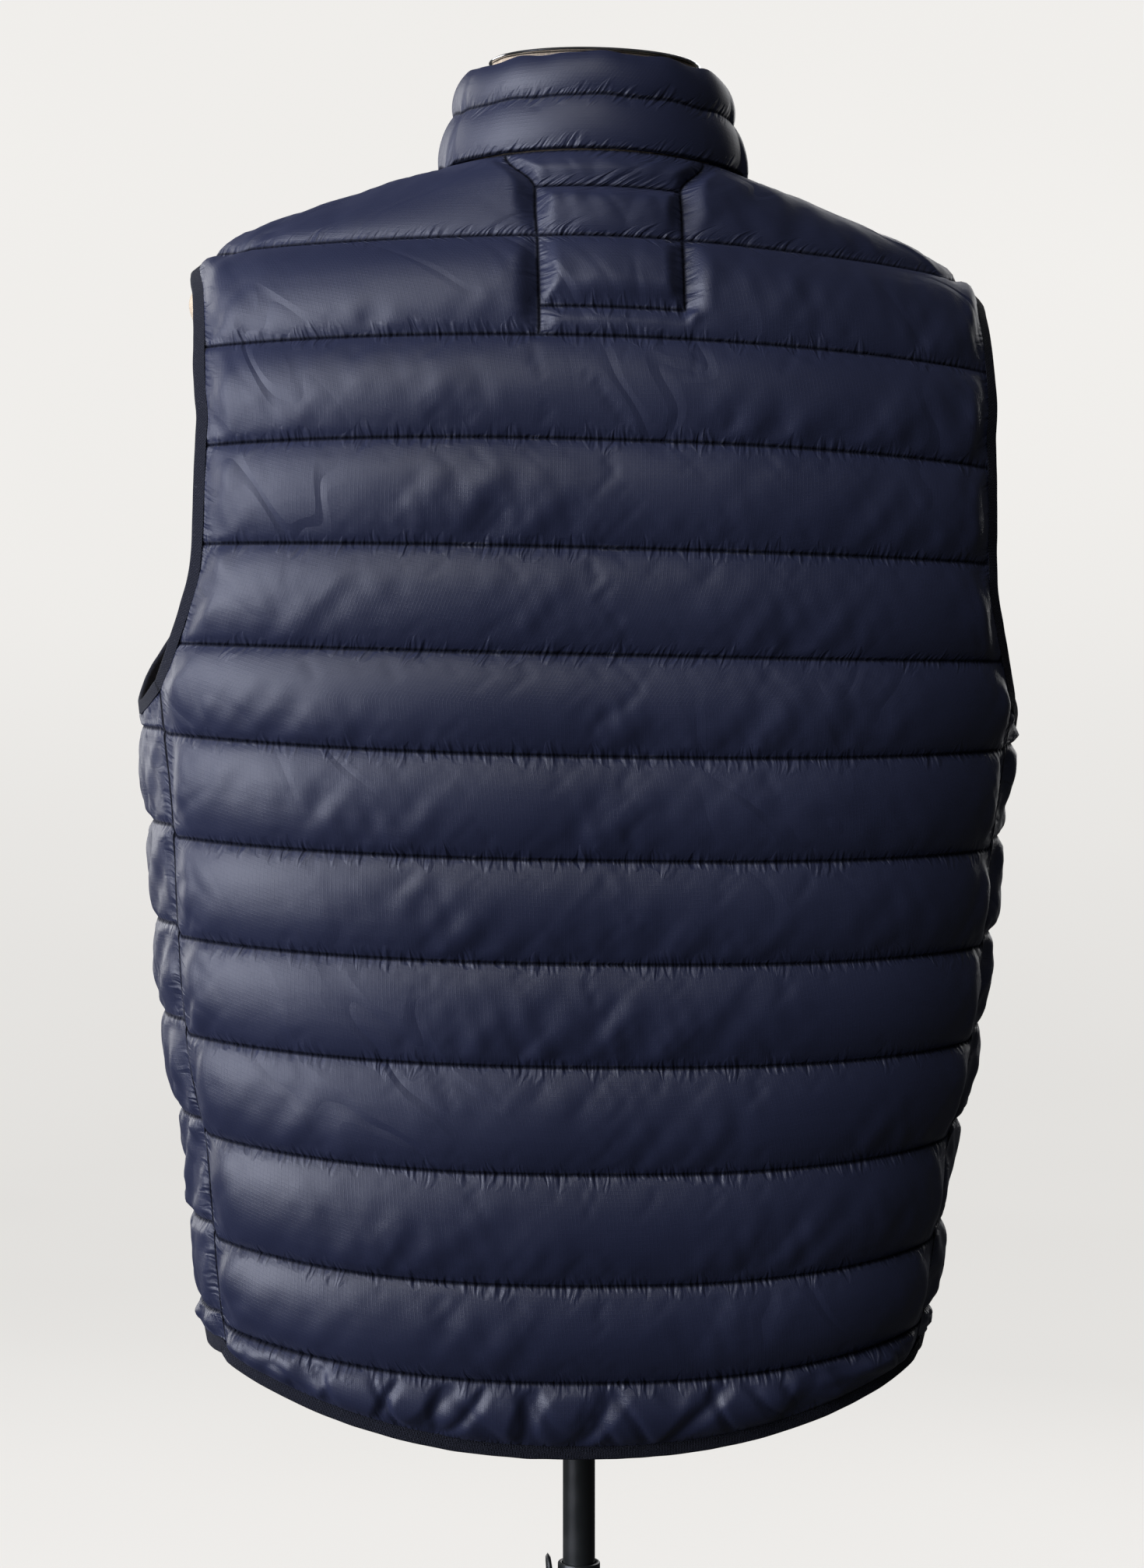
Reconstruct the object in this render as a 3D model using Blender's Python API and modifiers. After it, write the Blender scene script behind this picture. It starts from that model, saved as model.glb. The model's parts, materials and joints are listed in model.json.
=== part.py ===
"""A sleeveless quilted vest, zipped up on a limbless dress form that stands on a round foot.

The frame is +Z up, in metres, with the origin on the floor under the pole. The vest's front
faces -Y and the wearer's left side is at +X. The cloth is a hollow wall: thin along each line
of stitching and thick in the middle of each filled channel. The form inside leans a little to
one side on its vertical pole, and the vest leans with it.
"""

import math
from collections import namedtuple

import bmesh
import bpy
import numpy as np
from mathutils import Matrix

# ---- Driving sizes, in metres and degrees ------------------------------------------------

GAP = 0.0003
TAPE_GAP = 0.0008
LEAN = 0.022
LEAN_HEIGHT = 1.13
LEAN_NAME = "lean_axis"
PARTS = "quilted_vest_on_form"
CUTTERS = "cutters"

WALL = 0.0020
OUTER_LOFT = 0.0085
INNER_LOFT = 0.0025
LOFT_EDGE = 0.020
LOFT_ARCH = 2.2
SEAM_SHARE = 0.6
SHOULDER_REST = 0.030
SIDE_SEAM_DEG = 20.0
SHOULDER_SEAM_DEG = -16.0

COLLAR_LIFT = 0.0012
COLLAR_LOFT = 0.0050
COLLAR_TOP_HALF_WIDTH = 0.0785
COLLAR_TOP_BACK = 0.0640
COLLAR_TOP_FRONT = 0.0560
COLLAR_TOP_SIDE = 1.5380
COLLAR_TOP_RISE_BACK = 0.0035
COLLAR_TOP_RISE_FRONT = -0.0260

ARMHOLE_TAPE_WIDTH = 0.0055
ARMHOLE_TAPE_THICKNESS = 0.0030
HEM_TAPE_WIDTH = 0.0085
HEM_TAPE_THICKNESS = 0.0032

ZIP_OPENING = 0.0122
ZIP_TAPE_INNER = 0.0037
ZIP_TAPE_THICKNESS = 0.0008
ZIP_TEETH_HALF_WIDTH = 0.0030
ZIP_TEETH_THICKNESS = 0.0026
ZIP_TOP_MARGIN = 0.006

SLIDER_WIDTH = 0.0096
SLIDER_LENGTH = 0.0120
SLIDER_DEPTH = 0.0072
SLIDER_BELOW_TOP = 0.0150
SLIDER_EDGE = 0.0007
SLIDER_POST_WIDTH = 0.0022
BAIL_WIDTH = 0.0014
BAIL_DEPTH = 0.0034
BAIL_LENGTH = 0.0068
BAIL_SINK = 0.0005
BAIL_EYE_DEPTH = 0.0018
BAIL_EYE_LENGTH = 0.0044
PULL_WIDTH = 0.0070
PULL_LENGTH = 0.0260
PULL_THICKNESS = 0.0012
PULL_WINDOW_WIDTH = 0.0034
PULL_WINDOW_LENGTH = 0.0044
PULL_WINDOW_CENTRE = -0.0028

NECK_CAP_RADIUS = 0.0615
NECK_CAP_BAND = 0.0045
NECK_CAP_CROWN = 0.0035

POST_RADIUS = 0.0095
POST_WALL = 0.0012
POST_BOTTOM = 0.330
SOCKET_RADIUS = 0.0160
SOCKET_BORE_RADIUS = 0.0102
SOCKET_DEPTH = 0.0280
SOCKET_PLATE_RADIUS = 0.0450
SOCKET_PLATE_THICKNESS = 0.0035
SOCKET_FILLET = 0.0020
POST_END_GAP = 0.0012

SLEEVE_RADIUS = 0.0125
SLEEVE_BORE_RADIUS = 0.0100
SLEEVE_TOP = 0.6715
FOOT_RADIUS = 0.190
FOOT_THICKNESS = 0.006
FOOT_BOSS_RADIUS = 0.030
FOOT_BOSS_HEIGHT = 0.022
FOOT_TOP_CHAMFER = 0.0040
FOOT_LOW_CHAMFER = 0.0015
BOSS_TOP_WALL = 0.0040
BOSS_SIDE_HEIGHT = 0.0060
TUBE_CHAMFER = 0.0008

SCREW_HEIGHT = 0.6580
SCREW_SHANK_RADIUS = 0.0030
SCREW_HUB_RADIUS = 0.0060
SCREW_WING_SPAN = 0.0380
SCREW_WING_THICKNESS = 0.0042
SCREW_WING_TIP_HALF = 0.0028
SCREW_WING_ROOT_EXTRA = 0.0034
SCREW_WING_OFFSET = 0.0035
SCREW_WING_SWEEP = 0.0020
SCREW_HUB_LENGTH = 0.0075
SCREW_HOLE_END = 0.018

ROUND = 24

# One row for each horizontal section through the cloth, at its lines of stitching.
Section = namedtuple("Section", "height half_width back front roundness")
VEST_SECTIONS = (
    Section(0.740, 0.192, 0.082, 0.094, 2.30),
    Section(0.780, 0.203, 0.095, 0.101, 2.35),
    Section(0.820, 0.212, 0.103, 0.106, 2.40),
    Section(0.870, 0.218, 0.109, 0.110, 2.45),
    Section(0.920, 0.223, 0.112, 0.113, 2.50),
    Section(0.980, 0.236, 0.114, 0.115, 2.50),
    Section(1.050, 0.243, 0.117, 0.117, 2.50),
    Section(1.110, 0.247, 0.120, 0.119, 2.50),
    Section(1.165, 0.254, 0.122, 0.121, 2.50),
    Section(1.220, 0.260, 0.122, 0.120, 2.45),
    Section(1.290, 0.262, 0.119, 0.114, 2.40),
    Section(1.340, 0.262, 0.114, 0.104, 2.30),
    Section(1.380, 0.253, 0.107, 0.093, 2.05),
    Section(1.410, 0.237, 0.100, 0.084, 1.80),
    Section(1.432, 0.214, 0.092, 0.076, 1.65),
    Section(1.457, 0.143, 0.082, 0.068, 1.65),
    Section(1.484, 0.088, 0.071, 0.060, 2.00),
    Section(1.500, 0.083, 0.069, 0.057, 2.00),
)

# One row for each section of the form, from its flat underside to the top of its neck.
FORM_SECTIONS = (
    Section(0.8150, 0.146, 0.086, 0.088, 2.20),
    Section(0.8200, 0.155, 0.094, 0.096, 2.20),
    Section(0.8400, 0.163, 0.100, 0.101, 2.20),
    Section(0.9000, 0.167, 0.103, 0.104, 2.25),
    Section(1.0000, 0.158, 0.096, 0.100, 2.25),
    Section(1.1000, 0.164, 0.099, 0.105, 2.30),
    Section(1.2000, 0.177, 0.107, 0.109, 2.30),
    Section(1.2800, 0.188, 0.109, 0.104, 2.30),
    Section(1.3300, 0.202, 0.105, 0.096, 2.20),
    Section(1.3600, 0.215, 0.101, 0.089, 2.10),
    Section(1.3850, 0.226, 0.096, 0.083, 1.95),
    Section(1.4020, 0.232, 0.092, 0.078, 1.80),
    Section(1.4160, 0.226, 0.088, 0.074, 1.68),
    Section(1.4275, 0.209, 0.084, 0.070, 1.60),
    Section(1.4375, 0.187, 0.081, 0.067, 1.60),
    Section(1.4545, 0.139, 0.073, 0.060, 1.70),
    Section(1.4760, 0.090, 0.063, 0.053, 1.90),
    Section(1.4900, 0.0700, 0.058, 0.050, 2.00),
    Section(1.5100, 0.0620, 0.056, 0.050, 2.00),
    Section(1.5460, 0.0600, 0.056, 0.052, 2.00),
)

# One row for each line across the vest, from the hem to the neck seam: its height at the
# centre back, at the side of the back, at the side of the fronts and beside the zip, and how
# many rows of faces lie between it and the next. The filled channels lie between lines with
# stitches; the armhole line has none.
Line = namedtuple("Line", "name stitched back back_side front_side front rows")
LINES = (
    Line("hem", True, 0.7610, 0.8120, 0.8120, 0.8040, 3),
    Line("channel_1", True, 0.7990, 0.8240, 0.8280, 0.8300, 3),
    Line("channel_2", True, 0.8550, 0.8740, 0.8800, 0.8800, 3),
    Line("channel_3", True, 0.9180, 0.9330, 0.9400, 0.9360, 3),
    Line("channel_4", True, 0.9780, 0.9890, 0.9960, 0.9920, 3),
    Line("channel_5", True, 1.0355, 1.0440, 1.0500, 1.0460, 3),
    Line("channel_6", True, 1.0930, 1.1000, 1.1060, 1.1020, 3),
    Line("channel_7", True, 1.1505, 1.1580, 1.1600, 1.1570, 2),
    Line("armhole", False, 1.1790, 1.1830, 1.1830, 1.1840, 2),
    Line("channel_8", True, 1.2065, 1.2080, 1.2100, 1.2120, 3),
    Line("channel_9", True, 1.2650, 1.2620, 1.2650, 1.2680, 3),
    Line("channel_10", True, 1.3245, 1.3140, 1.3170, 1.3220, 3),
    Line("channel_11", True, 1.3820, 1.3700, 1.3730, 1.3760, 5),
    Line("channel_12", True, 1.4390, 1.4300, 1.4300, 1.4200, 3),
    Line("neck", True, 1.4890, 1.4830, 1.4830, 1.4500, 0),
)

# One row for each height on the armhole's edge: the angles of the back's and front's edges.
ArmholeEdge = namedtuple("ArmholeEdge", "height back_deg front_deg")
ARMHOLE_EDGES = (
    ArmholeEdge(1.1830, 20.0, -14.0),
    ArmholeEdge(1.1980, 25.0, -23.0),
    ArmholeEdge(1.2250, 30.6, -33.0),
    ArmholeEdge(1.2500, 33.8, -38.0),
    ArmholeEdge(1.2770, 34.5, -41.0),
    ArmholeEdge(1.3300, 34.5, -42.0),
    ArmholeEdge(1.3750, 29.0, -38.0),
    ArmholeEdge(1.4050, 20.0, -31.0),
    ArmholeEdge(1.4200, 8.0, -24.0),
    ArmholeEdge(1.4300, SHOULDER_SEAM_DEG, SHOULDER_SEAM_DEG),
)
ARMHOLE_DIP = 0.0140

# One row for each finish: its colour, roughness and metallic value.
Finish = namedtuple("Finish", "color roughness metallic")
FINISHES = {
    "shell_cloth": Finish((0.020, 0.027, 0.072), 0.42, 0.0),
    "binding_tape": Finish((0.006, 0.008, 0.022), 0.75, 0.0),
    "zip_metal": Finish((0.03, 0.03, 0.04), 0.35, 0.6),
    "form_linen": Finish((0.62, 0.52, 0.40), 0.85, 0.0),
    "cap_chrome": Finish((0.55, 0.56, 0.58), 0.15, 1.0),
    "stand_enamel": Finish((0.012, 0.012, 0.013), 0.35, 0.0),
}


# ---- Curves and sections -------------------------------------------------------------------


def smooth(xs, ys, at):
    """The values at the given places on a curve through the points that never overshoots them."""
    xs, ys, at = np.asarray(xs, float), np.asarray(ys, float), np.asarray(at, float)
    step = np.diff(xs)
    rise = np.diff(ys) / step
    slope = np.zeros_like(ys)
    slope[0], slope[-1] = rise[0], rise[-1]
    for i in range(1, len(xs) - 1):
        if rise[i - 1] * rise[i] > 0:
            before, after = 2 * step[i] + step[i - 1], step[i] + 2 * step[i - 1]
            slope[i] = (before + after) / (before / rise[i - 1] + after / rise[i])
    k = np.clip(np.searchsorted(xs, at) - 1, 0, len(xs) - 2)
    t = (at - xs[k]) / step[k]
    start = (1 + 2 * t) * (1 - t) ** 2 * ys[k] + t * (1 - t) ** 2 * step[k] * slope[k]
    end = t * t * (3 - 2 * t) * ys[k + 1] + t * t * (t - 1) * step[k] * slope[k + 1]
    return start + end


def column(rows, field):
    """One named column of a table."""
    return [getattr(row, field) for row in rows]


def section_sizes(sections, heights):
    """Half width, back depth, front depth and roundness of the form at each height."""
    at = column(sections, "height")
    return [smooth(at, column(sections, name), heights) for name in Section._fields[1:]]


def section_points(sections, degrees, heights):
    """Points on the rounded sections. 0 degrees is at +X, 90 at the back and -90 at the front."""
    half_width, back, front, roundness = section_sizes(sections, heights)
    angle = np.radians(degrees)
    along, across = np.cos(angle), np.sin(angle)
    depth = np.where(across >= 0, back, front)
    x = half_width * np.sign(along) * np.abs(along) ** (2 / roundness)
    y = depth * np.sign(across) * np.abs(across) ** (2 / roundness)
    return np.stack([x, y, heights + 0 * x], axis=-1)


def outside_measure(sections, points):
    """Above 0 outside the sections, below 0 inside."""
    half_width, back, front, roundness = section_sizes(sections, points[..., 2])
    depth = np.where(points[..., 1] >= 0, back, front)
    across = np.abs(points[..., 0] / half_width) ** roundness
    return across + np.abs(points[..., 1] / depth) ** roundness - 1


def section_normals(sections, points):
    """Unit vectors that point straight out of the sections' surface."""
    step = 0.0005
    gradient = np.empty_like(points)
    for axis in range(3):
        shift = np.zeros(3)
        shift[axis] = step
        above = outside_measure(sections, points + shift)
        gradient[..., axis] = above - outside_measure(sections, points - shift)
    return gradient / np.linalg.norm(gradient, axis=-1, keepdims=True)


def angle_at_width(sections, x, heights):
    """The angle, 0 to 90 degrees, at which the section is that far from the centre plane."""
    half_width, _, _, roundness = section_sizes(sections, heights)
    return np.degrees(np.arccos((x / half_width) ** (roundness / 2)))


def line_height(line, degrees):
    """A line's height at each angle round the vest."""
    across = np.sin(np.radians(degrees))
    on_back = line.back_side + (line.back - line.back_side) * across**2
    on_front = line.front_side + (line.front - line.front_side) * across**2
    from_back = np.abs(np.asarray(degrees, float) - 90.0)
    back_share = np.clip(0.5 + (90.0 - SIDE_SEAM_DEG - from_back) / 2.0, 0.0, 1.0)
    height = on_front + (on_back - on_front) * back_share
    if line.name == "armhole":
        middle = (SIDE_SEAM_DEG + ARMHOLE_EDGES[0].front_deg) / 2
        reach = SIDE_SEAM_DEG - middle
        nearest = np.minimum(np.abs(degrees - middle), np.abs(180 - middle - degrees)) / reach
        height = height - ARMHOLE_DIP * np.clip(1 - nearest**2, 0.0, 1.0)
    return height


# ---- Panels: their rows, edges and filled channels -----------------------------------------


def rows_of(lines):
    """Every row of a panel, as the line under it and the share of the way up to the next."""
    rows = []
    for index, line in enumerate(lines[:-1]):
        rows += [(index, step / line.rows) for step in range(line.rows)]
    return rows + [(len(lines) - 2, 1.0)]


def row_height(row, degrees):
    """A row's height at each angle."""
    index, share = row
    low, high = line_height(LINES[index], degrees), line_height(LINES[index + 1], degrees)
    return low + (high - low) * share


def even_row(row, start, end, shares):
    """The angles that divide a row between two angles into the given shares of its length."""
    degrees = np.linspace(start, end, 241)
    points = section_points(VEST_SECTIONS, degrees, row_height(row, degrees))
    steps = np.linalg.norm(np.diff(points, axis=0), axis=1)
    length = np.concatenate([[0.0], np.cumsum(steps)])
    return np.interp(np.asarray(shares) * length[-1], length, degrees)


def armhole_degrees(height, field):
    """The angle of the armhole's back or front edge at a height."""
    return float(smooth(column(ARMHOLE_EDGES, "height"), column(ARMHOLE_EDGES, field), height))


def edge_angle(row, field):
    """Where a row ends at the wearer's left: on the side seam, armhole or shoulder seam."""
    guess = SIDE_SEAM_DEG
    for _ in range(12):
        height = float(row_height(row, guess))
        if height <= ARMHOLE_EDGES[0].height:
            return SIDE_SEAM_DEG
        if height >= ARMHOLE_EDGES[-1].height:
            return SHOULDER_SEAM_DEG
        guess = 0.5 * guess + 0.5 * armhole_degrees(height, field)
    return guess


def zip_angle(row):
    """Where a row of the left front ends, beside the zip."""
    height = float(row_height(row, -90.0))
    return -float(angle_at_width(VEST_SECTIONS, ZIP_OPENING, height))


def channel_share(degrees, heights):
    """How far up its filled channel each point is, from 0 to 1."""
    share = np.zeros_like(heights)
    stitched = [line for line in LINES if line.stitched]
    for low, high in zip(stitched, stitched[1:]):
        bottom, top = line_height(low, degrees), line_height(high, degrees)
        part = (heights - bottom) / (top - bottom)
        share = np.where((part >= 0) & (part <= 1), part, share)
    return share


def channel_loft(share):
    """The height of a filled channel's arch, as a share of its loft."""
    return 1 - np.abs(2 * share - 1) ** LOFT_ARCH


def edge_fade(grid):
    """0 at a panel's two side edges and 1 once inside them."""
    steps = np.linalg.norm(np.diff(grid, axis=1), axis=2)
    start = np.concatenate([np.zeros((len(grid), 1)), np.cumsum(steps, axis=1)], axis=1)
    nearest = np.minimum(start, start[:, -1:] - start)
    part = np.clip(nearest / LOFT_EDGE, 0.0, 1.0)
    return part * part * (3 - 2 * part)


def trimmed(grid):
    """The grid with its first and last columns moved in, to leave a gap along each seam."""
    grid = grid.copy()
    for edge, inside in ((0, 1), (-1, -2)):
        inward = grid[:, inside] - grid[:, edge]
        inward /= np.linalg.norm(inward, axis=1, keepdims=True)
        grid[:, edge] += inward * GAP * SEAM_SHARE
    return grid


def quilted_faces(degrees, heights):
    """The outer and inner faces of a panel, flat inside where the shoulders rest on the form."""
    middle = section_points(VEST_SECTIONS, degrees, heights)
    normals = section_normals(VEST_SECTIONS, middle)
    middle = trimmed(middle)
    loft = channel_loft(channel_share(degrees, heights)) * edge_fade(middle)
    below = ARMHOLE_EDGES[-1].height - SHOULDER_REST - heights
    worn = np.clip(below / SHOULDER_REST, 0.0, 1.0)
    out = WALL / 2 + OUTER_LOFT * loft
    into = WALL / 2 + INNER_LOFT * loft * worn
    return middle + normals * out[..., None], middle - normals * into[..., None]


# ---- Meshes ----------------------------------------------------------------------------------


def finish_material(name):
    """The Principled material of one finish."""
    material = bpy.data.materials.get(name)
    if material:
        return material
    finish = FINISHES[name]
    material = bpy.data.materials.new(name)
    material.use_nodes = True
    shader = material.node_tree.nodes["Principled BSDF"]
    shader.inputs["Base Color"].default_value = (*finish.color, 1.0)
    shader.inputs["Roughness"].default_value = finish.roughness
    shader.inputs["Metallic"].default_value = finish.metallic
    material.diffuse_color = (*finish.color, 1.0)
    return material


def collection_named(name):
    """A collection in the scene, made on its first use."""
    holder = bpy.data.collections.get(name)
    if not holder:
        holder = bpy.data.collections.new(name)
        bpy.context.scene.collection.children.link(holder)
    return holder


def place(name, mesh, finish, parent=None):
    """Add a mesh as a named object with its finish, under its parent empty."""
    mesh.materials.append(finish_material(finish))
    obj = bpy.data.objects.new(name, mesh)
    collection_named(PARTS).objects.link(obj)
    attach(obj, parent)
    return obj


def empty_at(name, location, parent=None):
    """An empty that carries the pieces made round its origin."""
    holder = bpy.data.objects.new(name, None)
    collection_named(PARTS).objects.link(holder)
    attach(holder, parent)
    holder.location = location
    return holder


def attach(obj, parent):
    """Parent an object. What leans is modelled upright, in the world's own coordinates."""
    obj.parent = parent
    if parent and parent.name == LEAN_NAME:
        obj.matrix_parent_inverse = Matrix.Translation(-parent.location)


def mesh_from(name, points, faces, sharp_deg=40.0):
    """A smooth-shaded mesh from points and faces."""
    mesh = bpy.data.meshes.new(name)
    mesh.from_pydata([tuple(map(float, point)) for point in points], [], faces)
    mesh.validate()
    mesh.shade_smooth()
    mesh.set_sharp_from_angle(angle=math.radians(sharp_deg))
    return mesh


def wall_mesh(name, outer, inner, kept=None):
    """A closed wall between two grids of points, over the cells that are kept."""
    rows, columns = outer.shape[:2]
    kept = np.ones((rows - 1, columns - 1), bool) if kept is None else kept
    count = rows * columns
    faces = []
    edges = {}
    for row, col in zip(*np.nonzero(kept)):
        a = int(row * columns + col)
        quad = (a, a + 1, a + columns + 1, a + columns)
        faces.append(quad)
        faces.append(tuple(corner + count for corner in reversed(quad)))
        for start, end in zip(quad, quad[1:] + quad[:1]):
            if (end, start) in edges:
                del edges[(end, start)]
            else:
                edges[(start, end)] = True
    faces += [(end, start, start + count, end + count) for start, end in edges]
    points = np.concatenate([outer.reshape(-1, 3), inner.reshape(-1, 3)])
    used = sorted({corner for face in faces for corner in face})
    index = {old: new for new, old in enumerate(used)}
    faces = [tuple(index[corner] for corner in face) for face in faces]
    mesh = mesh_from(name, points[used], faces)
    face_outward(mesh)
    return mesh


def face_outward(mesh):
    """Turn every face of a closed mesh outward."""
    shape = bmesh.new()
    shape.from_mesh(mesh)
    bmesh.ops.recalc_face_normals(shape, faces=shape.faces)
    shape.to_mesh(mesh)
    shape.free()


def loft_mesh(name, rings, closed_along=False):
    """A solid through rings of points, with flat ends, or closed on itself."""
    count = len(rings[0])
    points = np.concatenate(rings)
    spans = len(rings) if closed_along else len(rings) - 1
    faces = []
    for ring in range(spans):
        low, high = ring * count, ((ring + 1) % len(rings)) * count
        for i in range(count):
            j = (i + 1) % count
            faces.append((low + i, low + j, high + j, high + i))
    if not closed_along:
        faces.append(tuple(range(count)))
        faces.append(tuple(len(points) - count + i for i in range(count)))
    mesh = mesh_from(name, points, faces)
    face_outward(mesh)
    return mesh


def turned(name, profile, finish, parent=None, around=(0.0, 0.0)):
    """A turned piece: its profile of (radius, height) points, outer side down, on a Screw."""
    mesh = bpy.data.meshes.new(name)
    points = [(radius, 0.0, height) for radius, height in profile]
    loop = [(i, (i + 1) % len(points)) for i in range(len(points))]
    if profile[0][0] == 0.0:
        loop = loop[:-1]
    mesh.from_pydata(points, loop, [])
    obj = place(name, mesh, finish, parent)
    obj.location = (around[0], around[1], 0.0)
    screw = obj.modifiers.new("Turn", "SCREW")
    screw.axis = "Z"
    screw.angle = math.tau
    screw.steps = screw.render_steps = ROUND
    screw.use_merge_vertices = True
    screw.merge_threshold = 0.0001
    screw.use_smooth_shade = True
    return obj


def boxed(name, size, center, finish, parent=None, bevel=0.0):
    """A box with rounded edges."""
    shape = bmesh.new()
    bmesh.ops.create_cube(shape, size=1.0, matrix=Matrix.Diagonal((*size, 1.0)))
    mesh = bpy.data.meshes.new(name)
    shape.to_mesh(mesh)
    shape.free()
    obj = place(name, mesh, finish, parent)
    obj.location = center
    if bevel:
        rounding = obj.modifiers.new("Edges", "BEVEL")
        rounding.width = bevel
        rounding.segments = 1
    return obj


def cutter(obj):
    """Make an object a hidden cutter, kept apart from the pieces."""
    collection_named(PARTS).objects.unlink(obj)
    collection_named(CUTTERS).objects.link(obj)
    obj.hide_render = True
    obj.display_type = "WIRE"
    return obj


def boolean(obj, other, operation):
    """Cut another object out of this one, or join it on."""
    step = obj.modifiers.new(operation.title(), "BOOLEAN")
    step.operation = operation
    step.solver = "EXACT"
    step.object = cutter(other)


# ---- The vest's panels ---------------------------------------------------------------------

ROWS = rows_of(LINES)
LINE_NAMES = column(LINES, "name")
ARMHOLE_ROW = ROWS.index((LINE_NAMES.index("armhole"), 0.0))
SHOULDER_ROW = ROWS.index((LINE_NAMES.index("channel_12"), 0.0))
BACK_SHARES = np.concatenate([[0.0, 0.02, 0.055], np.linspace(0.1, 0.9, 15), [0.945, 0.98, 1.0]])
FRONT_SHARES = np.array([0.0, 0.04, 0.16, 0.30, 0.45, 0.60, 0.75, 0.90, 1.0])
SIDE_SHARES = np.array([0.0, 0.30, 0.65, 1.0])
FRONT_BODY = len(FRONT_SHARES)


def back_grid():
    """Angles and heights of the back, from hem to neck seam and over both shoulders."""
    degrees = []
    for row in ROWS:
        start = edge_angle(row, "back_deg")
        degrees.append(even_row(row, start, 180 - start, BACK_SHARES))
    heights = [row_height(row, angles) for row, angles in zip(ROWS, degrees)]
    return np.array(degrees), np.array(heights)


def front_grid():
    """Angles, heights and kept cells of the left front, whose side stops at the armhole."""
    degrees, kept = [], []
    for index, row in enumerate(ROWS):
        below = index <= ARMHOLE_ROW
        corner = ARMHOLE_EDGES[0].front_deg if below else edge_angle(row, "front_deg")
        body = even_row(row, zip_angle(row), corner, FRONT_SHARES)
        side = even_row(row, corner, SIDE_SEAM_DEG, SIDE_SHARES) if below else [corner] * 4
        degrees.append(np.concatenate([body, side[1:]]))
        kept.append([True] * (FRONT_BODY - 1) + [index < ARMHOLE_ROW] * 3)
    heights = [row_height(row, angles) for row, angles in zip(ROWS, degrees)]
    return np.array(degrees), np.array(heights), np.array(kept[:-1])


def front_faces(degrees, heights):
    """Outer and inner faces of the left front, whose side columns end at the armhole."""
    outer, inner = np.empty((*degrees.shape, 3)), np.empty((*degrees.shape, 3))
    low, high = slice(0, ARMHOLE_ROW + 1), slice(ARMHOLE_ROW + 1, len(degrees))
    body, side = slice(0, FRONT_BODY), slice(FRONT_BODY, None)
    outer[low], inner[low] = quilted_faces(degrees[low], heights[low])
    outer[high, body], inner[high, body] = quilted_faces(degrees[high, body], heights[high, body])
    outer[high, side] = outer[high, FRONT_BODY - 1 : FRONT_BODY]
    inner[high, side] = inner[high, FRONT_BODY - 1 : FRONT_BODY]
    return outer, inner


class Vest:
    """The vest's panels as grids of points, which its collar, tapes and zip are made from."""

    def __init__(self):
        self.back_outer, self.back_inner = quilted_faces(*back_grid())
        degrees, heights, self.front_kept = front_grid()
        self.front_outer, self.front_inner = front_faces(degrees, heights)
        self.back_middle = (self.back_outer + self.back_inner) / 2
        self.front_middle = (self.front_outer + self.front_inner) / 2

    def add_panels(self, parent):
        """The back and the two fronts."""
        place("back_panel", wall_mesh("back_panel", self.back_outer, self.back_inner),
              "shell_cloth", parent)
        for name, side in (("front_left", 1.0), ("front_right", -1.0)):
            flip = np.array([side, 1.0, 1.0])
            mesh = wall_mesh(name, self.front_outer * flip, self.front_inner * flip,
                             self.front_kept)
            place(name, mesh, "shell_cloth", parent)

    def armhole_path(self):
        """The points round the left armhole: up the back, down the front and under the arm."""
        back = self.back_middle[ARMHOLE_ROW : SHOULDER_ROW + 1, 0]
        front = self.front_middle[ARMHOLE_ROW:SHOULDER_ROW, FRONT_BODY - 1][::-1]
        under = self.front_middle[ARMHOLE_ROW, FRONT_BODY:-1]
        return np.concatenate([back, front, under])

    def round_vest(self, front_row, back_row):
        """One row right round the vest, from the left front's zip edge to the right front's."""
        mirrored = front_row[::-1] * np.array([-1.0, 1.0, 1.0])
        left_seam = (front_row[-1] + back_row[0]) / 2
        right_seam = (mirrored[0] + back_row[-1]) / 2
        middle = [left_seam[None], back_row[1:-1], right_seam[None]]
        return np.concatenate([front_row[:-1], *middle, mirrored[1:]])

    def hem_path(self):
        """The points along the hem, at the cloth's mid thickness."""
        return self.round_vest(self.front_middle[0], self.back_middle[0])

    def neck_path(self):
        """The points along the neck seam, at the cloth's mid thickness."""
        return self.round_vest(self.front_middle[-1, :FRONT_BODY], self.back_middle[-1])

    def add_bindings(self, parent):
        """The tapes bound round the two armholes and along the hem."""
        path = self.armhole_path()
        toward = path.mean(axis=0) - path
        rings = tape_rings(path, toward, ARMHOLE_TAPE_WIDTH, ARMHOLE_TAPE_THICKNESS, True)
        for name, side in (("armhole_tape_left", 1.0), ("armhole_tape_right", -1.0)):
            flipped = [ring * np.array([side, 1.0, 1.0]) for ring in rings]
            place(name, loft_mesh(name, flipped, closed_along=True), "binding_tape", parent)
        path = self.hem_path()
        toward = np.zeros_like(path) - np.array([0.0, 0.0, 1.0])
        rings = tape_rings(path, toward, HEM_TAPE_WIDTH, HEM_TAPE_THICKNESS, False)
        place("hem_tape", loft_mesh("hem_tape", rings), "binding_tape", parent)

    def add_collar(self, parent):
        """The stand-up collar: two filled channels, open at the zip."""
        middle = collar_middle(self.neck_path())
        normals = grid_normals(middle)
        share = (COLLAR_ROWS * 2) % 1.0
        loft = channel_loft(share)[:, None] * edge_fade(middle)
        out = (WALL / 2 + COLLAR_LOFT * loft)[..., None]
        into = (WALL / 2 + 0.4 * COLLAR_LOFT * loft)[..., None]
        mesh = wall_mesh("collar", middle + normals * out, middle - normals * into)
        place("collar", mesh, "shell_cloth", parent)


COLLAR_ROWS = np.array([0.0, 0.15, 0.35, 0.5, 0.65, 0.85, 1.0])


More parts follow.
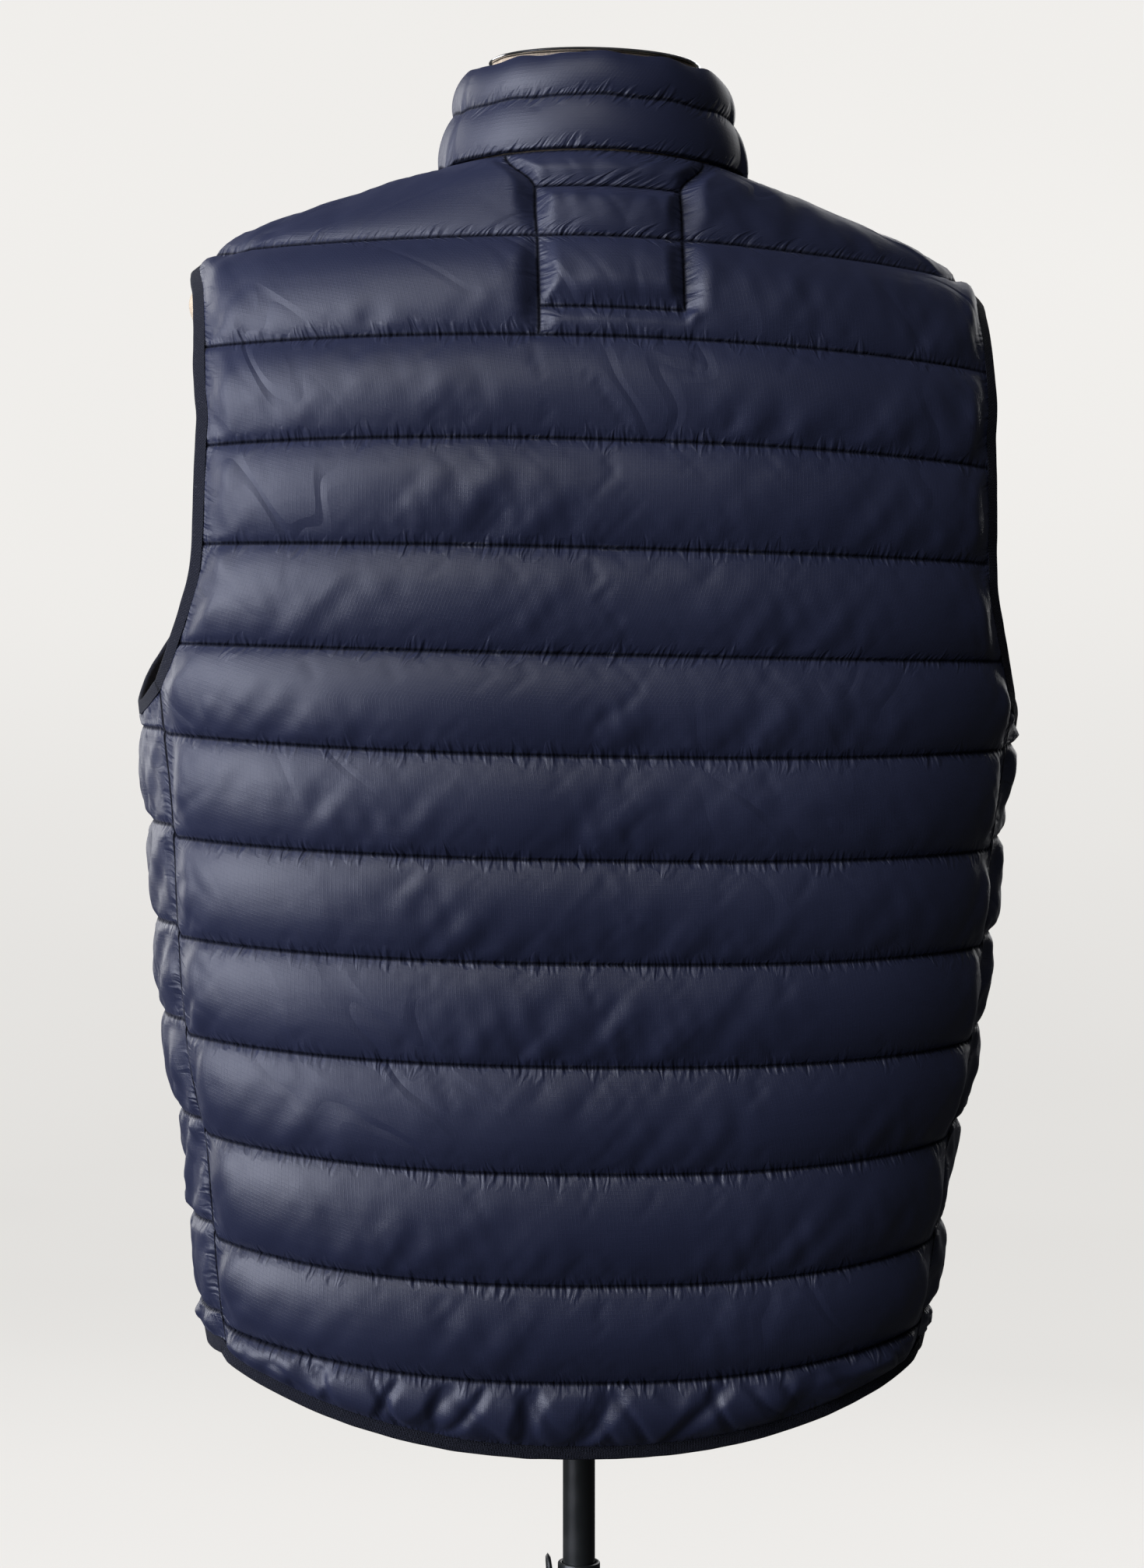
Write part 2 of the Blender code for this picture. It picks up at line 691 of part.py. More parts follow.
def collar_top(path):
    """The points along the collar's top edge, one above each point of the neck seam."""
    depth = np.where(path[:, 1] >= 0, VEST_SECTIONS[-2].back, VEST_SECTIONS[-2].front)
    angle = np.arctan2(path[:, 1] / depth, path[:, 0] / VEST_SECTIONS[-2].half_width)
    across = np.sin(angle)
    top_depth = np.where(across >= 0, COLLAR_TOP_BACK, COLLAR_TOP_FRONT)
    high = np.where(across >= 0, COLLAR_TOP_RISE_BACK, COLLAR_TOP_RISE_FRONT)
    height = COLLAR_TOP_SIDE + high * across**2
    top = np.stack([COLLAR_TOP_HALF_WIDTH * np.cos(angle), top_depth * across, height], axis=1)
    for end in (0, -1):
        top[end, 0] = path[end, 0]
    return top


def collar_middle(path):
    """The collar's mid surface as a grid of points, lifted clear of the neck seam."""
    top = collar_top(path)
    rise = (top - path) / np.linalg.norm(top - path, axis=1, keepdims=True)
    low = path + rise * COLLAR_LIFT
    return low + (top - low) * COLLAR_ROWS[:, None, None]


def grid_normals(grid):
    """Unit vectors straight out of a grid of points that winds from left to right."""
    along = np.gradient(grid, axis=1)
    up = np.gradient(grid, axis=0)
    normals = np.cross(along, up)
    return normals / np.linalg.norm(normals, axis=-1, keepdims=True)


def tape_rings(path, toward, width, thickness, closed):
    """Five-sided rings of a tape that lies along a panel's edge, just clear of it."""
    if closed:
        along = np.roll(path, -1, axis=0) - np.roll(path, 1, axis=0)
    else:
        along = np.gradient(path, axis=0)
    along /= np.linalg.norm(along, axis=1, keepdims=True)
    normals = section_normals(VEST_SECTIONS, path)
    outward = np.cross(along, normals)
    outward *= np.sign((outward * toward).sum(axis=1, keepdims=True))
    outward /= np.linalg.norm(outward, axis=1, keepdims=True)
    start, end, half = TAPE_GAP, TAPE_GAP + width, thickness / 2
    outline = ((start, -half), (end - half, -half), (end, 0.0), (end - half, half), (start, half))
    rings = [path + outward * a + normals * b for a, b in outline]
    return list(np.stack(rings, axis=1))


# ---- The zip ---------------------------------------------------------------------------------


def zip_profile(x, bottom, top):
    """Points up the fastened front at a distance from the centre: body, then collar."""
    heights = np.array([bottom] + [line.front for line in LINES[1:-1]])
    degrees = -angle_at_width(VEST_SECTIONS, abs(x), heights)
    body = section_points(VEST_SECTIONS, degrees, heights)
    neck = LINES[-1].front
    seam_deg = -angle_at_width(VEST_SECTIONS, abs(x), neck)
    seam = section_points(VEST_SECTIONS, seam_deg, np.array(neck))
    high = collar_top(seam[None])[0]
    share = (top - neck) / (high[2] - neck)
    steps = np.linspace(0.0, share, 4)[:, None]
    collar = seam + (high - seam) * steps
    points = np.concatenate([body, collar])
    points[:, 0] = x
    return points


def add_zip(parent):
    """The two tapes, the closed teeth as one strip, the slider and its pull tab."""
    bottom = LINES[0].front - TAPE_GAP - HEM_TAPE_WIDTH
    top = COLLAR_TOP_SIDE + COLLAR_TOP_RISE_FRONT - ZIP_TOP_MARGIN
    thick = np.array([0.0, 1.0, 0.0])
    for name, side in (("zip_tape_left", 1.0), ("zip_tape_right", -1.0)):
        edges = (ZIP_TAPE_INNER, ZIP_OPENING - GAP)
        middle = np.stack([zip_profile(side * x, bottom, top) for x in edges], axis=1)
        half = thick * ZIP_TAPE_THICKNESS / 2
        mesh = wall_mesh(name, middle - half, middle + half)
        place(name, mesh, "binding_tape", parent)
    chain_top = top - SLIDER_BELOW_TOP
    columns = (-ZIP_TEETH_HALF_WIDTH, ZIP_TEETH_HALF_WIDTH)
    line = zip_profile(0.0, bottom, chain_top)
    middle = np.stack([line + np.array([x, 0.0, 0.0]) for x in columns], axis=1)
    half = thick * ZIP_TEETH_THICKNESS / 2
    mesh = wall_mesh("zip_teeth", middle - half, middle + half)
    place("zip_teeth", mesh, "zip_metal", parent)
    add_slider(parent, line[-1], line[-1] - line[-2])


def add_slider(parent, chain_end, along):
    """The slider over the chain's top end and the pull tab that hangs on its bail."""
    axis = empty_at("zip_axis", chain_end, parent)
    axis.rotation_euler = (math.atan2(-along[1], along[2]), 0.0, 0.0)
    slot = ZIP_TEETH_THICKNESS + 2 * GAP
    plate = (SLIDER_DEPTH - slot) / 2
    size = (SLIDER_WIDTH, plate, SLIDER_LENGTH)
    reach = (slot + plate) / 2
    front = boxed("zip_slider", size, (0, -reach, 0), "zip_metal", axis, SLIDER_EDGE)
    behind = boxed("slider_back", size, (0, reach, 0), "zip_metal", axis, SLIDER_EDGE)
    post_size = (SLIDER_POST_WIDTH, slot + plate, SLIDER_LENGTH / 2 - 2 * SLIDER_EDGE)
    post_height = SLIDER_EDGE + post_size[2] / 2
    post = boxed("slider_post", post_size, (0, 0, post_height), "zip_metal", axis)
    face = -SLIDER_DEPTH / 2
    bail_size = (BAIL_WIDTH, BAIL_DEPTH, BAIL_LENGTH)
    bail_depth = face + BAIL_SINK - BAIL_DEPTH / 2
    bail = boxed("slider_bail", bail_size, (0, bail_depth, 0), "zip_metal", axis)
    eye_size = (3 * BAIL_WIDTH, BAIL_EYE_DEPTH, BAIL_EYE_LENGTH)
    eye_depth = face - BAIL_EYE_DEPTH / 2
    eye = boxed("slider_bail_eye", eye_size, (0, eye_depth, 0), "zip_metal", axis)
    boolean(bail, eye, "DIFFERENCE")
    for piece in (behind, post, bail):
        boolean(front, piece, "UNION")
    add_pull(axis, eye_depth)


def add_pull(slider, depth):
    """The pull tab: a flat bar with a window at its top, which swings in the bail's eye."""
    axis = empty_at("pull_axis", (0, depth, 0), slider)
    size = (PULL_WIDTH, PULL_THICKNESS, PULL_LENGTH)
    centre = (0, 0, (PULL_THICKNESS - PULL_LENGTH) / 2)
    tab = boxed("zip_pull", size, centre, "zip_metal", axis, GAP)
    size = (PULL_WINDOW_WIDTH, 3 * PULL_THICKNESS, PULL_WINDOW_LENGTH)
    window = boxed("pull_window", size, (0, 0, PULL_WINDOW_CENTRE), "zip_metal", axis)
    boolean(tab, window, "DIFFERENCE")


# ---- The form and its stand ------------------------------------------------------------------


def add_form(parent):
    """The padded, linen-covered form, and the cap on its neck."""
    rings = []
    for section in FORM_SECTIONS:
        degrees = np.linspace(0, 360, 361)
        heights = np.full(361, section.height)
        points = section_points(FORM_SECTIONS, degrees, heights)
        steps = np.linalg.norm(np.diff(points, axis=0), axis=1)
        length = np.concatenate([[0.0], np.cumsum(steps)])
        even = np.interp(np.linspace(0, 1, 33)[:-1] * length[-1], length, degrees)
        rings.append(section_points(FORM_SECTIONS, even, heights[:32]))
    place("form_torso", loft_mesh("form_torso", rings), "form_linen", parent)
    low = FORM_SECTIONS[-1].height + GAP
    radius = NECK_CAP_RADIUS
    profile = (
        (0.0, low + NECK_CAP_BAND + NECK_CAP_CROWN),
        (radius * 0.6, low + NECK_CAP_BAND + NECK_CAP_CROWN * 0.7),
        (radius - 0.0012, low + NECK_CAP_BAND),
        (radius, low + NECK_CAP_BAND - 0.0012),
        (radius, low + 0.0006),
        (radius - 0.0006, low),
        (0.0, low),
    )
    turned("neck_cap", profile, "cap_chrome", parent)


def add_post(stand):
    """The socket under the form and the post that slides in the stand's sleeve."""
    plate_top = FORM_SECTIONS[0].height - GAP - LEAN * SOCKET_PLATE_RADIUS
    plate_low = plate_top - SOCKET_PLATE_THICKNESS
    low = plate_top - SOCKET_DEPTH
    bore = SOCKET_BORE_RADIUS
    profile = (
        (bore, plate_top),
        (SOCKET_PLATE_RADIUS, plate_top),
        (SOCKET_PLATE_RADIUS, plate_low),
        (SOCKET_RADIUS + SOCKET_FILLET, plate_low),
        (SOCKET_RADIUS, plate_low - SOCKET_FILLET),
        (SOCKET_RADIUS, low),
        (bore, low),
    )
    turned("form_socket", profile, "stand_enamel", stand)
    top = plate_top - POST_END_GAP
    inside = POST_RADIUS - POST_WALL
    profile = ((inside, top), (POST_RADIUS, top), (POST_RADIUS, POST_BOTTOM), (inside, POST_BOTTOM))
    turned("stand_post", profile, "stand_enamel", stand)


def add_stand(stand):
    """The sleeve, its wing screw, the boss and the round foot."""
    sleeve_low = FOOT_THICKNESS + GAP
    profile = (
        (SLEEVE_BORE_RADIUS, SLEEVE_TOP - TUBE_CHAMFER),
        (SLEEVE_BORE_RADIUS + TUBE_CHAMFER, SLEEVE_TOP),
        (SLEEVE_RADIUS - TUBE_CHAMFER, SLEEVE_TOP),
        (SLEEVE_RADIUS, SLEEVE_TOP - TUBE_CHAMFER),
        (SLEEVE_RADIUS, sleeve_low),
        (SLEEVE_BORE_RADIUS, sleeve_low),
    )
    sleeve = turned("stand_sleeve", profile, "stand_enamel", stand)
    axis = empty_at("screw_axis", (0, 0, SCREW_HEIGHT), stand)
    hole = rod("sleeve_hole", SCREW_SHANK_RADIUS + GAP, GAP, SCREW_HOLE_END, axis)
    boolean(sleeve, hole, "DIFFERENCE")
    boss_top = FOOT_THICKNESS + GAP + FOOT_BOSS_HEIGHT
    profile = (
        (SLEEVE_RADIUS + GAP, boss_top),
        (SLEEVE_RADIUS + BOSS_TOP_WALL, boss_top),
        (FOOT_BOSS_RADIUS, FOOT_THICKNESS + BOSS_SIDE_HEIGHT),
        (FOOT_BOSS_RADIUS, sleeve_low),
        (SLEEVE_RADIUS + GAP, sleeve_low),
    )
    turned("foot_boss", profile, "stand_enamel", stand)
    profile = (
        (0.0, FOOT_THICKNESS),
        (FOOT_RADIUS - FOOT_TOP_CHAMFER, FOOT_THICKNESS),
        (FOOT_RADIUS, FOOT_THICKNESS - FOOT_TOP_CHAMFER),
        (FOOT_RADIUS, FOOT_LOW_CHAMFER),
        (FOOT_RADIUS - FOOT_LOW_CHAMFER, 0.0),
        (0.0, 0.0),
    )
    foot = turned("stand_foot", profile, "stand_enamel", stand)
    foot.modifiers["Turn"].steps = foot.modifiers["Turn"].render_steps = 2 * ROUND
    add_screw(axis)


def rod(name, radius, start, end, axis):
    """A round bar along the +X of its axis."""
    shape = bmesh.new()
    middle = Matrix.Translation(((start + end) / 2, 0.0, 0.0))
    turn = middle @ Matrix.Rotation(math.pi / 2, 4, "Y")
    bmesh.ops.create_cone(shape, cap_ends=True, segments=16, radius1=radius, radius2=radius,
                          depth=end - start, matrix=turn)
    mesh = bpy.data.meshes.new(name)
    shape.to_mesh(mesh)
    shape.free()
    return place(name, mesh, "stand_enamel", axis)


def add_screw(axis):
    """The wing screw that clamps the post: shank, hub and two tapered wings."""
    inner = SLEEVE_RADIUS + 2 * GAP
    screw = rod("wing_screw", SCREW_HUB_RADIUS, inner, inner + SCREW_HUB_LENGTH, axis)
    shank_end = inner + SCREW_HUB_LENGTH / 2
    shank = rod("screw_shank", SCREW_SHANK_RADIUS, POST_RADIUS + GAP, shank_end, axis)
    rings = []
    for share in np.linspace(-1.0, 1.0, 7):
        taper = 1 - abs(share) ** 1.5
        half_y = SCREW_WING_TIP_HALF + SCREW_WING_ROOT_EXTRA * taper
        half_x = SCREW_WING_THICKNESS / 2 * (0.7 + 0.3 * taper)
        middle = inner + SCREW_WING_OFFSET + SCREW_WING_SWEEP * abs(share)
        height = share * SCREW_WING_SPAN / 2
        corners = ((-1, -0.6), (-0.6, -1), (0.6, -1), (1, -0.6), (1, 0.6), (0.6, 1), (-0.6, 1),
                   (-1, 0.6))
        rings.append(np.array([(middle + a * half_x, b * half_y, height) for a, b in corners]))
    wings = place("screw_wings", loft_mesh("screw_wings", rings), "stand_enamel", axis)
    boolean(screw, shank, "UNION")
    boolean(screw, wings, "UNION")


# ---- Start -----------------------------------------------------------------------------------


def main():
    """Clear the scene and build the vest, the form and the stand."""
    for obj in list(bpy.data.objects):
        bpy.data.objects.remove(obj)
    lean = empty_at(LEAN_NAME, (0.0, 0.0, LEAN_HEIGHT))
    lean.rotation_euler = (0.0, -math.atan(LEAN), 0.0)
    vest = Vest()
    vest.add_panels(lean)
    vest.add_bindings(lean)
    vest.add_collar(lean)
    add_zip(lean)
    add_form(lean)
    add_post(None)
    add_stand(None)


main()
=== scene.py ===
"""Finished look of a quilted vest that is zipped up on a limbless dress form with a round foot.

The frame is +Z up, in metres, with the origin on the floor under the pole. The vest's front
faces -Y and the wearer's left side is at +X. The filled cloth is blown out between its rows of
stitching by a short cloth simulation; bindings, zip, form and stand are modelled directly.
"""

from __future__ import annotations

import json
import logging
import math
from dataclasses import dataclass, field
from enum import Enum
from typing import NamedTuple, Sequence

import bmesh
import bpy
import numpy as np
from mathutils import Matrix, Vector, noise

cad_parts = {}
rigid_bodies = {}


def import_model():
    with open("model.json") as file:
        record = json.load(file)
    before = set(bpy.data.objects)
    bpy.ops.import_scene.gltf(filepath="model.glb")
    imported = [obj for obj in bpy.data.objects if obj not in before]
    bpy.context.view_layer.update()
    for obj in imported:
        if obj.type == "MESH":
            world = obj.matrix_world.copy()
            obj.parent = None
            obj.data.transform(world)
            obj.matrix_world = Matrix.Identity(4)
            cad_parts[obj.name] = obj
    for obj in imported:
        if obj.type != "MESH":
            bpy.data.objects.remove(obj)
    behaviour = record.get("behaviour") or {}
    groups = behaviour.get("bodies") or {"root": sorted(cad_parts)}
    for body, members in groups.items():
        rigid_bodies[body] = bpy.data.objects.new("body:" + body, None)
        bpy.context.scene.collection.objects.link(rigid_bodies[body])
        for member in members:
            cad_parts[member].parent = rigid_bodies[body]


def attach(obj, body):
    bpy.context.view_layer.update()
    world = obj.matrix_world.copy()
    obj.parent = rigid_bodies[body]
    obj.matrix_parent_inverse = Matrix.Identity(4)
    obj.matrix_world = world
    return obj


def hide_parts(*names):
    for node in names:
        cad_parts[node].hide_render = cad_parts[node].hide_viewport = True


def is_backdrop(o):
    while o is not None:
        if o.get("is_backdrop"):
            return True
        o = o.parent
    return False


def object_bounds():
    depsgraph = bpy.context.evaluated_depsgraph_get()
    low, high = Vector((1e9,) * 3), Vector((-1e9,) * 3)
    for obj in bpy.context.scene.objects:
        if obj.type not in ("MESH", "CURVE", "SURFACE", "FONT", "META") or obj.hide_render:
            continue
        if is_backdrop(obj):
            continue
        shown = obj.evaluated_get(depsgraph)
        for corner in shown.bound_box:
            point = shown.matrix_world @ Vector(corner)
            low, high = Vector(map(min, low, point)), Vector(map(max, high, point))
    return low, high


Array = np.ndarray
Socket = bpy.types.NodeSocket
Sockets = dict[str, Socket]
Mesh = bpy.types.Mesh
Thing = bpy.types.Object
Shape = bmesh.types.BMesh
Color = tuple[float, float, float]
log = logging.getLogger("vest")

UP = np.array([0.0, 0.0, 1.0])


class CadBody(Enum):
    """The bodies that pieces ride on."""

    STAND = "stand"
    POST = "post"
    FORM = "form"
    PULL = "pull"
    SCREW = "screw"


class Slot(Enum):
    """The record's material slots."""

    SHELL = "shell_cloth"
    TAPE = "binding_tape"
    TEETH = "zip_teeth"
    METAL = "zip_metal"
    LINEN = "form_linen"
    CHROME = "cap_chrome"
    ENAMEL = "stand_enamel"


# ---- Curves and sections -------------------------------------------------------------------


class Section(NamedTuple):
    """One rounded horizontal section: its height, half width, depths and roundness."""

    height: float
    half_width: float
    back: float
    front: float
    roundness: float


class Line(NamedTuple):
    """A line across the vest: its heights at the back, sides and zip, and if it is stitched."""

    name: str
    stitched: bool
    back: float
    back_side: float
    front_side: float
    front: float


class ArmholeEdge(NamedTuple):
    """The angles of the back's and the front's edges at one height of the armhole."""

    height: float
    back_deg: float
    front_deg: float


VEST_SECTIONS = tuple(Section(*row) for row in (
    (0.740, 0.192, 0.082, 0.094, 2.30), (0.780, 0.203, 0.095, 0.101, 2.35),
    (0.820, 0.212, 0.103, 0.106, 2.40), (0.870, 0.218, 0.109, 0.110, 2.45),
    (0.920, 0.223, 0.112, 0.113, 2.50), (0.980, 0.236, 0.114, 0.115, 2.50),
    (1.050, 0.243, 0.117, 0.117, 2.50), (1.110, 0.247, 0.120, 0.119, 2.50),
    (1.165, 0.254, 0.122, 0.121, 2.50), (1.220, 0.260, 0.122, 0.120, 2.45),
    (1.290, 0.262, 0.119, 0.114, 2.40), (1.340, 0.262, 0.114, 0.104, 2.30),
    (1.380, 0.253, 0.107, 0.093, 2.05), (1.410, 0.237, 0.100, 0.084, 1.80),
    (1.432, 0.214, 0.092, 0.076, 1.65), (1.457, 0.143, 0.082, 0.068, 1.65),
    (1.484, 0.088, 0.071, 0.060, 2.00), (1.500, 0.083, 0.069, 0.057, 2.00),
))

FORM_SECTIONS = tuple(Section(*row) for row in (
    (0.8150, 0.146, 0.086, 0.088, 2.20), (0.8200, 0.155, 0.094, 0.096, 2.20),
    (0.8400, 0.163, 0.100, 0.101, 2.20), (0.9000, 0.167, 0.103, 0.104, 2.25),
    (1.0000, 0.158, 0.096, 0.100, 2.25), (1.1000, 0.164, 0.099, 0.105, 2.30),
    (1.2000, 0.177, 0.107, 0.109, 2.30), (1.2800, 0.188, 0.109, 0.104, 2.30),
    (1.3300, 0.202, 0.105, 0.096, 2.20), (1.3600, 0.215, 0.101, 0.089, 2.10),
    (1.3850, 0.226, 0.096, 0.083, 1.95), (1.4020, 0.232, 0.092, 0.078, 1.80),
    (1.4160, 0.226, 0.088, 0.074, 1.68), (1.4275, 0.209, 0.084, 0.070, 1.60),
    (1.4375, 0.187, 0.081, 0.067, 1.60), (1.4545, 0.139, 0.073, 0.060, 1.70),
    (1.4760, 0.090, 0.063, 0.053, 1.90), (1.4900, 0.0700, 0.058, 0.050, 2.00),
    (1.5100, 0.0620, 0.056, 0.050, 2.00), (1.5462, 0.0600, 0.056, 0.052, 2.00),
))

LINES = tuple(Line(*row) for row in (
    ("hem", True, 0.7610, 0.8120, 0.8120, 0.8040),
    ("channel_1", True, 0.7990, 0.8240, 0.8280, 0.8300),
    ("channel_2", True, 0.8550, 0.8740, 0.8800, 0.8800),
    ("channel_3", True, 0.9180, 0.9330, 0.9400, 0.9360),
    ("channel_4", True, 0.9780, 0.9890, 0.9960, 0.9920),
    ("channel_5", True, 1.0355, 1.0440, 1.0500, 1.0460),
    ("channel_6", True, 1.0930, 1.1000, 1.1060, 1.1020),
    ("channel_7", True, 1.1505, 1.1580, 1.1600, 1.1570),
    ("armhole", False, 1.1790, 1.1830, 1.1830, 1.1840),
    ("channel_8", True, 1.2065, 1.2080, 1.2100, 1.2120),
    ("channel_9", True, 1.2650, 1.2620, 1.2650, 1.2680),
    ("channel_10", True, 1.3245, 1.3140, 1.3170, 1.3220),
    ("channel_11", True, 1.3820, 1.3700, 1.3730, 1.3760),
    ("channel_12", True, 1.4390, 1.4300, 1.4300, 1.4200),
    ("neck", True, 1.4890, 1.4830, 1.4830, 1.4500),
))

SIDE_SEAM_DEG = 20.0
SHOULDER_SEAM_DEG = -16.0
ARMHOLE_EDGES = tuple(ArmholeEdge(*row) for row in (
    (1.1830, 20.0, -14.0), (1.1980, 25.0, -23.0), (1.2250, 30.6, -33.0),
    (1.2500, 33.8, -38.0), (1.2770, 34.5, -41.0), (1.3300, 34.5, -42.0),
    (1.3750, 29.0, -38.0), (1.4050, 20.0, -31.0), (1.4200, 8.0, -24.0),
    (1.4300, SHOULDER_SEAM_DEG, SHOULDER_SEAM_DEG),
))


def column(rows: Sequence[NamedTuple], name: str) -> Array:
    """One named column of a table, as an array."""
    return np.array([getattr(row, name) for row in rows], float)


def monotone(xs: Array, ys: Array, at: Array | float) -> Array:
    """A smooth curve through points that never overshoots them.

    Args:
        xs: Places of the points, rising.
        ys: Values at those places.
        at: Where the curve is read.

    Returns:
        The curve's values.
    """
    at = np.asarray(at, float)
    step = np.diff(xs)
    rise = np.diff(ys) / step
    slope = np.zeros_like(ys)
    slope[0], slope[-1] = rise[0], rise[-1]
    for i in range(1, len(xs) - 1):
        if rise[i - 1] * rise[i] > 0:
            before, after = 2 * step[i] + step[i - 1], step[i] + 2 * step[i - 1]
            slope[i] = (before + after) / (before / rise[i - 1] + after / rise[i])
    k = np.clip(np.searchsorted(xs, at) - 1, 0, len(xs) - 2)
    t = (at - xs[k]) / step[k]
    start = (1 + 2 * t) * (1 - t) ** 2 * ys[k] + t * (1 - t) ** 2 * step[k] * slope[k]
    end = t * t * (3 - 2 * t) * ys[k + 1] + t * t * (t - 1) * step[k] * slope[k + 1]
    return start + end


def smoothstep(low: float, high: float, value: Array | float) -> Array:
    """0 below the low value, 1 above the high one and an S-curve between them."""
    part = np.clip((np.asarray(value, float) - low) / (high - low), 0.0, 1.0)
    return part * part * (3 - 2 * part)


def ripple(points: Array, size: float, seed: float) -> Array:
    """Smooth noise at points.

    Args:
        points: Points, with any leading shape.
        size: How far apart the noise's humps are.
        seed: A number that moves the noise, for another pattern of the same kind.

    Returns:
        Values from about -1 to 1, in the points' leading shape.
    """
    shift = Vector((seed * 7.31, seed * 3.17, seed * 5.53))
    flat = (points.reshape(-1, 3) / size).tolist()
    values = [noise.noise(Vector(point) + shift) for point in flat]
    return np.array(values).reshape(points.shape[:-1])


class Fold(NamedTuple):
    """A kind of fold in thin cloth: its slant from upright, its size and how long it runs."""

    slant_deg: float
    size: float
    stretch: float
    seed: float
    share: float
    sharp: bool
    crest = 1.2
    narrowing = 4.5
    swell = 1.7

    def height(self, run: Array, rise: Array) -> Array:
        """The folds' height, from about -1 to 1, at lengths along the cloth and up it.

        Args:
            run: Lengths along the cloth.
            rise: Heights up it.

        Returns:
            The folds' height.
        """
        slant = np.radians(self.slant_deg)
        across = run * np.cos(slant) - rise * np.sin(slant)
        along = run * np.sin(slant) + rise * np.cos(slant)
        wave = ripple(np.stack([across, along / self.stretch, 0 * run], -1), self.size, self.seed)
        if self.sharp:
            return self.share * (self.crest * np.minimum(1.0, self.narrowing * np.abs(wave)) - 1)
        return self.share * np.clip(self.swell * wave, -1.0, 1.0)


def unit(vectors: Array) -> Array:
    """The vectors scaled to a length of 1."""
    return vectors / np.linalg.norm(vectors, axis=-1, keepdims=True)


def run_length(points: Array, axis: int) -> Array:
    """The length along a grid's rows or columns up to each of its points.

    Args:
        points: A grid or a path of points.
        axis: The axis that the length runs along.

    Returns:
        The length up to each point.
    """
    steps = np.linalg.norm(np.diff(points, axis=axis), axis=-1)
    zero = np.zeros_like(np.take(steps, [0], axis=axis))
    return np.concatenate([zero, np.cumsum(steps, axis=axis)], axis=axis)


def from_sides(grid: Array) -> Array:
    """How far each point of a grid is from the nearer of its two side edges."""
    start = run_length(grid, 1)
    return np.minimum(start, start[:, -1:] - start)


def spread(points: Array, length: Array, at: Array) -> Array:
    """Points along a path at given lengths, from its own points and the length up to each."""
    return np.stack([np.interp(at, length, points[:, i]) for i in range(3)], axis=1)


def refined(values: Array, axis: int, creases: Sequence[int] = ()) -> Array:
    """A grid with a new point between each two, on smooth curves that crease where told.

    Args:
        values: The grid.
        axis: The axis that gets twice the points.
        creases: Indices along the axis at which the curves may turn sharply.

    Returns:
        The finer grid.
    """
    grid = np.moveaxis(np.asarray(values, float), axis, 0)
    marks = sorted({0, len(grid) - 1, *creases})
    parts = []
    for low, high in zip(marks, marks[1:]):
        part = grid[low : high + 1]
        slope = np.gradient(part, axis=0) if len(part) > 2 else np.diff(part, axis=0)[[0, 0]]
        if len(part) > 2:
            slope[0] = 2 * (part[1] - part[0]) - slope[1]
            slope[-1] = 2 * (part[-1] - part[-2]) - slope[-2]
        middle = (part[:-1] + part[1:]) / 2 + (slope[:-1] - slope[1:]) / 8
        fine = np.empty((2 * len(part) - 1, *part.shape[1:]))
        fine[0::2], fine[1::2] = part, middle
        parts.append(fine if not parts else fine[1:])
    return np.moveaxis(np.concatenate(parts), 0, axis)


@dataclass(frozen=True)
class SectionSurface:
    """A closed surface through rounded sections, one above the other."""

    sections: tuple[Section, ...]

    def sizes(self, heights: Array) -> list[Array]:
        """Half width, back depth, front depth and roundness at each height."""
        at = column(self.sections, "height")
        return [monotone(at, column(self.sections, name), heights) for name in Section._fields[1:]]

    def points(self, degrees: Array, heights: Array) -> Array:
        """Points on the surface.

        Args:
            degrees: Angles, 0 at +X, 90 at the back and -90 at the front.
            heights: Heights, as many as the angles.

        Returns:
            The points, with X, Y and Z last.
        """
        half_width, back, front, roundness = self.sizes(heights)
        angle = np.radians(degrees)
        along, across = np.cos(angle), np.sin(angle)
        depth = np.where(across >= 0, back, front)
        x = half_width * np.sign(along) * np.abs(along) ** (2 / roundness)
        y = depth * np.sign(across) * np.abs(across) ** (2 / roundness)
        return np.stack([x, y, heights + 0 * x], axis=-1)

    def outside(self, points: Array) -> Array:
        """Above 0 outside the surface, below 0 inside.

        Args:
            points: Any points.

        Returns:
            A value for each point.
        """
        half_width, back, front, roundness = self.sizes(points[..., 2])
        depth = np.where(points[..., 1] >= 0, back, front)
        across = np.abs(points[..., 0] / half_width) ** roundness
        return across + np.abs(points[..., 1] / depth) ** roundness - 1

    def normals(self, points: Array) -> Array:
        """Unit vectors that point straight out of the surface.

        Args:
            points: Points on the surface or near it.

        Returns:
            A unit vector for each.
        """
        step = 0.0005
        gradient = np.empty_like(points)
        for axis in range(3):
            shift = np.zeros(3)
            shift[axis] = step
            above = self.outside(points + shift)
            gradient[..., axis] = above - self.outside(points - shift)
        return unit(gradient)

    def angle_at_width(self, x: float, heights: Array) -> Array:
        """The angle, 0 to 90 degrees, at which a section is that far from the centre plane."""
        half_width, _, _, roundness = self.sizes(heights)
        return np.degrees(np.arccos((x / half_width) ** (roundness / 2)))


@dataclass(frozen=True)
class Lean:
    """The slight lean of the form on its pole, as a turn about a level axis along Y."""

    slope: float = 0.022
    height: float = 1.13

    def matrix(self) -> Matrix:
        """The matrix that leans what is modelled upright."""
        up = Matrix.Translation((0.0, 0.0, self.height))
        return up @ Matrix.Rotation(-math.atan(self.slope), 4, "Y") @ up.inverted()


# ---- Node graphs and shared surface effects --------------------------------------------------


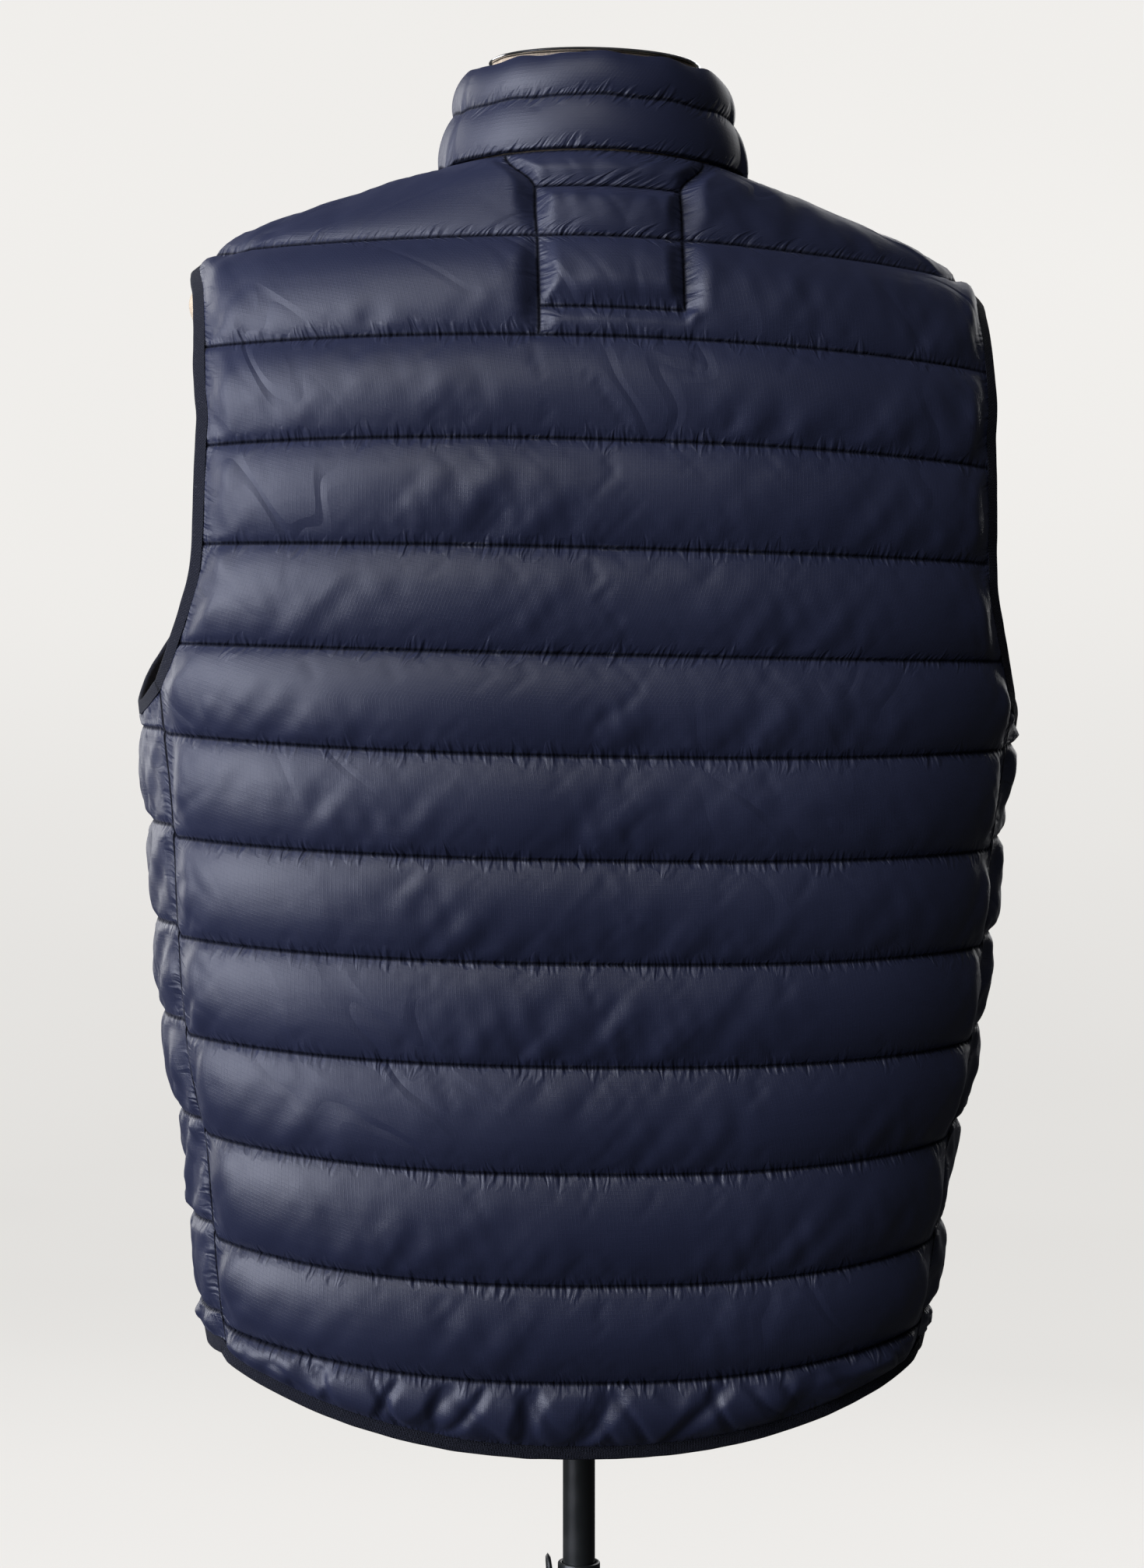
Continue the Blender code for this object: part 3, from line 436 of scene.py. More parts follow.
@dataclass
class Graph:
    """A node tree, with short ways to add nodes to it."""

    tree: bpy.types.NodeTree

    def add(self, kind: str, sockets: dict | None = None, **settings: object) -> bpy.types.Node:
        """Adds a node.

        Args:
            kind: The node's type, without its ShaderNode prefix.
            sockets: Values or sockets for its inputs, by name or index.
            settings: Properties of the node.

        Returns:
            The node.
        """
        made = self.tree.nodes.new(kind if kind.startswith("Node") else "ShaderNode" + kind)
        for name, value in settings.items():
            setattr(made, name, value)
        for name, value in (sockets or {}).items():
            if isinstance(value, Socket):
                self.tree.links.new(value, made.inputs[name])
            else:
                made.inputs[name].default_value = value
        return made

    def math(self, operation: str, *values: object, clamp: bool = False) -> Socket:
        """A Math node on up to three values or sockets."""
        sockets = dict(enumerate(values))
        return self.add("Math", sockets, operation=operation, use_clamp=clamp).outputs[0]

    def times(self, *values: object) -> Socket:
        """Two values or sockets multiplied."""
        return self.math("MULTIPLY", *values)

    def over(self, *values: object) -> Socket:
        """The first value or socket divided by the second."""
        return self.math("DIVIDE", *values)

    def plus(self, *values: object) -> Socket:
        """Two values or sockets added."""
        return self.math("ADD", *values)

    def minus(self, *values: object) -> Socket:
        """The first value or socket less the second."""
        return self.math("SUBTRACT", *values)

    def between(self, value: object, low: float, high: float, to: tuple = (0.0, 1.0)) -> Socket:
        """A value moved smoothly from one range to another, and held inside it.

        Args:
            value: The value.
            low: The start of its range.
            high: The end of its range.
            to: The range that it is moved to.

        Returns:
            The moved value.
        """
        sockets = {"Value": value, "From Min": low, "From Max": high}
        sockets |= {"To Min": to[0], "To Max": to[1]}
        kind = "SMOOTHSTEP" if low < high else "LINEAR"
        return self.add("MapRange", sockets, interpolation_type=kind).outputs[0]

    def blend(self, share: object, first: object, second: object) -> Socket:
        """A mix of two colours.

        Args:
            share: How much of the second colour there is.
            first: The first colour or socket.
            second: The second.

        Returns:
            The mixed colour.
        """
        made = self.add("Mix", data_type="RGBA")
        for index, value in ((0, share), (6, first), (7, second)):
            if isinstance(value, Socket):
                self.tree.links.new(value, made.inputs[index])
            else:
                made.inputs[index].default_value = value if index == 0 else (*value, 1.0)
        return made.outputs[2]

    def noise(self, vector: Socket | None, scale: float, detail: float = 2.0) -> Socket:
        """A Noise texture's value.

        Args:
            vector: Where the texture is read.
            scale: Its scale.
            detail: Its detail.

        Returns:
            The value.
        """
        sockets = {"Scale": scale, "Detail": detail}
        if vector:
            sockets["Vector"] = vector
        return self.add("TexNoise", sockets).outputs["Fac"]

    def triple(self, x: object, y: object, z: object = 0.0) -> Socket:
        """Three values as one vector."""
        return self.add("CombineXYZ", {0: x, 1: y, 2: z}).outputs[0]

    def bump(self, height: Socket, distance: float, normal: Socket | None = None) -> Socket:
        """A Bump node: its height, the height's real size and the normal it starts from.

        Args:
            height: The height.
            distance: The height's real size.
            normal: The normal it starts from.

        Returns:
            The new normal.
        """
        sockets = {"Height": height, "Distance": distance, "Strength": 1.0}
        if normal:
            sockets["Normal"] = normal
        return self.add("Bump", sockets).outputs["Normal"]


class Effect:
    """A node group for a surface effect that several materials share."""

    name = ""
    inputs: tuple[tuple[str, float], ...] = ()
    outputs: tuple[str, ...] = ()

    def build(self, graph: Graph, given: Sockets) -> Sockets:
        """Adds the group's nodes and returns a socket for each output."""
        raise NotImplementedError

    def group(self) -> bpy.types.NodeTree:
        """The node group, made on its first use.

        Returns:
            The group's node tree.
        """
        tree = bpy.data.node_groups.get(self.name)
        if tree:
            return tree
        tree = bpy.data.node_groups.new(self.name, "ShaderNodeTree")
        for name, value in self.inputs:
            made = tree.interface.new_socket(name, in_out="INPUT", socket_type="NodeSocketFloat")
            made.default_value = value
        for name in self.outputs:
            tree.interface.new_socket(name, in_out="OUTPUT", socket_type="NodeSocketFloat")
        graph = Graph(tree)
        given = {socket.name: socket for socket in graph.add("NodeGroupInput").outputs}
        graph.add("NodeGroupOutput", self.build(graph, given))
        return tree

    def place(self, graph: Graph, **values: object) -> Sockets:
        """Places the group in a material.

        Args:
            graph: The material's nodes.
            values: Values or sockets for the inputs, spaces written as underscores.

        Returns:
            The group's outputs by name.
        """
        made = graph.add("Group", node_tree=self.group())
        for name, value in values.items():
            socket = made.inputs[name.replace("_", " ")]
            if isinstance(value, Socket):
                graph.tree.links.new(value, socket)
            else:
                socket.default_value = value
        return {socket.name: socket for socket in made.outputs}


class Weave(Effect):
    """Threads over and under each other, with a thicker thread at every few millimetres."""

    name = "Weave"
    inputs = (("Along", 0.0), ("Across", 0.0), ("Thread", 0.0005), ("Grid", 0.0015), ("Slub", 0.0))
    outputs = ("Height", "Ridge", "Shade")
    slub_scales = (1600.0, 60.0)

    def build(self, graph: Graph, given: Sockets) -> Sockets:
        """Adds the group's nodes and returns a socket for each output.

        Args:
            graph: The group's nodes.
            given: Sockets of the group's inputs, by name.

        Returns:
            A socket for each output, by name.
        """
        turn = graph.over(math.pi, given["Thread"])
        waves = []
        for name in ("Along", "Across"):
            waves.append(graph.math("SINE", graph.times(given[name], turn)))
        height = graph.math("MULTIPLY_ADD", graph.times(*waves), 0.5, 0.5)
        ridges = []
        for name in ("Along", "Across"):
            place = graph.math("PINGPONG", given[name], graph.times(given["Grid"], 0.5))
            share = graph.over(place, given["Grid"])
            ridges.append(graph.between(share, 0.12, 0.02))
        ridge = graph.math("MAXIMUM", *ridges)
        fine, long = self.slub_scales
        uneven = []
        for scales in ((fine, long), (long, fine)):
            place = [graph.times(given[name], scale) for name, scale in zip(("Along", "Across"), scales)]
            uneven.append(graph.noise(graph.triple(*place), 1.0))
        shade = graph.times(graph.minus(graph.plus(*uneven), 1.0), given["Slub"])
        return {"Height": height, "Ridge": ridge, "Shade": shade}


class Stitching(Effect):
    """A row of stitches: its thread, the valley it pulls down and the puckers beside it."""

    name = "Stitching"
    inputs = (
        ("Along", 0.0), ("Distance", 1.0), ("Nearness", 0.0), ("Place", 0.0), ("Stitch", 0.0030),
        ("Pucker", 0.0037), ("Reach", 0.0075)
    )
    outputs = ("Thread", "Valley", "Pucker")

    def build(self, graph: Graph, given: Sockets) -> Sockets:
        """Adds the group's nodes and returns a socket for each output.

        Args:
            graph: The group's nodes.
            given: Sockets of the group's inputs, by name.

        Returns:
            A socket for each output, by name.
        """
        part = graph.math("FRACT", graph.over(given["Along"], given["Stitch"]))
        dash = graph.between(graph.math("ABSOLUTE", graph.minus(part, 0.5)), 0.42, 0.34)
        near = graph.between(given["Distance"], 0.00055, 0.00035)
        valley = graph.between(given["Distance"], 0.0016, 0.0003)
        place = graph.over(given["Along"], given["Pucker"])
        outward = graph.over(given["Distance"], given["Reach"])
        seed = graph.times(given["Place"], 31.0)
        wide = graph.noise(graph.triple(graph.times(place, 0.3), seed), 1.0, 2.0)
        slant = graph.times(graph.minus(wide, 0.5), outward)
        bent = graph.plus(place, graph.times(slant, 5.0))
        fine = graph.noise(graph.triple(bent, graph.times(outward, 0.4), seed), 1.1, 1.0)
        reach = graph.between(wide, 0.35, 0.68, (0.25, 1.35))
        share = graph.over(outward, reach)
        fade = graph.math("SUBTRACT", 1.0, share, clamp=True)
        fade = graph.times(fade, graph.between(given["Nearness"], 0.95, 0.5))
        raised = graph.times(graph.minus(fine, 0.5), fade)
        return {"Thread": graph.times(dash, near), "Valley": valley, "Pucker": raised}


class Creases(Effect):
    """Fine crumpling of thin cloth: soft folds and a few sharper ones."""

    name = "Creases"
    inputs = (("Along", 0.0), ("Across", 0.0), ("Size", 0.05), ("Sharp", 0.5))
    outputs = ("Height", "Patch")

    def build(self, graph: Graph, given: Sockets) -> Sockets:
        """Adds the group's nodes and returns a socket for each output.

        Args:
            graph: The group's nodes.
            given: Sockets of the group's inputs, by name.

        Returns:
            A socket for each output, by name.
        """
        along = graph.over(given["Along"], given["Size"])
        across = graph.over(given["Across"], given["Size"])
        slanted = graph.triple(
            graph.plus(along, graph.times(across, 0.7)), graph.times(graph.minus(across, along), 0.45)
        )
        patch = graph.noise(graph.triple(along, across, 3.7), 0.35, 1.0)
        where = graph.between(patch, 0.48, 0.64)
        soft = graph.times(graph.noise(slanted, 1.4, 3.0), where)
        ridge = graph.math("ABSOLUTE", graph.minus(graph.noise(slanted, 0.8, 1.5), 0.5))
        sharp = graph.times(graph.between(ridge, 0.04, 0.0), given["Sharp"])
        height = graph.minus(soft, graph.times(sharp, where))
        return {"Height": height, "Patch": patch}


class Wear(Effect):
    """Paint or plating worn through along edges, in uneven patches."""

    name = "Edge wear"
    inputs = (("Edge", 0.0), ("Amount", 0.5), ("Scale", 300.0))
    outputs = ("Worn", "Scuff")

    def build(self, graph: Graph, given: Sockets) -> Sockets:
        """Adds the group's nodes and returns a socket for each output.

        Args:
            graph: The group's nodes.
            given: Sockets of the group's inputs, by name.

        Returns:
            A socket for each output, by name.
        """
        place = graph.add("TexCoord").outputs["Object"]
        scaled = graph.add("VectorMath", {0: place}, operation="SCALE")
        graph.tree.links.new(given["Scale"], scaled.inputs["Scale"])
        patchy = graph.noise(scaled.outputs[0], 1.0, 4.0)
        reach = graph.times(given["Edge"], given["Amount"])
        worn = graph.between(graph.plus(graph.times(patchy, 0.6), reach), 0.72, 0.8)
        scuff = graph.between(graph.noise(scaled.outputs[0], 0.16, 6.0), 0.35, 0.75)
        return {"Worn": worn, "Scuff": scuff}


class Dust(Effect):
    """A thin film of dust that lies on what faces up."""

    name = "Dust"
    inputs = (("Amount", 0.3),)
    outputs = ("Cover",)

    def build(self, graph: Graph, given: Sockets) -> Sockets:
        """Adds the group's nodes and returns a socket for each output.

        Args:
            graph: The group's nodes.
            given: Sockets of the group's inputs, by name.

        Returns:
            A socket for each output, by name.
        """
        facing = graph.add("SeparateXYZ", {0: graph.add("NewGeometry").outputs["Normal"]})
        upward = graph.between(facing.outputs["Z"], 0.4, 0.95)
        place = graph.add("TexCoord").outputs["Object"]
        patch = graph.between(graph.noise(place, 18.0, 5.0), 0.3, 0.75)
        cover = graph.times(graph.times(upward, patch), given["Amount"])
        return {"Cover": cover}


WEAVE, STITCHING, CREASES, WEAR, DUST = Weave(), Stitching(), Creases(), Wear(), Dust()


# ---- Finishes ----------------------------------------------------------------------------------


@dataclass(frozen=True)
class Finish:
    """A material: the values that its shader holds all over, and nodes for what changes."""

    name: str
    color: Color
    roughness: float = 0.5
    metallic: float = 0.0
    specular: float = 0.5
    sheen: float = 0.0
    sheen_tint: Color = (1.0, 1.0, 1.0)
    coat: float = 0.0
    emission: float = 0.0

    def material(self) -> bpy.types.Material:
        """The material, made on its first use.

        Returns:
            The material.
        """
        made = bpy.data.materials.get(self.name)
        if made:
            return made
        made = bpy.data.materials.new(self.name)
        made.use_nodes = True
        made.diffuse_color = (*self.color, 1.0)
        shader = made.node_tree.nodes["Principled BSDF"]
        held = {
            "Base Color": (*self.color, 1.0), "Metallic": self.metallic,
            "Roughness": self.roughness, "Specular IOR Level": self.specular,
            "Sheen Weight": self.sheen, "Sheen Tint": (*self.sheen_tint, 1.0),
            "Coat Weight": self.coat, "Emission Strength": self.emission,
        }
        for name, value in held.items():
            shader.inputs[name].default_value = value
        graph = Graph(made.node_tree)
        for name, socket in self.varied(graph).items():
            graph.tree.links.new(socket, shader.inputs[name])
        return made

    def varied(self, graph: Graph) -> Sockets:
        """Adds the nodes of what changes over the surface.

        Args:
            graph: The material's nodes.

        Returns:
            Sockets for the shader's inputs, by name.
        """
        return {}


def read_layer(graph: Graph, name: str) -> tuple[Socket, Socket, Socket]:
    """The three numbers of a point layer that the meshes carry.

    Args:
        graph: The material's nodes.
        name: The layer's name.

    Returns:
        The three sockets.
    """
    vector = graph.add("Attribute", attribute_name=name).outputs["Vector"]
    split = graph.add("SeparateXYZ", {0: vector})
    return split.outputs[0], split.outputs[1], split.outputs[2]


def place_stitching(graph: Graph, layer: str, place: Socket, **sizes: float) -> Sockets:
    """Places the stitching effect on the seams that a point layer measures."""
    along, distance, nearness = read_layer(graph, layer)
    return STITCHING.place(graph, Along=along, Distance=distance, Nearness=nearness, Place=place, **sizes)


def tinted(graph: Graph, color: Color, tone: Socket) -> Socket:
    """A colour made lighter or darker by a factor.

    Args:
        graph: The material's nodes.
        color: The colour.
        tone: The factor.

    Returns:
        The new colour.
    """
    plain = graph.add("RGB")
    plain.outputs[0].default_value = (*color, 1.0)
    changed = graph.add("VectorMath", {0: plain.outputs[0]}, operation="SCALE")
    graph.tree.links.new(tone, changed.inputs["Scale"])
    return changed.outputs[0]


@dataclass(frozen=True)
class PuffedNylon(Finish):
    """The vest's satin nylon shell, pulled down and puckered along its stitching, with painted shade in
    the valleys along the stitching.
    """

    thread_color: Color = (0.006, 0.008, 0.020)
    # Painted shade in the stitched valleys: how much darker their colour gets, and how metallic they turn
    # so that they lose their reflection.
    valley_shade: float = 0.88
    valley_shade_metallic: float = 0.85
    pucker_height: float = 0.0030
    crease_height: float = 0.0010
    crease_size: float = 0.060
    weave_thread: float = 0.00022
    weave_grid: float = 0.0021
    patch_range: tuple[float, float] = (0.3, 0.7)
    patch_tone: tuple[float, float] = (0.90, 1.10)
    patch_dulling: tuple[float, float] = (-0.04, 0.05)
    slub_tone: float = 0.4
    grid_tone: float = 0.05
    valley_roughness: float = 0.3
    thread_height: float = 0.00002
    grid_height: float = 0.00003

    def varied(self, graph: Graph) -> Sockets:
        """Adds the nodes of what changes over the surface.

        Args:
            graph: The material's nodes.

        Returns:
            Sockets for the shader's inputs, by name.
        """
        run, rise, _ = read_layer(graph, "weave")
        rows = place_stitching(graph, "stitch_rows", rise)
        sides = place_stitching(graph, "stitch_sides", run, Reach=0.012)
        creases = CREASES.place(graph, Along=run, Across=rise, Size=self.crease_size, Sharp=0.7)
        weave = WEAVE.place(
            graph, Along=run, Across=rise, Thread=self.weave_thread, Grid=self.weave_grid, Slub=0.3
        )
        valley = graph.math("MAXIMUM", rows["Valley"], sides["Valley"])
        tone = graph.between(creases["Patch"], *self.patch_range, self.patch_tone)
        tone = graph.plus(tone, graph.times(weave["Shade"], self.slub_tone))
        tone = graph.plus(tone, graph.times(weave["Ridge"], self.grid_tone))
        # Painted shade: the colour is darkened in the valleys along the stitching.
        dark = graph.times(valley, self.valley_shade)
        tone = graph.times(tone, graph.minus(1.0, dark))
        color = graph.blend(rows["Thread"], tinted(graph, self.color, tone), self.thread_color)
        rough = graph.between(creases["Patch"], *self.patch_range, self.patch_dulling)
        valley_rough = graph.math("MULTIPLY_ADD", valley, self.valley_roughness, self.roughness)
        rough = graph.plus(rough, valley_rough)
        normal = graph.bump(weave["Height"], self.thread_height)
        normal = graph.bump(weave["Ridge"], self.grid_height, normal)
        normal = graph.bump(creases["Height"], self.crease_height, normal)
        pucker = graph.plus(rows["Pucker"], sides["Pucker"])
        normal = graph.bump(pucker, self.pucker_height, normal)
        # Painted shade: the valleys turn metallic over a near-black colour, which takes away their
        # reflection.
        metal = graph.times(valley, self.valley_shade_metallic)
        return {"Base Color": color, "Roughness": rough, "Metallic": metal, "Normal": normal}


@dataclass(frozen=True)
class Lining(Finish):
    """The thin plain cloth inside the vest."""

    def varied(self, graph: Graph) -> Sockets:
        """Adds the nodes of what changes over the surface.

        Args:
            graph: The material's nodes.

        Returns:
            Sockets for the shader's inputs, by name.
        """
        run, rise, _ = read_layer(graph, "weave")
        creases = CREASES.place(graph, Along=run, Across=rise, Size=0.03, Sharp=0.8)
        lighter = tuple(1.3 * part for part in self.color)
        color = graph.blend(creases["Patch"], self.color, lighter)
        rough = graph.between(creases["Patch"], 0.3, 0.7, (self.roughness, self.roughness + 0.1))
        return {"Base Color": color, "Roughness": rough, "Normal": graph.bump(creases["Height"], 0.0015)}


@dataclass(frozen=True)
class RibbedTape(Finish):
    """Narrow woven tape: fine ribs across it and a row of stitching along it."""

    rib: float = 0.0009
    rib_height: float = 0.00016
    lint: float = 0.12
    lint_color: Color = (0.16, 0.16, 0.19)

    def varied(self, graph: Graph) -> Sockets:
        """Adds the nodes of what changes over the surface.

        Args:
            graph: The material's nodes.

        Returns:
            Sockets for the shader's inputs, by name.
        """
        run, rise, _ = read_layer(graph, "weave")
        stitching = place_stitching(graph, "stitch_rows", rise, Reach=0.002)
        weave = WEAVE.place(graph, Along=run, Across=rise, Thread=self.rib, Grid=1.0, Slub=0.5)
        ribs = graph.math("SINE", graph.times(run, math.tau / self.rib))
        place = graph.add("TexCoord").outputs["Object"]
        fuzz = graph.between(graph.noise(place, 900.0, 3.0), 0.58, 0.72, (0.0, self.lint))
        lighter = tuple(part * 2.4 + 0.012 for part in self.color)
        worn = graph.blend(graph.times(weave["Height"], 0.35), self.color, lighter)
        color = graph.blend(fuzz, worn, self.lint_color)
        rough = graph.between(weave["Height"], 0.0, 1.0, (self.roughness + 0.1, self.roughness))
        normal = graph.bump(ribs, self.rib_height)
        normal = graph.bump(weave["Height"], self.rib_height, normal)
        normal = graph.bump(stitching["Pucker"], 0.0006, normal)
        return {"Base Color": color, "Roughness": rough, "Normal": normal}


@dataclass(frozen=True)
class Linen(Finish):
    """Natural linen: coarse uneven threads, tone from thread to thread, and a sewn seam."""

    thread: float = 0.00065
    thread_height: float = 0.00022
    dust_color: Color = (0.62, 0.60, 0.56)

    def varied(self, graph: Graph) -> Sockets:
        """Adds the nodes of what changes over the surface.

        Args:
            graph: The material's nodes.

        Returns:
            Sockets for the shader's inputs, by name.
        """
        run, rise, _ = read_layer(graph, "weave")
        weave = WEAVE.place(graph, Along=run, Across=rise, Thread=self.thread, Grid=1.0, Slub=1.0)
        seam = place_stitching(graph, "stitch_sides", rise, Stitch=0.0026, Reach=0.006)
        dust = DUST.place(graph, Amount=0.25)
        darker = tuple(0.62 * part for part in self.color)
        lighter = tuple(min(1.0, 1.18 * part) for part in self.color)
        tone = graph.math("MULTIPLY_ADD", weave["Shade"], 1.3, 0.55)
        tone = graph.plus(tone, graph.math("MULTIPLY_ADD", weave["Height"], 0.3, -0.15))
        color = graph.blend(tone, darker, lighter)
        shaded = graph.blend(graph.times(seam["Valley"], 0.6), color, darker)
        dusty = graph.blend(dust["Cover"], shaded, self.dust_color)
        rough = graph.between(weave["Height"], 0.0, 1.0, (self.roughness + 0.08, self.roughness))
        normal = graph.bump(weave["Height"], self.thread_height)
        normal = graph.bump(weave["Shade"], self.thread_height * 1.5, normal)
        normal = graph.bump(seam["Pucker"], 0.0008, normal)
        return {"Base Color": dusty, "Roughness": rough, "Normal": normal}


@dataclass(frozen=True)
class CoatedMetal(Finish):
    """Painted or plated metal whose edges are worn and whose faces are lightly scuffed."""

    worn_color: Color = (0.30, 0.30, 0.31)
    worn_metallic: float = 0.9
    worn_roughness: float = 0.35
    edge_wear: float = 0.55
    wear_scale: float = 300.0
    grain_height: float = 0.00002
    grain_scale: float = 900.0
    dust: float = 0.15
    dust_color: Color = (0.35, 0.34, 0.32)

    def varied(self, graph: Graph) -> Sockets:
        """Adds the nodes of what changes over the surface.

        Args:
            graph: The material's nodes.

        Returns:
            Sockets for the shader's inputs, by name.
        """
        edge = graph.add("Attribute", attribute_name="edge").outputs["Fac"]
        wear = WEAR.place(graph, Edge=edge, Amount=self.edge_wear, Scale=self.wear_scale)
        dust = DUST.place(graph, Amount=self.dust)
        worn = graph.blend(wear["Worn"], self.color, self.worn_color)
        color = graph.blend(dust["Cover"], worn, self.dust_color)
        rough = graph.math("MULTIPLY_ADD", wear["Scuff"], 0.14, self.roughness)
        wear_shift = graph.minus(self.worn_roughness, rough)
        rough = graph.math("MULTIPLY_ADD", wear["Worn"], wear_shift, rough)
        rough = graph.math("MULTIPLY_ADD", dust["Cover"], 0.3, rough)
        metal = graph.between(wear["Worn"], 0.0, 1.0, (self.metallic, self.worn_metallic))
        place = graph.add("TexCoord").outputs["Object"]
        grain = graph.noise(place, self.grain_scale, 3.0)
        normal = graph.bump(grain, self.grain_height)
        return {"Base Color": color, "Roughness": rough, "Metallic": metal, "Normal": normal}


@dataclass(frozen=True)
class PaleSweep(Finish):
    """The plain pale floor and backdrop, which glow a little as if lit, with painted shade that makes
    them darker towards the floor.
    """

    glow: float = 1.04
    albedo: float = 0.22
    painted_floor_shade: float = 0.86

    def varied(self, graph: Graph) -> Sockets:
        """Adds the nodes of what changes over the surface.

        Args:
            graph: The material's nodes.

        Returns:
            Sockets for the shader's inputs, by name.
        """
        place = graph.add("TexCoord").outputs["Object"]
        height = graph.add("SeparateXYZ", {0: place}).outputs["Z"]
        tone = graph.between(graph.noise(place, 0.6, 2.0), 0.3, 0.7, (0.99, 1.01))
        # Painted shade: the colour and the glow get darker towards the floor.
        tone = graph.times(tone, graph.between(height, -0.5, 2.0, (self.painted_floor_shade, 1.0)))
        glow = tuple(self.glow * part for part in self.color)
        matt = tuple(self.albedo * part for part in self.color)
        return {"Base Color": tinted(graph, matt, tone), "Emission Color": tinted(graph, glow, tone)}


NYLON = PuffedNylon(
    "quilted_nylon", color=(0.0125, 0.0158, 0.0390), roughness=0.45, specular=0.50, sheen=0.04,
    sheen_tint=(0.50, 0.55, 1.0)
)
LINING = Lining("nylon_lining", color=(0.008, 0.010, 0.022), roughness=0.55)
ELASTIC = RibbedTape("elastic_binding", color=(0.0045, 0.0055, 0.012), roughness=0.78, specular=0.3)
ZIP_WEB = RibbedTape("zip_webbing", color=(0.006, 0.008, 0.018), roughness=0.72, rib=0.0007)
LINEN = Linen("form_linen_cloth", color=(0.60, 0.49, 0.36), roughness=0.86, specular=0.25)
TEETH = CoatedMetal(
    "zip_teeth_resin", color=(0.008, 0.010, 0.018), roughness=0.36, worn_metallic=0.0,
    worn_color=(0.03, 0.03, 0.04), edge_wear=0.3, dust=0.05
)
GUNMETAL = CoatedMetal(
    "zip_gunmetal", color=(0.045, 0.045, 0.05), roughness=0.30, metallic=0.85, wear_scale=900.0,
    worn_color=(0.38, 0.37, 0.36), dust=0.05
)
CHROME = CoatedMetal(
    "neck_cap_chrome", color=(0.62, 0.63, 0.65), roughness=0.10, metallic=1.0,
    worn_color=(0.32, 0.32, 0.33), worn_metallic=1.0, edge_wear=0.25, dust=0.12
)
ENAMEL = CoatedMetal(
    "stand_black_enamel", color=(0.012, 0.0135, 0.0135), roughness=0.33, specular=0.5, edge_wear=0.45,
    wear_scale=420.0, grain_height=0.00003
)
SWEEP = PaleSweep("studio_sweep", color=(0.815, 0.80, 0.775), roughness=0.9, specular=0.1, emission=1.0)


# ---- Adding pieces -----------------------------------------------------------------------------


def mesh_from(name: str, points: Array, faces: list, sharp_deg: float = 45.0) -> Mesh:
    """A smooth-shaded mesh.

    Args:
        name: The mesh's name.
        points: Its points.
        faces: Its faces as tuples of point indices.
        sharp_deg: Edges that turn by more than this stay sharp.

    Returns:
        The mesh.
    """
    mesh = bpy.data.meshes.new(name)
    mesh.from_pydata(np.asarray(points, float).reshape(-1, 3).tolist(), [], faces)
    mesh.validate()
    mesh.shade_smooth()
    mesh.set_sharp_from_angle(angle=math.radians(sharp_deg))
    return mesh


def write_layer(mesh: Mesh, name: str, values: Array) -> None:
    """Stores one number, or three, for each point of a mesh.

    Args:
        mesh: The mesh.
        name: The layer's name.
        values: One number or three for each point.
    """
    kind = "FLOAT" if values.ndim == 1 else "FLOAT_VECTOR"
    layer = mesh.attributes.new(name, kind, "POINT")
    layer.data.foreach_set("value" if values.ndim == 1 else "vector", values.astype("f").ravel())


def grid_faces(rows: int, columns: int, start: int = 0, closed: bool = False) -> list:
    """The four-sided faces of a grid of points, closed on itself along its rows or not.

    Args:
        rows: The grid's rows.
        columns: Its columns.
        start: The index of its first point.
        closed: Whether its last column joins its first.

    Returns:
        The faces.
    """
    faces = []
    for row in range(rows - 1):
        for col in range(columns if closed else columns - 1):
            a, b = start + row * columns + col, start + row * columns + (col + 1) % columns
            faces.append((a, b, b + columns, a + columns))
    return faces


def placed(name: str, data: bpy.types.ID) -> Thing:
    """A new object in the scene.

    Args:
        name: The object's name.
        data: Its mesh, light or camera.

    Returns:
        The object.
    """
    made = bpy.data.objects.new(name, data)
    bpy.context.scene.collection.objects.link(made)
    return made


def face_outward(mesh: Mesh) -> None:
    """Turns every face of a closed mesh outward.

    Args:
        mesh: The mesh.
    """
    shape = bmesh.new()
    shape.from_mesh(mesh)
    bmesh.ops.recalc_face_normals(shape, faces=shape.faces)
    shape.to_mesh(mesh)
    shape.free()


def mesh_of(shape: Shape, name: str, sharp_deg: float) -> Mesh:
    """Turns a shape into a smooth-shaded mesh, and frees the shape.

    Args:
        shape: The shape.
        name: The mesh's name.
        sharp_deg: Edges that turn by more than this stay sharp.

    Returns:
        The mesh.
    """
    mesh = bpy.data.meshes.new(name)
    shape.to_mesh(mesh)
    shape.free()
    mesh.shade_smooth()
    mesh.set_sharp_from_angle(angle=math.radians(sharp_deg))
    return mesh


def add_piece(
    mesh: Mesh, body: CadBody, finishes: Sequence[Finish],
    stands_for: Sequence[str] = (), place: Matrix | None = None
) -> Thing:
    """Adds a mesh as a piece of the model.

    Args:
        mesh: The finished mesh, which gives the piece its name.
        body: The body that it rides on.
        finishes: Its materials, in the order of its faces' material indices.
        stands_for: The CAD nodes that it is shown instead of.
        place: A matrix that its points are moved by first.

    Returns:
        The piece.
    """
    if place is not None:
        mesh.transform(place)
    for finish in finishes:
        mesh.materials.append(finish.material())
    piece = placed(mesh.name, mesh)
    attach(piece, body.value)
    if stands_for:
        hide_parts(*stands_for)
    log.info("%s: %d faces on %s", piece.name, len(mesh.polygons), body.value)
    return piece


class Seam(NamedTuple):
    """A line of stitching along a grid: the row or column that it is on, and how much of it."""

    index: int
    part: slice = slice(None)


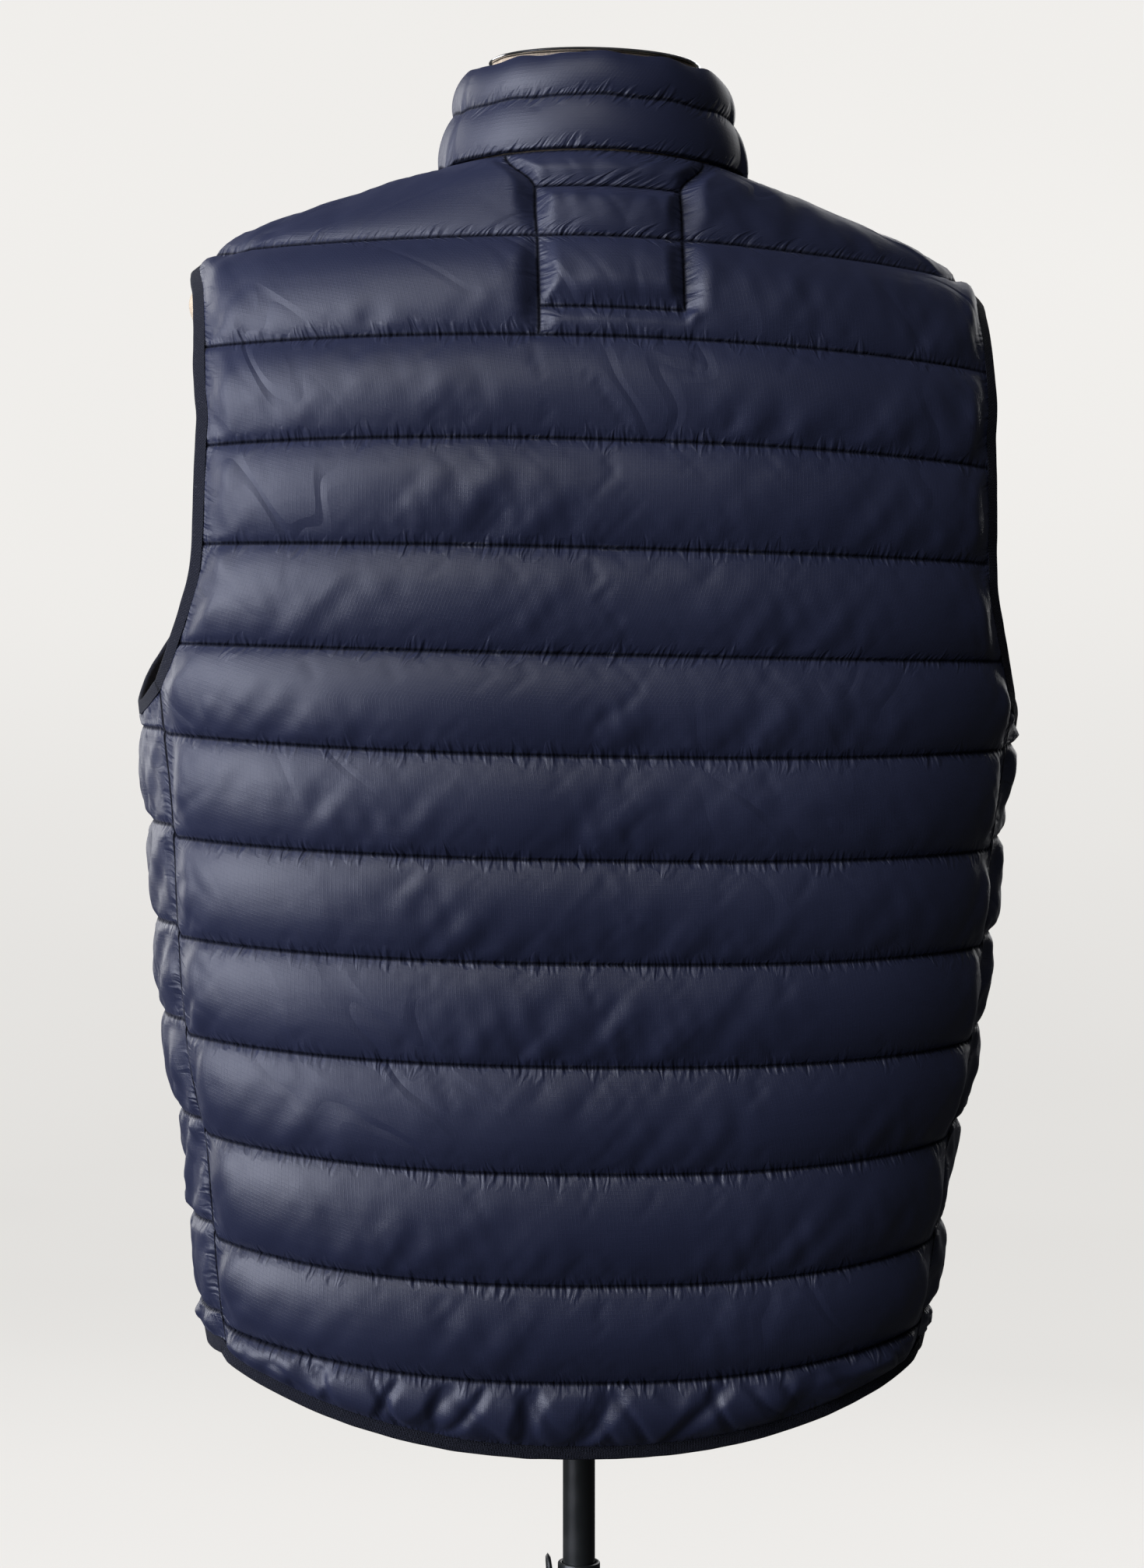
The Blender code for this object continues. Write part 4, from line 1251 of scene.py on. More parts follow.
def beside(lengths: Array, seams: Sequence[Seam], axis: int) -> Array:
    """How far each point of a grid is from its nearest seams, measured along the grid.

    Args:
        lengths: The length along the grid's rows or columns up to each point.
        seams: Seams that cross those lengths.
        axis: 0 where the lengths go up the columns and the seams are rows, else 1.

    Returns:
        For each point the distance to its nearest seam, and that as a share of the distance
        to the next nearest one.
    """
    away = np.full((len(seams) + 2, *lengths.shape), 9.0)
    for index, seam in enumerate(seams):
        if axis == 0:
            part = (index, slice(None), seam.part)
            away[part] = np.abs(lengths - lengths[seam.index])[:, seam.part]
        else:
            part = (index, seam.part)
            away[part] = np.abs(lengths - lengths[:, seam.index : seam.index + 1])[seam.part]
    away.partition(1, axis=0)
    return np.stack([away[0], away[0] / np.maximum(away[1], 1e-6)], axis=-1)


def from_seams(grid: Array, rows: Sequence[Seam], columns: Sequence[Seam]) -> Array:
    """How far each point of a grid is from the nearest of its seams."""
    by_rows = beside(run_length(grid, 0), rows, 0)[..., 0]
    return np.minimum(by_rows, beside(run_length(grid, 1), columns, 1)[..., 0])


def scaled(seams: Sequence[Seam], factor: int) -> list[Seam]:
    """The same seams on a grid with that many times the points.

    Args:
        seams: The seams.
        factor: How many times finer the new grid is.

    Returns:
        The seams on the new grid.
    """
    grown = []
    for index, part in seams:
        start = None if part.start is None else part.start * factor
        stop = None if part.stop is None else (part.stop - 1) * factor + 1
        grown.append(Seam(index * factor, slice(start, stop)))
    return grown


def write_seams(
    mesh: Mesh, grid: Array, rows: Sequence[Seam], columns: Sequence[Seam], points: Array | None = None
) -> None:
    """Stores a grid's thread directions and its distances from the seams along and across it.

    Args:
        mesh: The mesh that was made from the grid.
        grid: The grid's points.
        rows: The seams along its rows.
        columns: The seams along its columns.
        points: The grid index of each of the mesh's points, if they aren't the same.
    """
    run, rise = run_length(grid, 1), run_length(grid, 0)
    flat = 0 * run
    layers = {
        "weave": np.stack([run, rise, flat], axis=-1),
        "stitch_rows": np.concatenate([run[..., None], beside(rise, rows, 0)], axis=-1),
        "stitch_sides": np.concatenate([rise[..., None], beside(run, columns, 1)], axis=-1)
    }
    for name, layer in layers.items():
        values = layer.reshape(-1, 3)
        write_layer(mesh, name, values if points is None else values[points])


# ---- The vest's pattern -------------------------------------------------------------------------


class Row(NamedTuple):
    """A row of a panel: the line under it, the share of the way to the next, and its stitches."""

    line: int
    share: float
    stitched: bool


@dataclass(frozen=True)
class Pattern:
    """The vest's cut, laid on its sections: rows, edges and the height of the filling."""

    surface: SectionSurface = SectionSurface(VEST_SECTIONS)
    pitch: float = 0.0041
    armhole_dip: float = 0.0140
    zip_opening: float = 0.0122
    half_wall: float = 0.0010
    inner_loft: float = 0.0025
    loft_edge: float = 0.020
    loft_arch: float = 2.2
    seam_gap: float = 0.00018
    shoulder_rest: float = 0.030
    crown_half_width: float = 0.05
    crown_passes: int = 30
    crown_from: float = 1.34
    crown_full: float = 1.40
    seam_blend_deg: float = 2.0
    row_samples: int = 241
    edge_passes: int = 12

    def rows(self) -> list[Row]:
        """Every row of a panel, from the hem to the neck seam.

        Returns:
            The rows, from the lowest.
        """
        rows = []
        for index, (low, high) in enumerate(zip(LINES, LINES[1:])):
            count = max(3, round((high.back - low.back) / self.pitch))
            for step in range(count):
                rows.append(Row(index, step / count, step == 0 and low.stitched))
        return rows + [Row(len(LINES) - 2, 1.0, True)]

    def line_height(self, line: Line, degrees: Array) -> Array:
        """A line's height at each angle round the vest.

        Args:
            line: The line.
            degrees: Angles round the vest.

        Returns:
            The heights.
        """
        across = np.sin(np.radians(degrees))
        on_back = line.back_side + (line.back - line.back_side) * across**2
        on_front = line.front_side + (line.front - line.front_side) * across**2
        from_back = np.abs(np.asarray(degrees, float) - 90.0)
        past_seam = (90.0 - SIDE_SEAM_DEG - from_back) / self.seam_blend_deg
        back_share = np.clip(0.5 + past_seam, 0.0, 1.0)
        height = on_front + (on_back - on_front) * back_share
        if line.name == "armhole":
            middle = (SIDE_SEAM_DEG + ARMHOLE_EDGES[0].front_deg) / 2
            reach = SIDE_SEAM_DEG - middle
            sides = np.abs(degrees - middle), np.abs(180 - middle - degrees)
            nearest = np.minimum(*sides) / reach
            height = height - self.armhole_dip * np.clip(1 - nearest**2, 0.0, 1.0)
        return height

    def row_height(self, row: Row, degrees: Array) -> Array:
        """A row's height at each angle.

        Args:
            row: The row.
            degrees: Angles round the vest.

        Returns:
            The heights.
        """
        low = self.line_height(LINES[row.line], degrees)
        high = self.line_height(LINES[row.line + 1], degrees)
        return low + (high - low) * row.share

    def row_run(self, row: Row, start: float, end: float) -> tuple[Array, Array]:
        """Angles between two, and the row's length up to each.

        Args:
            row: The row.
            start: The first angle.
            end: The last angle.

        Returns:
            The angles and the lengths.
        """
        degrees = np.linspace(start, end, self.row_samples)
        points = self.surface.points(degrees, self.row_height(row, degrees))
        return degrees, run_length(points, 0)

    def even_row(self, row: Row, start: float, end: float, shares: Array) -> Array:
        """The angles that divide a row between two angles into shares of its length."""
        degrees, length = self.row_run(row, start, end)
        return np.interp(np.asarray(shares) * length[-1], length, degrees)

    def edge_angle(self, row: Row, edge: str) -> float:
        """Where a row ends at the wearer's left: side seam, armhole or shoulder seam.

        Args:
            row: The row.
            edge: The column of the armhole's table to read.

        Returns:
            The angle in degrees.
        """
        heights, angles = column(ARMHOLE_EDGES, "height"), column(ARMHOLE_EDGES, edge)
        guess = float(angles[0])
        for _ in range(self.edge_passes):
            height = float(self.row_height(row, guess))
            if height <= heights[0]:
                return float(angles[0])
            if height >= heights[-1]:
                return SHOULDER_SEAM_DEG
            guess = 0.5 * guess + 0.5 * float(monotone(heights, angles, height))
        return guess

    def zip_angle(self, row: Row) -> float:
        """Where a row of the left front ends, beside the zip."""
        height = float(self.row_height(row, -90.0))
        return -float(self.surface.angle_at_width(self.zip_opening, height))

    def channel_share(self, degrees: Array, heights: Array) -> Array:
        """How far up its filled channel each point is, from 0 to 1.

        Args:
            degrees: Angles round the vest.
            heights: Heights, as many.

        Returns:
            The shares.
        """
        share = np.zeros_like(heights)
        stitched = [line for line in LINES if line.stitched]
        for low, high in zip(stitched, stitched[1:]):
            bottom, top = self.line_height(low, degrees), self.line_height(high, degrees)
            part = (heights - bottom) / (top - bottom)
            share = np.where((part >= 0) & (part <= 1), part, share)
        return share

    def arch(self, share: Array) -> Array:
        """The height of a filled channel's arch, as a share of its loft."""
        return 1 - np.abs(2 * share - 1) ** self.loft_arch

    def edge_fade(self, grid: Array) -> Array:
        """0 at a panel's two side edges and 1 once inside them."""
        return smoothstep(0.0, self.loft_edge, from_sides(grid))

    def middle(self, degrees: Array, heights: Array) -> Array:
        """The cloth's mid surface, with the ridge down its centre eased out.

        Args:
            degrees: Angles round the vest.
            heights: Heights, as many.

        Returns:
            The surface's points.
        """
        points = self.surface.points(degrees, heights)
        eased = points.copy()
        for _ in range(self.crown_passes):
            inner = eased[:, :-2, 1] + 2 * eased[:, 1:-1, 1] + eased[:, 2:, 1]
            eased[:, 1:-1, 1] = inner / 4
        share = np.exp(-((points[..., 0] / self.crown_half_width) ** 2))
        share *= smoothstep(self.crown_from, self.crown_full, points[..., 2])
        points[..., 1] += (eased[..., 1] - points[..., 1]) * share
        return points

    def trimmed(self, grid: Array) -> Array:
        """The grid with its side edges moved in, to leave a gap along each seam.

        Args:
            grid: The panel's points.

        Returns:
            The trimmed copy.
        """
        grid = grid.copy()
        for edge, inside in ((0, 1), (-1, -2)):
            grid[:, edge] += unit(grid[:, inside] - grid[:, edge]) * self.seam_gap
        return grid


# ---- Blowing out the filled cloth ----------------------------------------------------------------


@dataclass(frozen=True)
class Blower:
    """Puffs every filled sheet at once: pinned at its stitching, pressed out from inside."""

    frames: int = 20
    quality: int = 4
    pressure: float = 5.0
    least_slack: float = 0.001
    most_slack: float = 0.110
    bending: float = 1.0
    stretch: float = 15.0
    shear: float = 5.0
    damping: float = 5.0
    bending_damping: float = 0.5
    mass: float = 0.1
    furthest: float = 0.014
    lowest: float = -0.0002

    def sheet(self, quilt: Quilt) -> Thing:
        """A quilt's outer sheet as an object with its cloth settings.

        Args:
            quilt: The quilt.

        Returns:
            The sheet, ready for its first frame.
        """
        rows, columns = quilt.start.shape[:2]
        faces = np.array(grid_faces(rows, columns))[quilt.kept.reshape(-1)]
        mesh = bpy.data.meshes.new(quilt.name + "_sheet")
        mesh.from_pydata(quilt.start.reshape(-1, 3).tolist(), [], faces.tolist())
        sheet = placed(mesh.name, mesh)
        pins = sheet.vertex_groups.new(name="pins")
        pins.add(np.flatnonzero(quilt.pinned.reshape(-1)).tolist(), 1.0, "REPLACE")
        slack = sheet.vertex_groups.new(name="slack")
        fill = sheet.vertex_groups.new(name="fill")
        for group, weights in ((slack, quilt.slack), (fill, quilt.fill)):
            for index, weight in enumerate(weights.reshape(-1).tolist()):
                group.add([index], weight, "REPLACE")
        self.set_cloth(sheet)
        return sheet

    def set_cloth(self, sheet: Thing) -> None:
        """Adds the cloth modifier and its settings.

        Args:
            sheet: The sheet, with its pins, slack and fill groups.
        """
        cloth = sheet.modifiers.new("Cloth", "CLOTH")
        settings = cloth.settings
        held = {
            "quality": self.quality, "mass": self.mass, "tension_stiffness": self.stretch,
            "compression_stiffness": self.stretch, "shear_stiffness": self.shear,
            "bending_stiffness": self.bending, "tension_damping": self.damping,
            "compression_damping": self.damping, "shear_damping": self.damping,
            "bending_damping": self.bending_damping, "vertex_group_mass": "pins", "pin_stiffness": 1.0,
            "use_pressure": True, "uniform_pressure_force": self.pressure,
            "vertex_group_pressure": "fill", "vertex_group_shrink": "slack",
            "shrink_min": -self.least_slack, "shrink_max": -self.most_slack
        }
        for name, value in held.items():
            setattr(settings, name, value)
        settings.effector_weights.gravity = 0.0
        cloth.collision_settings.use_collision = False
        cloth.collision_settings.use_self_collision = False
        cloth.point_cache.frame_start = 1
        cloth.point_cache.frame_end = self.frames

    def run(self, quilts: Sequence[Quilt]) -> None:
        """Blows out the quilts and stores each one's settled points.

        Args:
            quilts: The quilts, all blown out at once.
        """
        sheets = [self.sheet(quilt) for quilt in quilts]
        scene = bpy.context.scene
        scene.frame_start, scene.frame_end = 1, self.frames
        for frame in range(1, self.frames + 1):
            scene.frame_set(frame)
        graph = bpy.context.evaluated_depsgraph_get()
        for quilt, sheet in zip(quilts, sheets):
            settled = bpy.data.meshes.new_from_object(sheet.evaluated_get(graph))
            points = np.empty(len(settled.vertices) * 3, "f")
            settled.vertices.foreach_get("co", points)
            quilt.outer = self.held(quilt, points.reshape(quilt.start.shape).astype(float))
            bpy.data.meshes.remove(settled)
        for sheet in sheets:
            bpy.data.meshes.remove(sheet.data)
        scene.frame_set(1)

    def held(self, quilt: Quilt, points: Array) -> Array:
        """The settled points, kept from moving too far or sinking into the cloth behind.

        Args:
            quilt: The quilt.
            points: Its settled points.

        Returns:
            The points, where they may be.
        """
        moved = points - quilt.start
        length = np.linalg.norm(moved, axis=-1, keepdims=True)
        moved *= np.minimum(1.0, self.furthest / np.maximum(length, 1e-9))
        moved[~quilt.used] = 0.0
        points = quilt.start + moved
        out = ((points - quilt.middle) * quilt.normals).sum(axis=-1, keepdims=True)
        return points + quilt.normals * np.maximum(0.0, self.lowest - out)


FOLDS = (
    Fold(34.0, 0.013, 3.6, 1.0, 0.75, False), Fold(-22.0, 0.010, 2.8, 2.0, 0.40, False),
    Fold(38.0, 0.030, 2.4, 3.0, 0.60, True), Fold(-34.0, 0.022, 2.4, 4.0, 0.45, True)
)


@dataclass
class Quilt:
    """One filled panel as a grid: its mid surface, seams, slack and settled outer face.

    The seams along its rows are sewn through and crease it. So do those along its columns,
    at which its filling ends.
    """

    name: str
    middle: Array
    normals: Array
    start: Array
    inner: Array
    slack: Array
    fill: Array
    crumple: Array
    kept: Array
    seam_rows: list[Seam]
    seam_columns: list[Seam]
    crease_rows: list[int]
    crease_columns: list[int]
    lining_rows: list[int] = field(default_factory=list)
    lining_columns: list[int] = field(default_factory=list)
    lowest_fold: float = -0.0009
    sink_share: float = 0.4
    least_lift: float = 0.0015
    fold_rise: float = 0.007
    outer: Array | None = None

    @property
    def used(self) -> Array:
        """Which points belong to a face."""
        return touched(self.kept)

    @property
    def pinned(self) -> Array:
        """Which points are held: those on seams, and those that no face uses.

        Returns:
            True where a point is held.
        """
        pinned = ~self.used
        for row, part in self.seam_rows:
            pinned[row, part] = True
        for col, part in self.seam_columns:
            pinned[part, col] = True
        return pinned

    def mirrored(self, name: str) -> Quilt:
        """The same panel for the other side of the vest.

        Args:
            name: The new panel's name.

        Returns:
            The panel.
        """
        flip, last = np.array([-1.0, 1.0, 1.0]), self.middle.shape[1] - 1
        grids = {part: getattr(self, part)[:, ::-1] * flip for part in
                 ("middle", "normals", "start", "inner")}
        grids |= {part: getattr(self, part)[:, ::-1] for part in ("slack", "fill", "crumple", "kept")}
        rows = [Seam(row, turned_part(part, last)) for row, part in self.seam_rows]
        return Quilt(
            name=name, **grids, seam_rows=rows,
            seam_columns=[Seam(last - col, part) for col, part in self.seam_columns],
            crease_rows=self.crease_rows,
            crease_columns=sorted(last - col for col in self.crease_columns),
            lining_rows=self.lining_rows, lining_columns=sorted(last - col for col in self.lining_columns)
        )

    def finer(self, grid: Array) -> Array:
        """A grid of the panel's with twice the points each way."""
        return refined(refined(grid, 0, self.crease_rows), 1, self.crease_columns)

    def crumpled(self, outer: Array, middle: Array) -> Array:
        """The finer outer face with slanting folds wherever the cloth is crumpled.

        Args:
            outer: The outer face's points.
            middle: The mid surface's points.

        Returns:
            The outer face's points with the folds.
        """
        away = from_seams(middle, scaled(self.seam_rows, 2), scaled(self.seam_columns, 2))
        run = run_length(middle, 1)
        run -= run[:, [run.shape[1] // 2]]
        soft, sharp = np.moveaxis(self.finer(self.crumple), -1, 0)
        height = np.zeros(away.shape)
        for fold in FOLDS:
            height += (sharp if fold.sharp else soft) * fold.height(run, middle[..., 2])
        lift = ((outer - middle) * self.finer(self.normals)).sum(axis=-1)
        lowest = self.lowest_fold - self.sink_share * np.maximum(0.0, lift - self.least_lift)
        height = np.maximum(height * smoothstep(0.0, self.fold_rise, away), lowest)
        return outer + self.finer(self.normals) * height[..., None]

    def mesh(self) -> Mesh:
        """The finished panel, one step finer than it was blown out, closed by its lining.

        Returns:
            The mesh.
        """
        outer = self.finer(self.start if self.outer is None else self.outer)
        inner, middle = self.finer(self.inner), self.finer(self.middle)
        outer = self.crumpled(outer, middle)
        kept = np.repeat(np.repeat(self.kept, 2, axis=0), 2, axis=1)
        rows = [2 * row for row in self.lining_rows]
        columns = [2 * col for col in self.lining_columns]
        faces, rim, lining, inside = shell_faces(kept, rows, columns)
        mesh = shell_mesh(self.name, outer, inner, (faces, rim, lining), inside)
        points = np.concatenate([np.flatnonzero(touched(kept).reshape(-1)), inside])
        seams = scaled(self.seam_rows, 2), scaled(self.seam_columns, 2)
        write_seams(mesh, middle, *seams, points)
        return mesh


def turned_part(part: slice, last: int) -> slice:
    """A range of columns as it is after they are put in the opposite order.

    Args:
        part: The range.
        last: The last column's index.

    Returns:
        The range from the other end.
    """
    start = None if part.stop is None else last - part.stop + 1
    stop = None if part.start is None else last - part.start + 1
    return slice(start, stop)


def touched(kept: Array) -> Array:
    """The points at the corners of a grid's kept cells.

    Args:
        kept: Which cells are kept.

    Returns:
        True at the corners of those.
    """
    used = np.zeros(np.array(kept.shape) + 1, bool)
    for rows in (slice(0, -1), slice(1, None)):
        for columns in (slice(0, -1), slice(1, None)):
            used[rows, columns] |= kept
    return used


def shell_faces(kept: Array, rows: list[int], columns: list[int]) -> tuple[list, list, list, list]:
    """The faces of a closed panel: fine outside, coarse inside, with a rim between.

    Args:
        kept: Which cells of the outer grid are cloth.
        rows: The grid rows that the lining has points on.
        columns: The grid columns that the lining has points on.

    Returns:
        The outer faces, the rim's faces and the lining's, and the grid index of each of the
        lining's points. In the rim and the lining, index -1 - n is the lining's point at
        grid index n.
    """
    wide = kept.shape[1] + 1
    outer = [(int(r * wide + c), int(r * wide + c + 1), int((r + 1) * wide + c + 1),
              int((r + 1) * wide + c)) for r, c in zip(*np.nonzero(kept))]
    lining, edges = [], {}
    for low, high in zip(rows, rows[1:]):
        for left, right in zip(columns, columns[1:]):
            if not kept[low, left]:
                continue
            corners = ((low, left), (low, right), (high, right), (high, left))
            lining.append(tuple(-1 - (r * wide + c) for r, c in reversed(corners)))
            for start, end in zip(corners, corners[1:] + corners[:1]):
                if (end, start) in edges:
                    del edges[(end, start)]
                else:
                    edges[(start, end)] = True
    rim = []
    for start, end in edges:
        count = max(abs(end[0] - start[0]), abs(end[1] - start[1]))
        steps = [(end[0] + (start[0] - end[0]) * i // count,
                  end[1] + (start[1] - end[1]) * i // count) for i in range(count + 1)]
        face = [r * wide + c for r, c in steps]
        face += [-1 - (start[0] * wide + start[1]), -1 - (end[0] * wide + end[1])]
        rim.append(tuple(face))
    inside = sorted({-1 - corner for face in lining for corner in face})
    return outer, rim, lining, inside


def shell_mesh(
    name: str, outer: Array, inner: Array, faces: tuple[list, list, list], inside: list[int]
) -> Mesh:
    """A closed panel's mesh, whose lining has the second material.

    Args:
        name: The mesh's name.
        outer: The outer grid.
        inner: The inner grid.
        faces: The outer, rim and lining faces.
        inside: The grid index of each of the lining's points.

    Returns:
        The mesh.
    """
    shell, rim, lining = faces
    used = sorted({corner for face in shell for corner in face})
    index = {old: new for new, old in enumerate(used)}
    index |= {-1 - old: len(used) + new for new, old in enumerate(inside)}
    points = np.concatenate([outer.reshape(-1, 3)[used], inner.reshape(-1, 3)[inside]])
    every = [tuple(index[corner] for corner in face) for face in shell + rim + lining]
    mesh = mesh_from(name, points, every, sharp_deg=70.0)
    material = np.zeros(len(every), np.int32)
    material[len(shell) + len(rim) :] = 1
    mesh.polygons.foreach_set("material_index", material)
    return mesh


@dataclass(frozen=True)
class QuiltMaker:
    """Turns a panel's angles and heights into a quilt that is ready to be blown out."""

    pattern: Pattern
    arch_height: float = 0.0076
    slack_size: float = 0.11
    patch_slack: float = 0.10
    edge_slack: float = 0.30
    edge_reach: float = 0.035
    gather_size: float = 0.05
    hem_slack: float = 0.75
    stitch_depth: float = 0.0011
    soft_crumple: float = 0.0014
    edge_crumple: float = 0.0014
    hem_crumple: float = 0.0044
    edge_folds_reach: float = 0.056
    folds_size: float = 0.07
    folds_seed: float = 21.0
    low_folds: tuple[float, float] = (0.25, 0.95)
    high_folds_share: float = 0.2
    fullness: float = 0.80
    fill_unevenness: float = 0.25
    fill_seed: float = 11.0
    hem_fill: float = 0.75
    lining_step: int = 4

    def lofted(self, degrees: Array, heights: Array) -> tuple[Array, Array, Array, Array]:
        """The mid surface, its normals, the filling's arch and the inner face.

        Args:
            degrees: Angles round the vest.
            heights: Heights, as many.

        Returns:
            The four grids.
        """
        pattern = self.pattern
        middle = pattern.middle(degrees, heights)
        normals = pattern.surface.normals(middle)
        middle = pattern.trimmed(middle)
        loft = pattern.arch(pattern.channel_share(degrees, heights)) * pattern.edge_fade(middle)
        below = ARMHOLE_EDGES[-1].height - pattern.shoulder_rest - heights
        worn = np.clip(below / pattern.shoulder_rest, 0.0, 1.0)
        depth = pattern.half_wall + pattern.inner_loft * loft * worn
        return middle, normals, loft, middle - normals * depth[..., None]

    def slack(self, middle: Array, hem: Array, seed: float) -> Array:
        """How slack the cloth is at each point: in patches, at its edges and at the hem.

        Args:
            middle: The mid surface's points.
            hem: 1 at points in the hem's channel, else 0.
            seed: A number that moves the patches.

        Returns:
            The slack, from 0 to 1.
        """
        patches = np.clip(0.5 + ripple(middle, self.slack_size, seed), 0.0, 1.0)
        patches *= self.patch_slack
        edges = self.edge_slack * (1 - smoothstep(0.0, self.edge_reach, from_sides(middle)))
        gathered = self.hem_slack * hem * (0.75 + 0.5 * ripple(middle, self.gather_size, seed + 4.0))
        return np.clip(patches + edges + gathered, 0.0, 1.0)

    def sunk(self, start: Array, normals: Array, seams: Sequence[Seam], axis: int) -> None:
        """Pulls the outer face in along seams, as tight stitching does.

        Args:
            start: The outer face's points, which are moved.
            normals: Directions out of the cloth.
            seams: The seams.
            axis: 0 where the seams are rows, else 1.
        """
        for index, part in seams:
            place = (index, part) if axis == 0 else (part, index)
            start[place] -= normals[place] * self.stitch_depth

    def crumple(self, middle: Array, hem: Array, share: Array) -> Array:
        """How high the cloth's folds are: soft ones low in each channel, sharp ones at edges.

        Args:
            middle: The mid surface's points.
            hem: 1 at points in the hem's channel, 0 at the others.
            share: How far up its channel each point is.

        Returns:
            The soft and the sharp folds' height at each point.
        """
        edges = 1 - smoothstep(0.0, self.edge_folds_reach, from_sides(middle))
        patches = smoothstep(-0.35, 0.45, ripple(middle, self.folds_size, self.folds_seed))
        low = 1 - (1 - self.high_folds_share) * smoothstep(*self.low_folds, share)
        soft = self.soft_crumple * np.maximum(patches * low, edges)
        sharp = self.edge_crumple * edges + self.hem_crumple * (hem + 0 * share)
        return np.stack([soft, sharp], axis=-1)

    def fill(self, middle: Array, hem: Array) -> Array:
        """How full the cloth is filled at each point, from 0 to 1."""
        uneven = 1 + self.fill_unevenness * ripple(middle, self.slack_size, self.fill_seed)
        return np.clip(self.fullness * uneven * (1 - (1 - self.hem_fill) * hem), 0.0, 1.0)

    def coarse(self, count: int, marks: Sequence[int]) -> list[int]:
        """The lining's rows or columns: every few, and the marked ones."""
        return sorted({*range(0, count, self.lining_step), count - 1, *marks})


@dataclass
class NeckBox:
    """The stitched box under the collar at the centre back."""

    half_width: float = 0.0405
    half_width_at_neck: float = 0.0560
    low: float = 1.3990
    high: float = 1.4675
    column: int = 47
    blend_from: float = 1.330
    blend_to: float = 1.388
    fold_depth: float = 0.0012
    rise: float = 0.012
    crumple: float = 0.0012
    crumple_reach: float = 0.045
    crumple_heights: tuple[float, float] = (1.36, 1.42)

    def shares(self, pattern: Pattern, row: Row, start: float, count: int) -> Array:
        """The shares of a row at which the columns lie, so that two follow the box's sides.

        Args:
            pattern: The vest's pattern.
            row: The row.
            start: The angle at which the row starts.
            count: The number of columns.

        Returns:
            The shares, one more than the columns.
        """
        height = float(pattern.row_height(row, 90.0))
        wide = self.half_width + (self.half_width_at_neck - self.half_width) * float(
            smoothstep(self.high, LINES[-1].back, height)
        )
        degrees, length = pattern.row_run(row, start, 180 - start)
        angle = float(pattern.surface.angle_at_width(wide, np.array(height)))
        exact = float(np.interp(angle, degrees, length)) / length[-1]
        even = self.column / count
        share = even + (exact - even) * float(smoothstep(self.blend_from, self.blend_to, height))
        marks = [0, self.column, count - self.column, count]
        return np.interp(np.arange(count + 1), marks, [0.0, share, 1 - share, 1.0])


@dataclass
class BackPanel:
    """The back: one wide quilted panel from hem to neck, with the stitched box at its top."""

    pattern: Pattern
    maker: QuiltMaker
    box: NeckBox = field(default_factory=NeckBox)
    columns: int = 128
    seed: float = 1.0

    def quilt(self) -> Quilt:
        """The back, ready to be blown out.

        Returns:
            The quilt.
        """
        pattern, rows = self.pattern, self.pattern.rows()
        degrees = []
        for row in rows:
            start = pattern.edge_angle(row, "back_deg")
            shares = self.box.shares(pattern, row, start, self.columns)
            degrees.append(pattern.even_row(row, start, 180 - start, shares))
        degrees = np.array(degrees)
        heights = np.array([pattern.row_height(row, d) for row, d in zip(rows, degrees)])
        middle, normals, loft, inner = self.maker.lofted(degrees, heights)
        box_rows, box_columns = self.box_seams(heights[:, self.columns // 2])
        away = from_seams(middle, box_rows, box_columns)
        loft = loft * smoothstep(0.0, self.box.rise, away)
        start = middle + normals * (pattern.half_wall + self.maker.arch_height * loft)[..., None]
        self.sink_folds(start, normals, heights)
        hem = np.array([row.line == 0 for row in rows], float)[:, None]
        stitched = [index for index, row in enumerate(rows) if row.stitched]
        self.maker.sunk(start, normals, [Seam(row) for row in stitched[1:]], 0)
        self.maker.sunk(start, normals, box_rows, 0)
        self.maker.sunk(start, normals, box_columns, 1)
        near_box = 1 - smoothstep(0.0, self.box.crumple_reach, away)
        crumple = self.maker.crumple(middle, hem, pattern.channel_share(degrees, heights))
        crumple[..., 1] += self.box.crumple * near_box * smoothstep(*self.box.crumple_heights, heights)
        return Quilt(
            name="back_panel_quilted", middle=middle, normals=normals, start=start, inner=inner,
            slack=self.maker.slack(middle, hem, self.seed), fill=self.maker.fill(middle, hem),
            crumple=crumple, kept=np.ones(np.array(middle.shape[:2]) - 1, bool),
            seam_rows=[Seam(row) for row in stitched] + box_rows,
            seam_columns=[Seam(0), Seam(self.columns)] + box_columns,
            crease_rows=sorted({*stitched, *(seam.index for seam in box_rows)}),
            crease_columns=[seam.index for seam in box_columns],
            lining_rows=self.maker.coarse(len(rows), []),
            lining_columns=self.maker.coarse(self.columns + 1, [])
        )

    def box_seams(self, heights: Array) -> tuple[list[Seam], list[Seam]]:
        """The box's stitching along rows, and along columns.

        Args:
            heights: The rows' heights at the middle of the back.

        Returns:
            The seams along rows and those along columns.
        """
        left, right = self.box.column, self.columns - self.box.column
        wanted = (self.box.low, self.box.high, LINES[-3].back)
        low, high, under = (int(np.argmin(np.abs(heights - height))) for height in wanted)
        across = slice(left, right + 1)
        rows = [Seam(low, across), Seam(high, across)]
        top = len(heights)
        return rows, [Seam(left, slice(under, top)), Seam(right, slice(low, top))]

    def sink_folds(self, start: Array, normals: Array, heights: Array) -> None:
        """Pulls the box's two slanted folds below the cloth beside them.

        Args:
            start: The outer face's points, which are moved.
            normals: Directions out of the cloth.
            heights: The points' heights.
        """
        top = heights[:, self.columns // 2] > self.box.high
        for side in (self.box.column, self.columns - self.box.column):
            start[top, side] -= normals[top, side] * self.box.fold_depth


